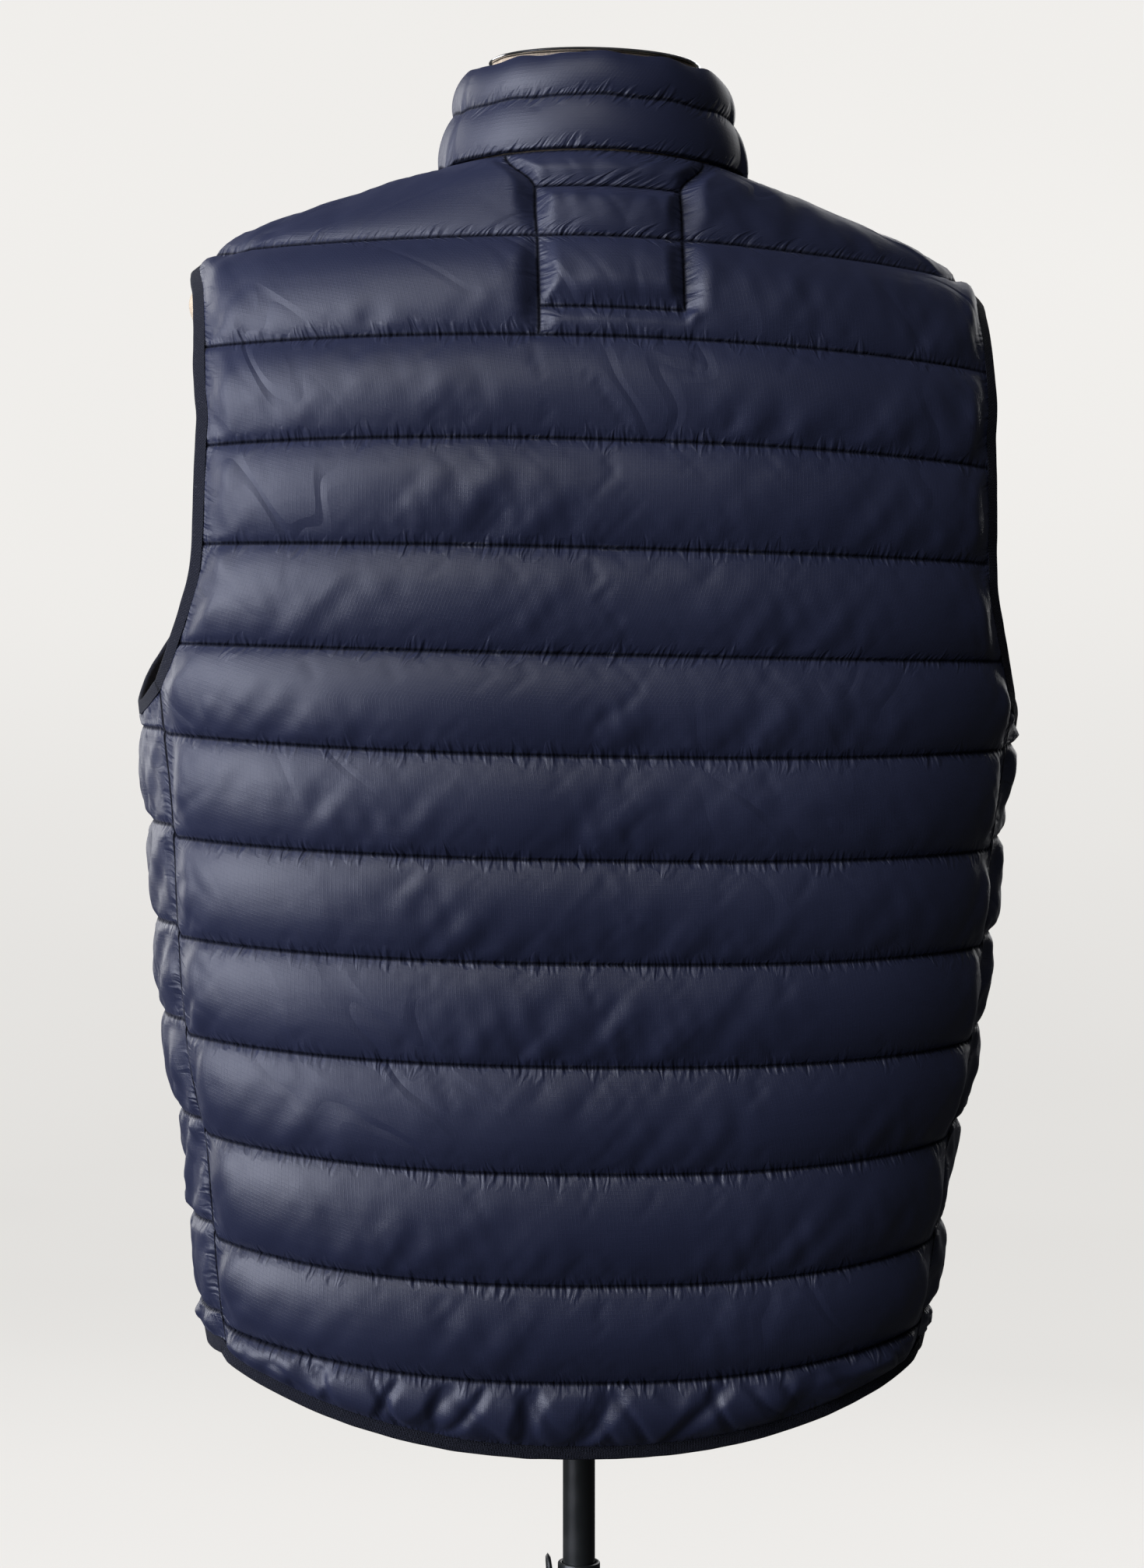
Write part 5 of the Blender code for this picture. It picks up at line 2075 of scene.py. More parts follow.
@dataclass
class FrontPanel:
    """A front, from the zip round under the arm to the side seam."""

    pattern: Pattern
    maker: QuiltMaker
    body_columns: int = 60
    under_columns: int = 18
    under_slack: float = 0.35
    under_fill: float = 0.32
    under_crumple: float = 0.0022
    under_blend: float = 9.0
    corner_rise: float = 0.015

    def angles(self, rows: list[Row], notch: int) -> Array:
        """The angle of each point of the left front.

        Args:
            rows: The panel's rows.
            notch: The row at the armhole's lowest edge.

        Returns:
            The angles.
        """
        degrees = []
        for index, row in enumerate(rows):
            below = index <= notch
            corner = ARMHOLE_EDGES[0].front_deg
            if not below:
                corner = self.pattern.edge_angle(row, "front_deg")
            shares = np.linspace(0.0, 1.0, self.body_columns + 1)
            body = self.pattern.even_row(row, self.pattern.zip_angle(row), corner, shares)
            under = np.full(self.under_columns, corner)
            if below:
                shares = np.linspace(0.0, 1.0, self.under_columns + 1)[1:]
                under = self.pattern.even_row(row, corner, SIDE_SEAM_DEG, shares)
            degrees.append(np.concatenate([body, under]))
        return np.array(degrees)

    def surfaces(self, degrees: Array, heights: Array, notch: int) -> list[Array]:
        """The mid surface, normals, arch and inner face of the left front.

        Args:
            degrees: The angle of each point.
            heights: The height of each point.
            notch: The row at the armhole's lowest edge, above which only the body goes on.

        Returns:
            The four grids.
        """
        shape = (*degrees.shape, 3)
        grids = [np.empty(shape), np.empty(shape), heights * 0.0, np.empty(shape)]
        corner = self.body_columns
        parts = ((slice(notch, None), slice(0, corner + 1)), (slice(0, notch + 1), slice(None)))
        for part in parts:
            for grid, made in zip(grids, self.maker.lofted(degrees[part], heights[part])):
                grid[part] = made
        for index in (0, 1, 3):
            grid = grids[index]
            grid[notch + 1 :, corner + 1 :] = grid[notch + 1 :, corner : corner + 1]
        return grids

    def quilt(self, seed: float) -> Quilt:
        """The left front, ready to be blown out.

        Args:
            seed: A number that moves the wrinkles, for another front of the same kind.

        Returns:
            The quilt.
        """
        pattern, rows = self.pattern, self.pattern.rows()
        notch = next(i for i, row in enumerate(rows) if LINES[row.line].name == "armhole")
        degrees, corner = self.angles(rows, notch), self.body_columns
        heights = np.array([pattern.row_height(row, d) for row, d in zip(rows, degrees)])
        middle, normals, loft, inner = self.surfaces(degrees, heights, notch)
        kept = np.ones(np.array(degrees.shape) - 1, bool)
        kept[notch:, corner:] = False
        near_edge = smoothstep(0.0, self.corner_rise, np.abs(heights - heights[notch]))
        loft[:, corner:] *= near_edge[:, corner:]
        past_corner = np.arange(degrees.shape[1]) - corner
        under = smoothstep(-self.under_blend, self.under_blend, past_corner)
        loft *= 1 + (self.under_fill - 1) * under
        start = middle + normals * (pattern.half_wall + self.maker.arch_height * loft)[..., None]
        hem = np.array([row.line == 0 for row in rows], float)[:, None]
        slack, fill = self.maker.slack(middle, hem, seed), self.maker.fill(middle, hem)
        slack = np.clip(slack + self.under_slack * under, 0.0, 1.0)
        fill = fill * (1 + (self.under_fill - 1) * under)
        stitched = [index for index, row in enumerate(rows) if row.stitched]
        seam_rows = [Seam(row) for row in stitched if row < notch]
        seam_rows += [Seam(row, slice(0, corner + 1)) for row in stitched if row > notch]
        self.maker.sunk(start, normals, seam_rows[1:], 0)
        seam_rows.append(Seam(notch, slice(corner, None)))
        crumple = self.maker.crumple(middle, hem, pattern.channel_share(degrees, heights))
        crumple[..., 0] += self.under_crumple * under
        return Quilt(
            name="front_left_quilted", middle=middle, normals=normals, start=start, inner=inner,
            slack=slack, fill=fill, crumple=crumple, kept=kept, seam_rows=seam_rows,
            seam_columns=[
                Seam(0), Seam(corner, slice(notch, len(rows))),
                Seam(degrees.shape[1] - 1, slice(0, notch + 1)),
            ],
            crease_rows=sorted({*stitched, notch}),
            crease_columns=[corner],
            lining_rows=self.maker.coarse(len(rows), [notch]),
            lining_columns=self.maker.coarse(degrees.shape[1], [corner]),
        )


@dataclass
class Collar:
    """The stand-up collar: two filled channels that fold over at the top edge."""

    pattern: Pattern
    top_half_width: float = 0.0745
    top_back: float = 0.0625
    top_front: float = 0.0550
    top_side: float = 1.5380
    rise_back: float = 0.0062
    rise_front: float = -0.0260
    lift: float = 0.0012
    columns: int = 170
    low_rows: int = 9
    high_rows: int = 8
    middle_share: float = 0.565
    arch_height: float = 0.0032
    inner_share: float = 0.45
    edge_wobble: float = 0.0022
    wobble_size: float = 0.020
    patch_size: float = 0.04
    most_slack: float = 0.7
    fullness: float = 0.6
    crumple: float = 0.0005
    seed: float = 5.0

    def top(self, path: Array) -> Array:
        """The points along the top edge, one above each point of the neck seam.

        Args:
            path: The neck seam's points.

        Returns:
            The points.
        """
        base = VEST_SECTIONS[-2]
        depth = np.where(path[:, 1] >= 0, base.back, base.front)
        angle = np.arctan2(path[:, 1] / depth, path[:, 0] / base.half_width)
        across = np.sin(angle)
        top_depth = np.where(across >= 0, self.top_back, self.top_front)
        high = np.where(across >= 0, self.rise_back, self.rise_front)
        height = self.top_side + high * across**2
        x = self.top_half_width * np.cos(angle)
        top = np.stack([x, top_depth * across, height], axis=1)
        for end in (0, -1):
            top[end, 0] = path[end, 0]
        return top

    def shares(self) -> Array:
        """How far up the collar each row of one side is, from the neck seam to the top."""
        low = np.linspace(0.0, self.middle_share, self.low_rows + 1)
        return np.concatenate([low, np.linspace(self.middle_share, 1.0, self.high_rows + 1)[1:]])

    def quilt(self, path: Array) -> Quilt:
        """The collar, ready to be blown out.

        Args:
            path: The neck seam's points, from the left front round the back to the right.

        Returns:
            The quilt, whose rows go up the outside, over the fold and down the inside.
        """
        length = run_length(path, 0)
        even = np.linspace(0.0, length[-1], self.columns + 1)
        path = spread(path, length, even)
        top = self.top(path)
        top[:, 2] += self.edge_wobble * ripple(top * [1, 1, 0], self.wobble_size, self.seed)
        low = path + unit(top - path) * self.lift
        up = self.shares()
        plain = low + (top - low) * up[:, None, None]
        out = unit(np.cross(np.gradient(plain, axis=1), np.gradient(plain, axis=0)))
        rise, half = unit(top - low), self.pattern.half_wall
        middle = np.concatenate([plain, plain[-1:] + rise * half, plain[::-1]])
        normals = np.concatenate([out, rise[None], -out[::-1]])
        channel = np.where(up < self.middle_share, up / self.middle_share,
                           (up - self.middle_share) / (1 - self.middle_share))
        fade = self.pattern.edge_fade(plain[:1])[0]
        arch = self.arch_height * self.pattern.arch(channel)[:, None] * fade
        thick = np.concatenate([half + arch, 0 * arch[:1], half + self.inner_share * arch[::-1]])
        start = middle + normals * thick[..., None]
        seam_rows = [0, self.low_rows, len(up)]
        seam_rows += [len(middle) - 1 - row for row in seam_rows[:2]]
        sewn = sorted(seam_rows)
        patches = np.clip(0.45 + ripple(start, self.patch_size, self.seed), 0.0, 1.0)
        return Quilt(
            name="collar_quilted", middle=middle, normals=normals, start=start, inner=middle,
            slack=patches * self.most_slack, fill=np.full(patches.shape, self.fullness),
            crumple=np.full((*patches.shape, 2), self.crumple),
            kept=np.ones(np.array(patches.shape) - 1, bool),
            seam_rows=[Seam(row) for row in sewn], seam_columns=[Seam(0), Seam(self.columns)],
            crease_rows=[row for row in sewn if row != len(up)], crease_columns=[]
        )

    def mesh(self, quilt: Quilt) -> Mesh:
        """The finished collar, closed along the neck seam and at both ends.

        Args:
            quilt: The collar's quilt, blown out or not.

        Returns:
            The mesh.
        """
        grid = quilt.finer(quilt.start if quilt.outer is None else quilt.outer)
        middle = quilt.finer(quilt.middle)
        rows, columns = grid.shape[:2]
        faces = grid_faces(rows, columns)
        for col in range(columns - 1):
            last = (rows - 1) * columns
            faces.append((col + 1, col, last + col, last + col + 1))
        for edge in (0, columns - 1):
            ring = [row * columns + edge for row in range(rows)]
            for low, high in zip(range(rows // 2), range(rows - 1, rows // 2, -1)):
                corners = dict.fromkeys((ring[low], ring[low + 1], ring[high - 1], ring[high]))
                face = tuple(corners)
                faces.append(face if edge == 0 else face[::-1])
        mesh = mesh_from(quilt.name, grid, faces, sharp_deg=70.0)
        sewn = [seam for seam in quilt.seam_rows if seam.index in quilt.crease_rows]
        write_seams(mesh, middle, scaled(sewn, 2), scaled(quilt.seam_columns, 2))
        return mesh


# ---- Bindings ------------------------------------------------------------------------------------


@dataclass
class Binding:
    """A tape folded over a panel's edge: two legs and the fold between them."""

    name: str
    stands_for: str
    width: float
    thickness: float
    overlap: float = 0.0020
    tape_thickness: float = 0.0005
    stitch_inset: float = 0.0014
    pitch: float = 0.0022
    wobble: float = 0.00035
    wobble_size: float = 0.012
    fold_reach: float = 0.002
    fold_steps: int = 9
    leg_steps: int = 4
    seed: float = 3.0

    def profile(self) -> Array:
        """The fold's middle line, as distances out from the edge and across the cloth.

        Returns:
            The line's points.
        """
        half = (self.thickness - self.tape_thickness) / 2
        turn = np.linspace(-math.pi / 2, math.pi / 2, self.fold_steps)
        start, bend = -self.overlap, self.width - half - self.tape_thickness / 2
        legs = np.linspace(start, bend, self.leg_steps)
        low = np.stack([legs, np.full(self.leg_steps, -half)], axis=1)
        fold = np.stack([bend + half * np.cos(turn), half * np.sin(turn)], axis=1)
        return np.concatenate([low[:-1], fold, low[::-1][1:] * np.array([1.0, -1.0])])

    def mesh(self, path: Array, toward: Array, normals: Array, closed: bool) -> Mesh:
        """The tape along a path.

        Args:
            path: The panel edge's points.
            toward: Rough directions away from the panel.
            normals: Directions out of the cloth.
            closed: Whether the path runs on from its end to its start.

        Returns:
            The tape as a closed thin shell.
        """
        path, toward, normals = self.even(path, toward, normals, closed)
        ends = (np.roll(path, -1, axis=0) - np.roll(path, 1, axis=0)) if closed else None
        along = unit(ends if closed else np.gradient(path, axis=0))
        outward = unit(np.cross(along, normals))
        outward *= np.sign((outward * toward).sum(axis=1, keepdims=True))
        profile = self.profile()
        turned = np.gradient(profile, axis=0)
        side = unit(np.stack([turned[:, 1], -turned[:, 0]], axis=1)) * self.tape_thickness / 2
        layers = []
        for shift in (side, -side):
            flat = profile + shift
            ring = path[:, None] + outward[:, None] * flat[None, :, :1]
            ring = ring + normals[:, None] * flat[None, :, 1:]
            layers.append(ring)
        fold = np.exp(-(((profile[:, 0] - profile[:, 0].max()) / self.fold_reach) ** 2))
        wave = ripple(path, self.wobble_size, self.seed) * self.wobble
        for layer in layers:
            layer += outward[:, None] * (wave[:, None] * fold)[..., None]
        return self.shell(layers, profile, path, closed)

    def even(self, path: Array, toward: Array, normals: Array, closed: bool) -> list[Array]:
        """The path and its directions at an even pitch.

        Args:
            path: The panel edge's points.
            toward: Rough directions away from the panel.
            normals: Directions out of the cloth.
            closed: Whether the path is a ring.

        Returns:
            The three grids at an even pitch.
        """
        arrays = [path, toward, normals]
        if closed:
            arrays = [np.concatenate([part, part[:1]]) for part in arrays]
        length = run_length(arrays[0], 0)
        count = max(8, int(length[-1] / self.pitch))
        even = np.linspace(0.0, length[-1], count + 1)
        if closed:
            even = even[:-1]
        parts = [spread(part, length, even) for part in arrays]
        parts[2] = unit(parts[2])
        return parts

    def shell(self, layers: list[Array], profile: Array, path: Array, closed: bool) -> Mesh:
        """The tape's two faces joined along their edges, with its point layers.

        Args:
            layers: The points of its two faces.
            profile: The middle line of its fold.
            path: The points that it runs along.
            closed: Whether the path is a ring.

        Returns:
            The tape's mesh.
        """
        rows, columns = layers[0].shape[:2]
        points = np.concatenate([layer.reshape(-1, 3) for layer in layers])
        count = rows * columns
        spans = rows if closed else rows - 1
        faces = []
        for row in range(spans):
            a, b = row * columns, ((row + 1) % rows) * columns
            for col in range(columns - 1):
                quad = (a + col, a + col + 1, b + col + 1, b + col)
                faces += [quad, tuple(corner + count for corner in quad[::-1])]
            for col in (0, columns - 1):
                quad = (a + col, b + col, b + col + count, a + col + count)
                faces.append(quad if col == 0 else quad[::-1])
        if not closed:
            for row in (0, rows - 1):
                for col in range(columns - 1):
                    a = row * columns + col
                    quad = (a, a + count, a + 1 + count, a + 1)
                    faces.append(quad if row == 0 else quad[::-1])
        mesh = mesh_from(self.name, points, faces, sharp_deg=60.0)
        face_outward(mesh)
        self.write_layers(mesh, profile, path)
        return mesh

    def write_layers(self, mesh: Mesh, profile: Array, path: Array) -> None:
        """Stores the tape's thread directions and its distance from the stitching.

        Args:
            mesh: The tape's mesh.
            profile: The middle line of its fold.
            path: The points that it runs along.
        """
        run = np.repeat(run_length(path, 0), len(profile))
        rise = np.tile(run_length(profile, 0), len(path))
        off = np.abs(np.tile(profile[:, 0], len(path)) + self.overlap - self.stitch_inset)
        weave = np.stack([run, rise, 0 * run], axis=1)
        stitch = np.stack([run, off, 0 * run], axis=1)
        write_layer(mesh, "weave", np.concatenate([weave, weave]))
        write_layer(mesh, "stitch_rows", np.concatenate([stitch, stitch]))

    def declare(self) -> None:
        width = float(run_length(self.profile(), 0)[-1])


@dataclass
class Vest:
    """The vest: its quilted panels and collar, and the bindings along its open edges."""

    pattern: Pattern
    lean: Matrix
    blower: Blower = field(default_factory=Blower)
    armhole_width: float = 0.0062
    armhole_thickness: float = 0.0033
    hem_width: float = 0.0085
    hem_thickness: float = 0.0034

    def build(self) -> None:
        """Makes, puffs and adds every piece of the vest."""
        maker = QuiltMaker(self.pattern)
        self.back = BackPanel(self.pattern, maker).quilt()
        front = FrontPanel(self.pattern, maker)
        self.left = front.quilt(2.0)
        self.right = front.quilt(8.0).mirrored("front_right_quilted")
        collar = Collar(self.pattern)
        self.collar = collar.quilt(self.neck_path())
        self.blower.run([self.back, self.left, self.right, self.collar])
        for quilt, node in (
            (self.back, "back_panel"), (self.left, "front_left"), (self.right, "front_right")
        ):
            piece = self.add(quilt.mesh(), Slot.SHELL, (NYLON, LINING), node)
        piece = self.add(collar.mesh(self.collar), Slot.SHELL, (NYLON,), "collar")
        self.add_bindings()

    def add(self, mesh: Mesh, slot: Slot, finishes: Sequence[Finish], node: str) -> Thing:
        """Adds one leaning piece of the vest in place of its CAD node."""
        return add_piece(mesh, CadBody.FORM, finishes, [node], self.lean)

    def round_vest(self, row: int) -> Array:
        """One row right round the vest, from the left front's zip edge to the right's.

        Args:
            row: The row's index.

        Returns:
            The row's points.
        """
        left = self.left.middle[row, self.left.used[row]]
        right = self.right.middle[row, self.right.used[row]]
        back = self.back.middle[row]
        return np.concatenate([left[:-1], back[1:-1], right[1:]])

    def neck_path(self) -> Array:
        """The neck seam's points, at the cloth's mid thickness."""
        return self.round_vest(-1)

    def armhole_path(self, front: Quilt, back_column: int, edge: int) -> Array:
        """The points round one armhole: up the back, down the front and under the arm.

        Args:
            front: The front on that side.
            back_column: The back's column along the armhole.
            edge: The front's column along the armhole.

        Returns:
            The points.
        """
        lines = [i for i, row in enumerate(self.pattern.rows()) if row.share == 0.0]
        names = [LINES[self.pattern.rows()[i].line].name for i in lines]
        notch, shoulder = lines[names.index("armhole")], lines[names.index("channel_12")]
        back = self.back.middle[notch : shoulder + 1, back_column]
        down = front.middle[notch:shoulder, edge][::-1]
        if back_column == 0:
            under = front.middle[notch, edge + 1 : -1]
        else:
            under = front.middle[notch, 1:edge][::-1]
        return np.concatenate([back, down, under])

    def add_bindings(self) -> None:
        """The tapes bound round the two armholes and along the hem."""
        wide = self.left.middle.shape[1] - 1
        edge = FrontPanel.body_columns
        sides = (("left", self.left, 0, edge), ("right", self.right, -1, wide - edge))
        for name, front, back_column, column_edge in sides:
            path = self.armhole_path(front, back_column, column_edge)
            binding = Binding(
                f"armhole_binding_{name}", f"armhole_tape_{name}", self.armhole_width,
                self.armhole_thickness
            )
            toward = path.mean(axis=0) - path
            self.add_binding(binding, path, toward, True)
        path = self.round_vest(0)
        binding = Binding("hem_binding", "hem_tape", self.hem_width, self.hem_thickness)
        self.add_binding(binding, path, np.zeros_like(path) - UP, False)

    def add_binding(
        self, binding: Binding, path: Array, toward: Array, closed: bool
    ) -> None:
        """Args:
            binding: The tape.
            path: The edge that it covers.
            toward: Rough directions away from the panel.
            closed: Whether the edge is a ring.
        """
        normals = self.pattern.surface.normals(path)
        mesh = binding.mesh(path, toward, normals, closed)
        piece = self.add(mesh, Slot.TAPE, (ELASTIC,), binding.stands_for)
        binding.declare()


# ---- The zip ---------------------------------------------------------------------------------------


@dataclass
class Zip:
    """The closed front zip: two woven tapes, moulded teeth, a slider and its pull tab."""

    pattern: Pattern
    collar: Collar
    lean: Matrix
    tape_inner: float = 0.0037
    tape_thickness: float = 0.0008
    edge_gap: float = 0.0003
    tape_pitch: float = 0.004
    stitch_inset: float = 0.003
    least_cut: float = 0.010
    hem_drop: float = 0.0093
    top_margin: float = 0.006
    slider_below_top: float = 0.0150
    tooth_pitch: float = 0.00128
    tooth_reach: float = 0.0030
    tooth_overlap: float = 0.0011
    tooth_height: float = 0.0019044
    tooth_span: float = 1.1
    tooth_layers: tuple[tuple[float, float], ...] = ((-0.5, 0.82), (-0.32, 1.0), (0.32, 1.0), (0.5, 0.82))
    tooth_thickness: float = 0.0025
    slider_size: tuple[float, float, float] = (0.0096, 0.0072, 0.0120)
    slider_shift: tuple[float, float, float] = (0.0, -0.00064, -0.00023)
    plate: float = 0.0020
    plate_bevel: float = 0.0005
    bridge_half: float = 0.0011
    bridge_low: float = 0.0012
    bridge_high: float = 0.0052
    bail_width: float = 0.0014
    bail_depth: float = 0.0034
    bail_length: float = 0.0068
    bail_sink: float = 0.0005
    eye_depth: float = 0.0018
    pull_size: tuple[float, float, float] = (0.0070, 0.0012, 0.0260)
    pull_corner: float = 0.0022
    window_corner: float = 0.0012
    window_half: tuple[float, float] = (0.0017, 0.0022)
    window_centre: float = -0.0028

    @property
    def bottom(self) -> float:
        """The height of the zip's lower end."""
        return LINES[0].front - self.hem_drop

    @property
    def top(self) -> float:
        """The height of the tapes' upper end."""
        return self.collar.top_side + self.collar.rise_front - self.top_margin

    def profile(self, x: float, top: float) -> Array:
        """Points up the fastened front at a distance from the centre: body, then collar.

        Args:
            x: The distance from the centre.
            top: The height of the last point.

        Returns:
            The points.
        """
        surface = self.pattern.surface
        heights = np.array([self.bottom] + [line.front for line in LINES[1:-1]])
        body = surface.points(-surface.angle_at_width(abs(x), heights), heights)
        neck = np.array(LINES[-1].front)
        seam = surface.points(-surface.angle_at_width(abs(x), neck), neck)
        high = self.collar.top(np.stack([seam, seam, seam]))[1]
        share = (top - float(neck)) / (high[2] - float(neck))
        steps = np.linspace(0.0, share, 4)[:, None]
        points = np.concatenate([body, seam + (high - seam) * steps])
        points[:, 0] = x
        return points

    def build(self) -> None:
        """Makes and adds every piece of the zip."""
        for name, side in (("left", 1.0), ("right", -1.0)):
            self.add_tape(name, side)
        self.add_teeth()
        line = self.profile(0.0, self.top - self.slider_below_top)
        along = line[-1] - line[-2]
        tilt = Matrix.Rotation(math.atan2(-along[1], along[2]), 4, "X")
        place = Matrix.Translation(line[-1].tolist())
        axis = self.lean @ place @ tilt @ Matrix.Translation(self.slider_shift)
        self.add_slider(axis)
        self.add_pull(axis)

    def add_tape(self, name: str, side: float) -> None:
        """One woven tape, from the teeth to the front's edge.

        Args:
            name: The wearer's side, left or right.
            side: 1 for the left, -1 for the right.
        """
        edges = (self.tape_inner, self.pattern.zip_opening - self.edge_gap)
        widths = np.linspace(edges[0], edges[1], 5)
        lines = [even_path(self.profile(side * x, self.top), self.tape_pitch) for x in widths]
        middle = np.stack(lines, axis=1)
        half = np.array([0.0, 1.0, 0.0]) * self.tape_thickness / 2
        rows, columns = middle.shape[:2]
        points = np.concatenate([(middle - half).reshape(-1, 3), (middle + half).reshape(-1, 3)])
        count = rows * columns
        front = grid_faces(rows, columns)
        faces = front + [tuple(corner + count for corner in face[::-1]) for face in front]
        faces += rim_faces(rows, columns, count)
        mesh = mesh_from(f"zip_web_{name}", points, faces, 40.0)
        face_outward(mesh)
        run = np.repeat(run_length(middle[:, 0], 0), columns)
        rise = np.tile(widths, rows)
        layer = np.stack([run, rise, 0 * run], axis=1)
        write_layer(mesh, "weave", np.concatenate([layer, layer]))
        off = np.stack([run, np.abs(rise - widths[-1] + self.stitch_inset), 0 * run], axis=1)
        write_layer(mesh, "stitch_rows", np.concatenate([off, off]))
        piece = add_piece(mesh, CadBody.FORM, (ZIP_WEB,), [f"zip_tape_{name}"], self.lean)

    def add_teeth(self) -> None:
        """The closed teeth, from each side in turn, as one chain."""
        line = self.profile(0.0, self.top - self.slider_below_top)
        path = even_path(line, self.tooth_pitch)
        along = unit(np.gradient(path, axis=0))
        outline = ((-0.55, -0.5), (0.12, -0.5), (0.55, -0.32), (0.55, 0.32), (0.12, 0.5), (-0.55, 0.5))
        points, faces = [], []
        centre = (self.tooth_reach - self.tooth_overlap) / 2
        length = self.tooth_reach + self.tooth_overlap
        for index, (place, up) in enumerate(zip(path, along)):
            side = 1.0 if index % 2 else -1.0
            depth = np.cross(up, [1.0, 0.0, 0.0])
            start = len(points)
            for layer, scale in self.tooth_layers:
                for x, z in outline:
                    across = side * (centre - x * length / self.tooth_span * (0.9 + 0.1 * scale))
                    point = place + np.array([across, 0.0, 0.0])
                    point = point + up * z * self.tooth_height * scale
                    points.append(point + depth * layer * self.tooth_thickness)
            for ring in range(3):
                for i in range(6):
                    a, b = start + ring * 6 + i, start + ring * 6 + (i + 1) % 6
                    faces.append((a, b, b + 6, a + 6))
            faces.append(tuple(range(start, start + 6)))
            faces.append(tuple(range(start + 18, start + 24)))
        mesh = mesh_from("zip_teeth_closed", np.array(points), faces, 35.0)
        face_outward(mesh)
        write_layer(mesh, "edge", np.full(len(points), 0.5))
        add_piece(mesh, CadBody.FORM, (TEETH,), ["zip_teeth"], self.lean)

    def add_slider(self, axis: Matrix) -> None:
        """The slider: two shield-shaped plates, a bridge between them and the bail.

        Args:
            axis: Where the slider sits and how it leans.
        """
        wide, deep, tall = self.slider_size
        shield = ((-0.5, 0.30), (-0.42, 0.5), (0.42, 0.5), (0.5, 0.30), (0.40, -0.30),
                  (0.30, -0.5), (-0.30, -0.5), (-0.40, -0.30))
        outline = [(x * wide, z * tall) for x, z in shield]
        shape = bmesh.new()
        for side in (-1.0, 1.0):
            outer = side * deep / 2
            slab(shape, outline, outer, outer - side * self.plate, self.plate_bevel)
        half, low, high = self.bridge_half, self.bridge_low, self.bridge_high
        bridge = [(-half, low), (half, low), (half, high), (-half, high)]
        slab(shape, bridge, -deep / 2 + self.plate, deep / 2 - self.plate, 0.0)
        arch = bail_outline(deep / 2 - self.bail_sink, self.bail_depth, self.bail_length)
        strap(shape, arch, self.bail_width)
        self.finish_metal(shape, "zip_slider_body", CadBody.FORM, "zip_slider", axis)

    def add_pull(self, axis: Matrix) -> None:
        """The pull tab: a flat bar with rounded ends and a window for the bail.

        Args:
            axis: Where the slider sits and how it leans.
        """
        wide, thick, tall = self.pull_size
        top = thick / 2
        outline = rounded_bar(wide, top - tall, top, self.pull_corner)
        half_x, half_z = self.window_half
        low, high = self.window_centre - half_z, self.window_centre + half_z
        window = rounded_bar(2 * half_x, low, high, self.window_corner)
        shape = bmesh.new()
        framed_slab(shape, outline, window, thick)
        depth = -self.slider_size[1] / 2 - self.eye_depth / 2
        place = axis @ Matrix.Translation((0.0, depth, 0.0))
        self.finish_metal(shape, "zip_pull_tab", CadBody.PULL, "zip_pull", place)

    def finish_metal(self, shape: Shape, name: str, body: CadBody, node: str, place: Matrix) -> None:
        """Turns a shape into a gunmetal piece with slightly rounded edges.

        Args:
            shape: The shape.
            name: The piece's name.
            body: The body that it rides on.
            node: The CAD node that it stands for.
            place: Where it goes.
        """
        bmesh.ops.recalc_face_normals(shape, faces=shape.faces)
        mesh = mesh_of(shape, name, 30.0)
        write_layer(mesh, "edge", np.full(len(mesh.vertices), 0.4))
        add_piece(mesh, body, (GUNMETAL,), [node], place)


def even_path(path: Array, pitch: float) -> Array:
    """A smoother copy of a path, with points at an even pitch.

    Args:
        path: The path's points.
        pitch: The distance between the new ones.

    Returns:
        The new points.
    """
    fine = refined(refined(path, 0), 0)
    length = run_length(fine, 0)
    even = np.linspace(0.0, length[-1], max(2, int(round(length[-1] / pitch))) + 1)
    return spread(fine, length, even)


def rim_faces(rows: int, columns: int, count: int) -> list:
    """The faces that close a wall between two grids along all four edges.

    Args:
        rows: The grids' rows.
        columns: Their columns.
        count: The points in one grid.

    Returns:
        The faces.
    """
    ring = list(range(columns))
    ring += [row * columns + columns - 1 for row in range(1, rows)]
    ring += [(rows - 1) * columns + col for col in range(columns - 2, -1, -1)]
    ring += [row * columns for row in range(rows - 2, 0, -1)]
    pairs = zip(ring, ring[1:] + ring[:1])
    return [(b, a, a + count, b + count) for a, b in pairs]


def slab(shape: Shape, outline: Sequence, near: float, far: float, bevel: float) -> None:
    """Adds a flat plate: an outline in X and Z, from one depth to another.

    Args:
        shape: The shape to add to.
        outline: The plate's points.
        near: The depth of its first face.
        far: The depth of its second face.
        bevel: How much its edges are rounded.
    """
    rings = []
    for depth in (near, far):
        rings.append([shape.verts.new((x, depth, z)) for x, z in outline])
    made = [shape.faces.new(rings[0]), shape.faces.new(rings[1][::-1])]
    for i in range(len(outline)):
        j = (i + 1) % len(outline)
        made.append(shape.faces.new((rings[0][i], rings[0][j], rings[1][j], rings[1][i])))
    if bevel:
        edges = list(dict.fromkeys(edge for face in made for edge in face.edges))
        bmesh.ops.bevel(shape, geom=edges, offset=bevel, segments=2, affect="EDGES")


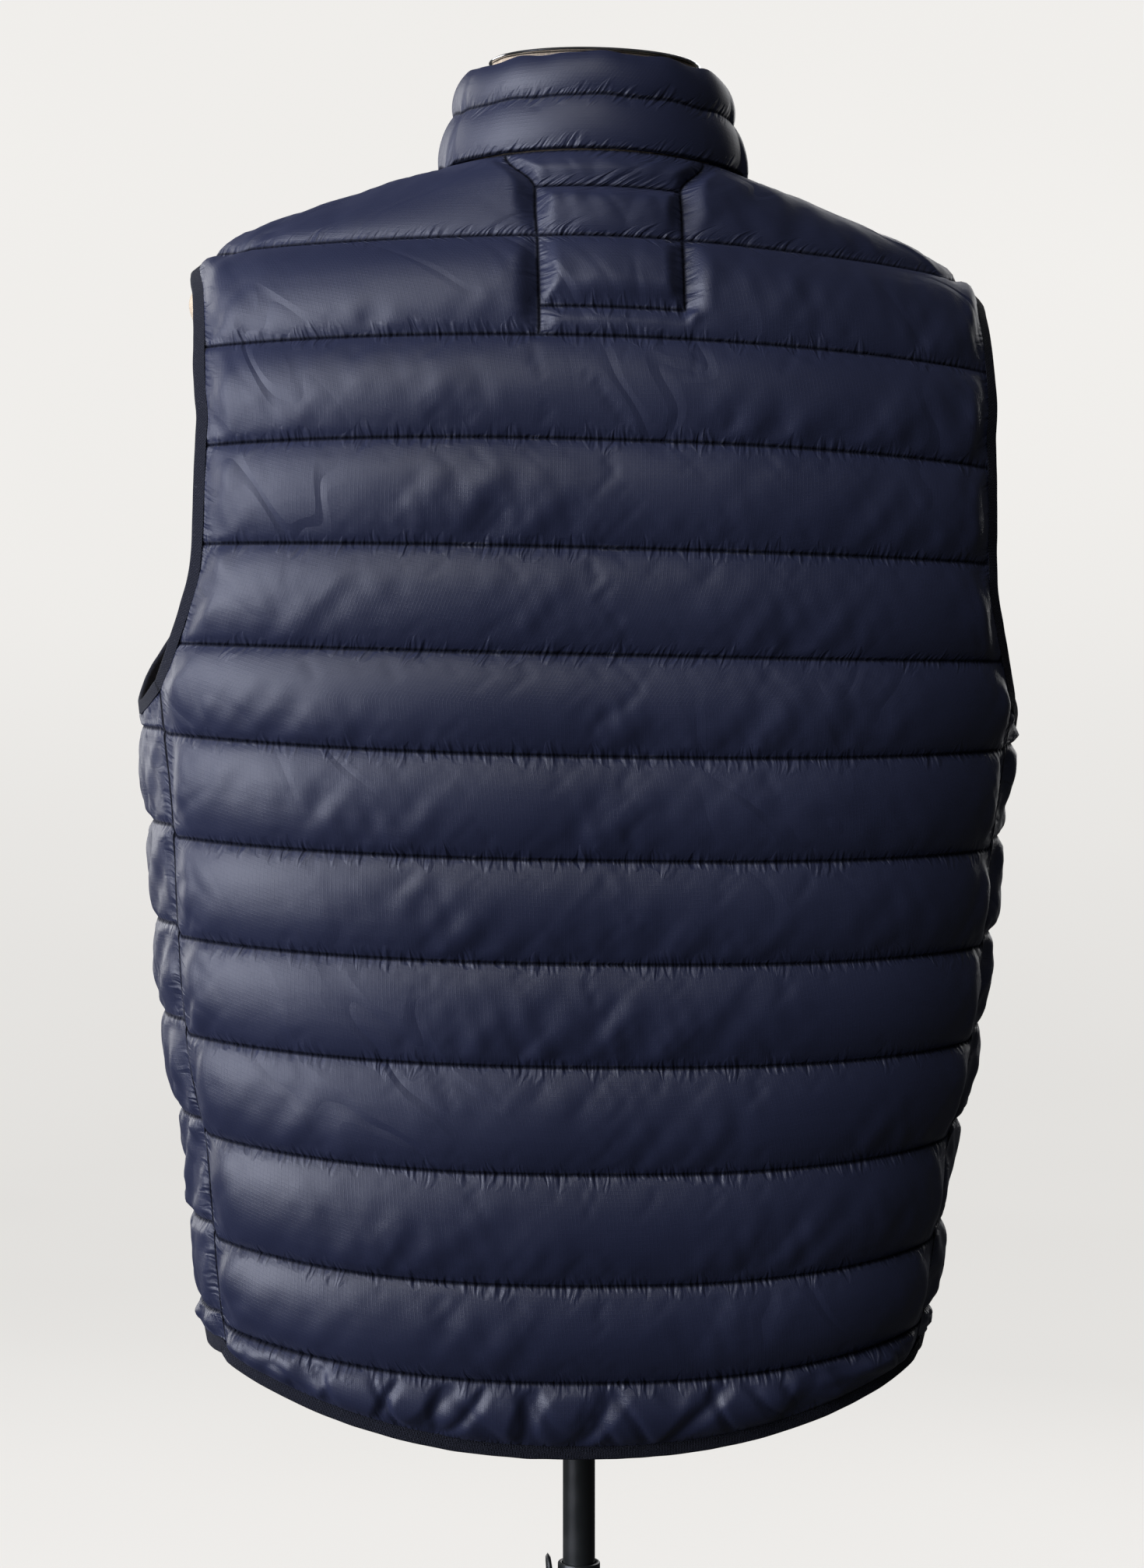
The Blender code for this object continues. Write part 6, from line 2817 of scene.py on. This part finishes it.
def framed_slab(shape: Shape, outline: Sequence, window: Sequence, thick: float) -> None:
    """Adds a flat plate with a window: two outlines of as many points, in X and Z.

    Args:
        shape: The shape to add to.
        outline: The plate's outer points.
        window: As many points round its window.
        thick: Its thickness.
    """
    rings = []
    insets = ((-0.5, 0.93), (-0.34, 1.0), (0.34, 1.0), (0.5, 0.93))
    for depth, scale in insets:
        centre = np.array(outline).mean(axis=0)
        outer = centre + (np.array(outline) - centre) * np.array([scale, 1 - (1 - scale) * 0.25])
        hole = np.array(window)
        rings.append(
            [[shape.verts.new((x, depth * thick, z)) for x, z in ring] for ring in (outer, hole)]
        )
    count = len(outline)
    for i in range(count):
        j = (i + 1) % count
        for low, high in zip(rings, rings[1:]):
            for which in (0, 1):
                a, b = low[which], high[which]
                shape.faces.new((a[i], a[j], b[j], b[i]))
        for ring in (rings[0], rings[-1]):
            shape.faces.new((ring[0][i], ring[0][j], ring[1][j], ring[1][i]))


def rounded_bar(wide: float, low: float, high: float, radius: float) -> list:
    """The outline of an upright bar with rounded corners, in X and Z.

    Args:
        wide: The bar's width.
        low: Its lower end.
        high: Its upper end.
        radius: The corners' radius.

    Returns:
        The points.
    """
    points = []
    for side, end, start in ((1, 1, 0), (-1, 1, 90), (-1, -1, 180), (1, -1, 270)):
        x = side * (wide / 2 - radius)
        z = (high if end > 0 else low) - end * radius
        for degrees in (start, start + 30, start + 60, start + 90):
            angle = math.radians(degrees)
            points.append((x + radius * math.cos(angle), z + radius * math.sin(angle)))
    return points


def bail_outline(face: float, reach: float, length: float) -> tuple[list, list]:
    """The outer and inner curves of the slider's bail, in Y and Z.

    Args:
        face: How far the slider's front is from its middle.
        reach: How far the bail stands off it.
        length: The bail's length.

    Returns:
        The two curves.
    """
    turn = np.linspace(-math.pi / 2, math.pi / 2, 9)
    outer = [(-face - reach * math.cos(a) ** 0.6, length / 2 * math.sin(a)) for a in turn]
    inner = [(-face - 0.1 * reach - (reach - 0.0008) * math.cos(a) ** 0.6 * 0.9,
              (length / 2 - 0.0012) * math.sin(a)) for a in turn]
    return outer, inner


def strap(shape: Shape, curves: tuple[list, list], width: float) -> None:
    """Adds a bent strap between two curves in Y and Z, of a width across X.

    Args:
        shape: The shape to add to.
        curves: The outer and the inner curve.
        width: The strap's width.
    """
    outer, inner = curves
    columns = []
    for x in (-width / 2, width / 2):
        columns.append([[shape.verts.new((x, y, z)) for y, z in curve] for curve in (outer, inner)])
    left, right = columns
    for i in range(len(outer) - 1):
        shape.faces.new((left[0][i], left[0][i + 1], right[0][i + 1], right[0][i]))
        shape.faces.new((left[1][i + 1], left[1][i], right[1][i], right[1][i + 1]))
        for side in (left, right):
            shape.faces.new((side[0][i + 1], side[0][i], side[1][i], side[1][i + 1]))
    for end in (0, -1):
        shape.faces.new((left[0][end], right[0][end], right[1][end], left[1][end]))


# ---- The form and its cap ---------------------------------------------------------------------------


@dataclass
class DressForm:
    """The padded linen torso, cut from panels, and the chrome cap on its neck."""

    lean: Matrix
    surface: SectionSurface = SectionSurface(FORM_SECTIONS)
    columns: int = 120
    rows: int = 150
    inset: float = 0.0004
    seam_degrees: tuple[float, ...] = (90.0, -90.0, 12.0, 168.0, 58.0, 122.0, -58.0, -122.0)
    seam_depth: float = 0.0007
    seam_width: float = 0.006
    cap_radius: float = 0.0615
    cap_gap: float = 0.0003
    cap_band: float = 0.0016
    cap_crown: float = 0.0012

    def build(self) -> None:
        """Makes and adds the torso and the cap."""
        self.add_torso()
        self.add_cap()

    def heights(self) -> Array:
        """The rows' heights, closer together where the shoulders turn in.

        Returns:
            The heights.
        """
        at = column(self.surface.sections, "height")
        share = np.linspace(0.0, len(at) - 1.0, self.rows)
        return np.interp(share, np.arange(len(at)), at)

    def add_torso(self) -> None:
        """The torso, with a shallow groove along each sewn seam."""
        degrees = np.linspace(0.0, 360.0, self.columns + 1)[:-1]
        heights = self.heights()
        grid = self.surface.points(
            np.tile(degrees, (len(heights), 1)), np.tile(heights[:, None], (1, len(degrees)))
        )
        normals = self.surface.normals(grid)
        pitch = 360.0 / self.columns
        seams = [Seam(round(angle / pitch) % self.columns) for angle in self.seam_degrees]
        away = beside(run_length(grid, 1), seams, 1)
        groove = self.seam_depth * np.exp(-((away[..., 0] / self.seam_width) ** 2))
        grid = grid - normals * (self.inset + groove)[..., None]
        rows, columns = grid.shape[:2]
        faces = grid_faces(rows, columns, closed=True)
        last = rows * columns
        faces += [(i, last, (i + 1) % columns) for i in range(columns)]
        top = (rows - 1) * columns
        faces += [(top + (i + 1) % columns, last + 1, top + i) for i in range(columns)]
        ends = np.array([[0.0, 0.0, heights[0]], [0.0, 0.0, heights[-1]]])
        points = np.concatenate([grid.reshape(-1, 3), ends])
        mesh = mesh_from("form_torso_linen", points, faces, 50.0)
        face_outward(mesh)
        run = run_length(grid, 1).reshape(-1)
        rise = run_length(grid, 0).reshape(-1)
        weave = np.stack([run, rise, 0 * run], axis=1)
        write_layer(mesh, "weave", np.concatenate([weave, np.zeros((2, 3))]))
        stitch = np.stack([rise, away[..., 0].reshape(-1), away[..., 1].reshape(-1)], axis=1)
        write_layer(mesh, "stitch_sides", np.concatenate([stitch, np.ones((2, 3))]))
        piece = add_piece(mesh, CadBody.FORM, (LINEN,), ["form_torso"], self.lean)

    def add_cap(self) -> None:
        """The neck cap: a chrome band with a rolled edge round a low crown."""
        low = self.surface.sections[-1].height + self.cap_gap
        radius, band, crown = self.cap_radius, self.cap_band, self.cap_crown
        profile = [
            (0.0, low + band + crown), (radius * 0.35, low + band + crown * 0.93),
            (radius * 0.68, low + band + crown * 0.62), (radius * 0.90, low + band + crown * 0.2),
            (radius - 0.0026, low + band), (radius - 0.0008, low + band * 0.93),
            (radius - 0.0002, low + band * 0.7), (radius, low + band * 0.5),
            (radius - 0.0002, low + band * 0.2), (radius - 0.0006, low), (0.0, low)
        ]
        mesh = turned_mesh("neck_cap_chrome", profile, 96)
        add_piece(mesh, CadBody.FORM, (CHROME,), ["neck_cap"], self.lean)


def turned_mesh(name: str, profile: Sequence, segments: int) -> Mesh:
    """A turned piece, with the sharpness of its profile stored as its edge layer.

    Args:
        name: The mesh's name.
        profile: Points of radius and height. One that starts and ends on the axis is solid,
            and any other is closed into a tube.
        segments: How many faces go round it.

    Returns:
        The mesh.
    """
    solid = profile[0][0] == 0.0
    ring = np.array(profile, float)
    body = ring[1:-1] if solid else ring
    angle = np.linspace(0.0, math.tau, segments + 1)[:-1]
    points = np.stack(
        [
            body[:, :1] * np.cos(angle),
            body[:, :1] * np.sin(angle),
            np.repeat(body[:, 1:], segments, axis=1),
        ],
        axis=-1,
    ).reshape(-1, 3)
    faces = grid_faces(len(body), segments, closed=True)
    last = (len(body) - 1) * segments
    if solid:
        points = np.concatenate([points, [[0, 0, ring[0, 1]], [0, 0, ring[-1, 1]]]])
        centre = len(points) - 2
        faces += [(i, (i + 1) % segments, centre) for i in range(segments)]
        faces += [(last + i, centre + 1, last + (i + 1) % segments) for i in range(segments)]
    else:
        faces += [(last + i, last + (i + 1) % segments, (i + 1) % segments, i) for i in range(segments)]
    mesh = mesh_from(name, points, faces, 28.0)
    face_outward(mesh)
    before, after = body - np.roll(body, 1, axis=0), np.roll(body, -1, axis=0) - body
    turn = 1 - (unit(before + 1e-12) * unit(after + 1e-12)).sum(axis=1)
    sharp = np.repeat(np.clip(turn * 2, 0.0, 1.0), segments)
    write_layer(mesh, "edge", np.concatenate([sharp, np.zeros(len(points) - len(sharp))]))
    return mesh


# ---- The stand ---------------------------------------------------------------------------------------


@dataclass
class Stand:
    """The stand: sliding post with its socket, sleeve, wing screw, boss and round foot."""

    segments: int = 72
    lean_slope: float = 0.022
    form_bottom: float = 0.8150
    gap: float = 0.0003
    post_radius: float = 0.0095
    post_wall: float = 0.0012
    post_bottom: float = 0.330
    post_end_gap: float = 0.0012
    socket_radius: float = 0.0160
    socket_bore: float = 0.0102
    socket_depth: float = 0.0280
    plate_radius: float = 0.0450
    plate_thickness: float = 0.0035
    sleeve_radius: float = 0.0125
    sleeve_bore: float = 0.0100
    sleeve_top: float = 0.6715
    lip: float = 0.0009
    foot_radius: float = 0.190
    foot_thickness: float = 0.006
    boss_radius: float = 0.030
    boss_height: float = 0.022
    screw_height: float = 0.6580
    shank_radius: float = 0.0030
    hub_radius: float = 0.0060
    hub_length: float = 0.0075
    wing_span: float = 0.0380

    def build(self) -> None:
        """Makes and adds every piece of the stand."""
        self.add_socket()
        self.add_post()
        self.add_sleeve()
        self.add_foot()
        self.add_screw()

    def turn(self, name: str, profile: Sequence, body: CadBody, node: str) -> None:
        """Adds one turned piece in black enamel in place of its CAD node."""
        mesh = turned_mesh(name, profile, self.segments)
        add_piece(mesh, body, (ENAMEL,), [node])

    @property
    def plate_top(self) -> float:
        """The height of the socket plate's top, just clear of the leaning form."""
        return self.form_bottom - self.gap - self.lean_slope * self.plate_radius

    def add_socket(self) -> None:
        """The flanged socket under the form."""
        top, low = self.plate_top, self.plate_top - self.plate_thickness
        bottom, round_edge = self.plate_top - self.socket_depth, 0.0008
        profile = (
            (self.socket_bore, top), (self.plate_radius - round_edge, top),
            (self.plate_radius, top - round_edge), (self.plate_radius, low + round_edge),
            (self.plate_radius - round_edge, low), (self.socket_radius + 0.0030, low),
            (self.socket_radius + 0.0008, low - 0.0008), (self.socket_radius, low - 0.0030),
            (self.socket_radius, bottom + round_edge), (self.socket_radius - round_edge, bottom),
            (self.socket_bore, bottom)
        )
        self.turn("form_socket_flange", profile, CadBody.FORM, "form_socket")

    def add_post(self) -> None:
        """The inner tube, which slides in the sleeve."""
        top, inside = self.plate_top - self.post_end_gap, self.post_radius - self.post_wall
        edge = 0.0004
        profile = (
            (inside, top), (self.post_radius - edge, top), (self.post_radius, top - edge),
            (self.post_radius, self.post_bottom + edge), (self.post_radius - edge, self.post_bottom),
            (inside, self.post_bottom)
        )
        self.turn("stand_post_tube", profile, CadBody.POST, "stand_post")

    def add_sleeve(self) -> None:
        """The outer tube with its rolled lip, and the boss that it stands in."""
        low, top, lip = self.foot_thickness + self.gap, self.sleeve_top, self.lip
        bore, radius = self.sleeve_bore, self.sleeve_radius
        profile = (
            (bore, top - lip), (bore + lip * 0.3, top - lip * 0.3), (bore + lip, top),
            (radius - lip, top), (radius - lip * 0.3, top - lip * 0.3), (radius, top - lip),
            (radius, top - 0.020), (radius, top - 0.2), (radius, low), (bore, low)
        )
        self.turn("stand_sleeve_tube", profile, CadBody.STAND, "stand_sleeve")
        high, foot, edge = low + self.boss_height, self.foot_thickness, 0.0010
        inner, side = radius + self.gap, foot + 0.0060
        profile = (
            (inner, high), (radius + 0.0040 - edge, high), (radius + 0.0040, high - edge),
            (radius + 0.0075, high - 0.008), (self.boss_radius - edge, side + edge),
            (self.boss_radius, side), (self.boss_radius, low + edge), (self.boss_radius - edge, low),
            (inner, low)
        )
        self.turn("foot_boss_cone", profile, CadBody.STAND, "foot_boss")

    def add_foot(self) -> None:
        """The round plate foot."""
        radius, thick = self.foot_radius, self.foot_thickness
        profile = (
            (0.0, thick), (radius * 0.5, thick), (radius - 0.0040, thick),
            (radius - 0.0016, thick - 0.0007), (radius - 0.0004, thick - 0.0022),
            (radius, thick - 0.0040), (radius, 0.0015), (radius - 0.0015, 0.0), (0.0, 0.0)
        )
        mesh = turned_mesh("stand_foot_plate", profile, 2 * self.segments)
        add_piece(mesh, CadBody.STAND, (ENAMEL,), ["stand_foot"])

    def add_screw(self) -> None:
        """The wing screw: threaded shank, turned hub and two rounded wings."""
        inner = self.sleeve_radius + 2 * self.gap
        start, end = self.post_radius + self.gap, inner + self.hub_length
        profile = [(0.0, start)]
        thread = np.linspace(start + 0.0003, inner - 0.0002, 9)
        for index, height in enumerate(thread):
            profile.append((self.shank_radius - (0.0004 if index % 2 else 0.0), float(height)))
        profile += [
            (self.hub_radius - 0.0008, inner), (self.hub_radius, inner + 0.0008),
            (self.hub_radius * 0.9, inner + 0.0035), (self.hub_radius * 0.72, end - 0.0009),
            (self.hub_radius * 0.55, end), (0.0, end)
        ]
        hub = turned_mesh("screw_hub", profile, 32)
        shape = bmesh.new()
        shape.from_mesh(hub)
        bmesh.ops.rotate(shape, verts=shape.verts, matrix=Matrix.Rotation(math.pi / 2, 3, "Y"))
        self.add_wings(shape, inner)
        bpy.data.meshes.remove(hub)
        mesh = mesh_of(shape, "wing_screw_cast", 35.0)
        place = Matrix.Translation((0.0, 0.0, self.screw_height))
        add_piece(mesh, CadBody.SCREW, (ENAMEL,), ["wing_screw"], place)

    def add_wings(self, shape: Shape, inner: float) -> None:
        """Adds the screw's two wings, which swell towards their rounded tips.

        Args:
            shape: The screw's shape so far.
            inner: Where the hub starts, out from the pole's axis.
        """
        count, rings = 12, []
        for share in np.linspace(-1.0, 1.0, 17):
            away = abs(share)
            taper = 1 - away**1.5
            end = math.sqrt(max(0.02, 1 - max(0.0, (away - 0.82) / 0.18) ** 2))
            half_y = (0.0028 + 0.0034 * taper) * end
            half_x = 0.0021 * (0.7 + 0.3 * taper) * end
            middle, height = inner + 0.0035 + 0.0020 * away, share * self.wing_span / 2
            ring = []
            for i in range(count):
                angle = math.tau * i / count
                x = middle + half_x * math.copysign(abs(math.cos(angle)) ** 0.7, math.cos(angle))
                y = half_y * math.copysign(abs(math.sin(angle)) ** 0.8, math.sin(angle))
                ring.append(shape.verts.new((x, y, height)))
            rings.append(ring)
        for low, high in zip(rings, rings[1:]):
            for i in range(count):
                j = (i + 1) % count
                shape.faces.new((low[i], low[j], high[j], high[i]))
        shape.faces.new(rings[0][::-1])
        shape.faces.new(rings[-1])


# ---- The studio ------------------------------------------------------------------------------------


@dataclass
class SoftLight:
    """A square soft light: its place, size, power and tint."""

    place: tuple[float, float, float]
    size: float
    power: float
    tint: Color = (1.0, 1.0, 1.0)


@dataclass
class Studio:
    """A pale sweep that turns up all round, soft lights and the camera."""

    aim_height: float = 1.15
    camera_distance: float = 2.0
    camera_azimuth: float = 173.0
    camera_height: float = 1.212
    camera_pitch: float = 2.33
    camera_yaw: float = 0.117
    lens: float = 78.58
    sweep_radius: float = 9.0
    sweep_bend: float = 3.0
    sweep_height: float = 9.0
    ambient: float = 0.042
    lights: tuple[SoftLight, ...] = (
        SoftLight((3.0, 1.7, 2.0), 2.9, 235.0, (0.85, 0.88, 1.0)), SoftLight((0.8, 2.2, 3.4), 1.6, 26.0),
        SoftLight((2.4, -2.2, 1.9), 2.2, 60.0), SoftLight((-1.6, -2.8, 1.9), 2.0, 30.0)
    )

    def build(self) -> None:
        """Adds the sweep, the lights and the camera."""
        self.add_sweep()
        for index, light in enumerate(self.lights):
            self.add_light(index, light)
        world = bpy.data.worlds.new("studio_world")
        world.use_nodes = True
        shade = world.node_tree.nodes["Background"]
        shade.inputs["Color"].default_value = (0.94, 0.96, 1.0, 1.0)
        shade.inputs["Strength"].default_value = self.ambient
        bpy.context.scene.world = world
        bpy.context.scene.view_settings.view_transform = "Standard"
        self.add_camera()

    def add_sweep(self) -> None:
        """The floor, which curves up into the backdrop."""
        turn = np.linspace(0.0, math.pi / 2, 25)
        flat = self.sweep_radius - self.sweep_bend
        profile = [(0.0, 0.0)]
        profile += [(flat * share, 0.0) for share in (0.25, 0.5, 0.75)]
        profile += [
            (flat + self.sweep_bend * math.sin(a), self.sweep_bend * (1 - math.cos(a))) for a in turn
        ]
        profile.append((self.sweep_radius, self.sweep_height))
        segments = 96
        angle = np.linspace(0.0, math.tau, segments + 1)[:-1]
        rings = np.array(profile[1:])
        points = [
            (radius * math.cos(a), radius * math.sin(a), height) for radius,
            height in rings for a in angle
        ]
        faces = grid_faces(len(rings), segments, closed=True)
        points.append((0.0, 0.0, 0.0))
        faces += [((i + 1) % segments, i, len(points) - 1) for i in range(segments)]
        mesh = mesh_from("studio_sweep", np.array(points), faces, 60.0)
        mesh.materials.append(SWEEP.material())
        sweep = placed(mesh.name, mesh)
        sweep.visible_diffuse = sweep.visible_glossy = sweep.visible_shadow = False
        sweep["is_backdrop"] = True

    def add_light(self, index: int, light: SoftLight) -> None:
        """Adds one soft light that faces the vest.

        Args:
            index: The light's place in the list.
            light: The light.
        """
        data = bpy.data.lights.new(f"soft_light_{index + 1}", "AREA")
        data.size, data.energy, data.color = light.size, light.power, light.tint
        lamp = placed(data.name, data)
        lamp.location = light.place
        lamp.visible_camera = False
        aim = Vector((0.0, 0.0, self.aim_height)) - Vector(light.place)
        lamp.rotation_euler = aim.to_track_quat("-Z", "Y").to_euler()

    def add_camera(self) -> None:
        """Adds the camera, behind the vest and a little to the wearer's left."""
        data = bpy.data.cameras.new("camera")
        data.sensor_fit, data.sensor_height, data.lens = "VERTICAL", 36.0, self.lens
        camera = placed("camera", data)
        azimuth = math.radians(self.camera_azimuth)
        place = (math.sin(azimuth), -math.cos(azimuth))
        camera.location = (
            place[0] * self.camera_distance, place[1] * self.camera_distance, self.camera_height
        )
        heading = azimuth + math.radians(self.camera_yaw)
        ahead = Vector((-math.sin(heading), math.cos(heading), 0.0))
        ahead.z = -math.tan(math.radians(self.camera_pitch))
        camera.rotation_euler = ahead.to_track_quat("-Z", "Y").to_euler()
        bpy.context.scene.camera = camera


def clear_scene() -> None:
    """Removes what a new file starts with."""
    for thing in list(bpy.data.objects):
        bpy.data.objects.remove(thing)


def main() -> list:
    """Loads the CAD frame and builds the studio, the vest, its zip, the form and the stand.

    Returns:
        The CAD model's box, as it was before any piece was added.
    """
    logging.basicConfig(level=logging.INFO, format="%(message)s")
    clear_scene()
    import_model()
    box = [list(map(float, corner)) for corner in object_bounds()]
    lean, pattern = Lean().matrix(), Pattern()
    Studio().build()
    Vest(pattern, lean).build()
    Zip(pattern, Collar(pattern), lean).build()
    DressForm(lean).build()
    Stand().build()
    return box


if __name__ == "__main__":
    cad_box = main()
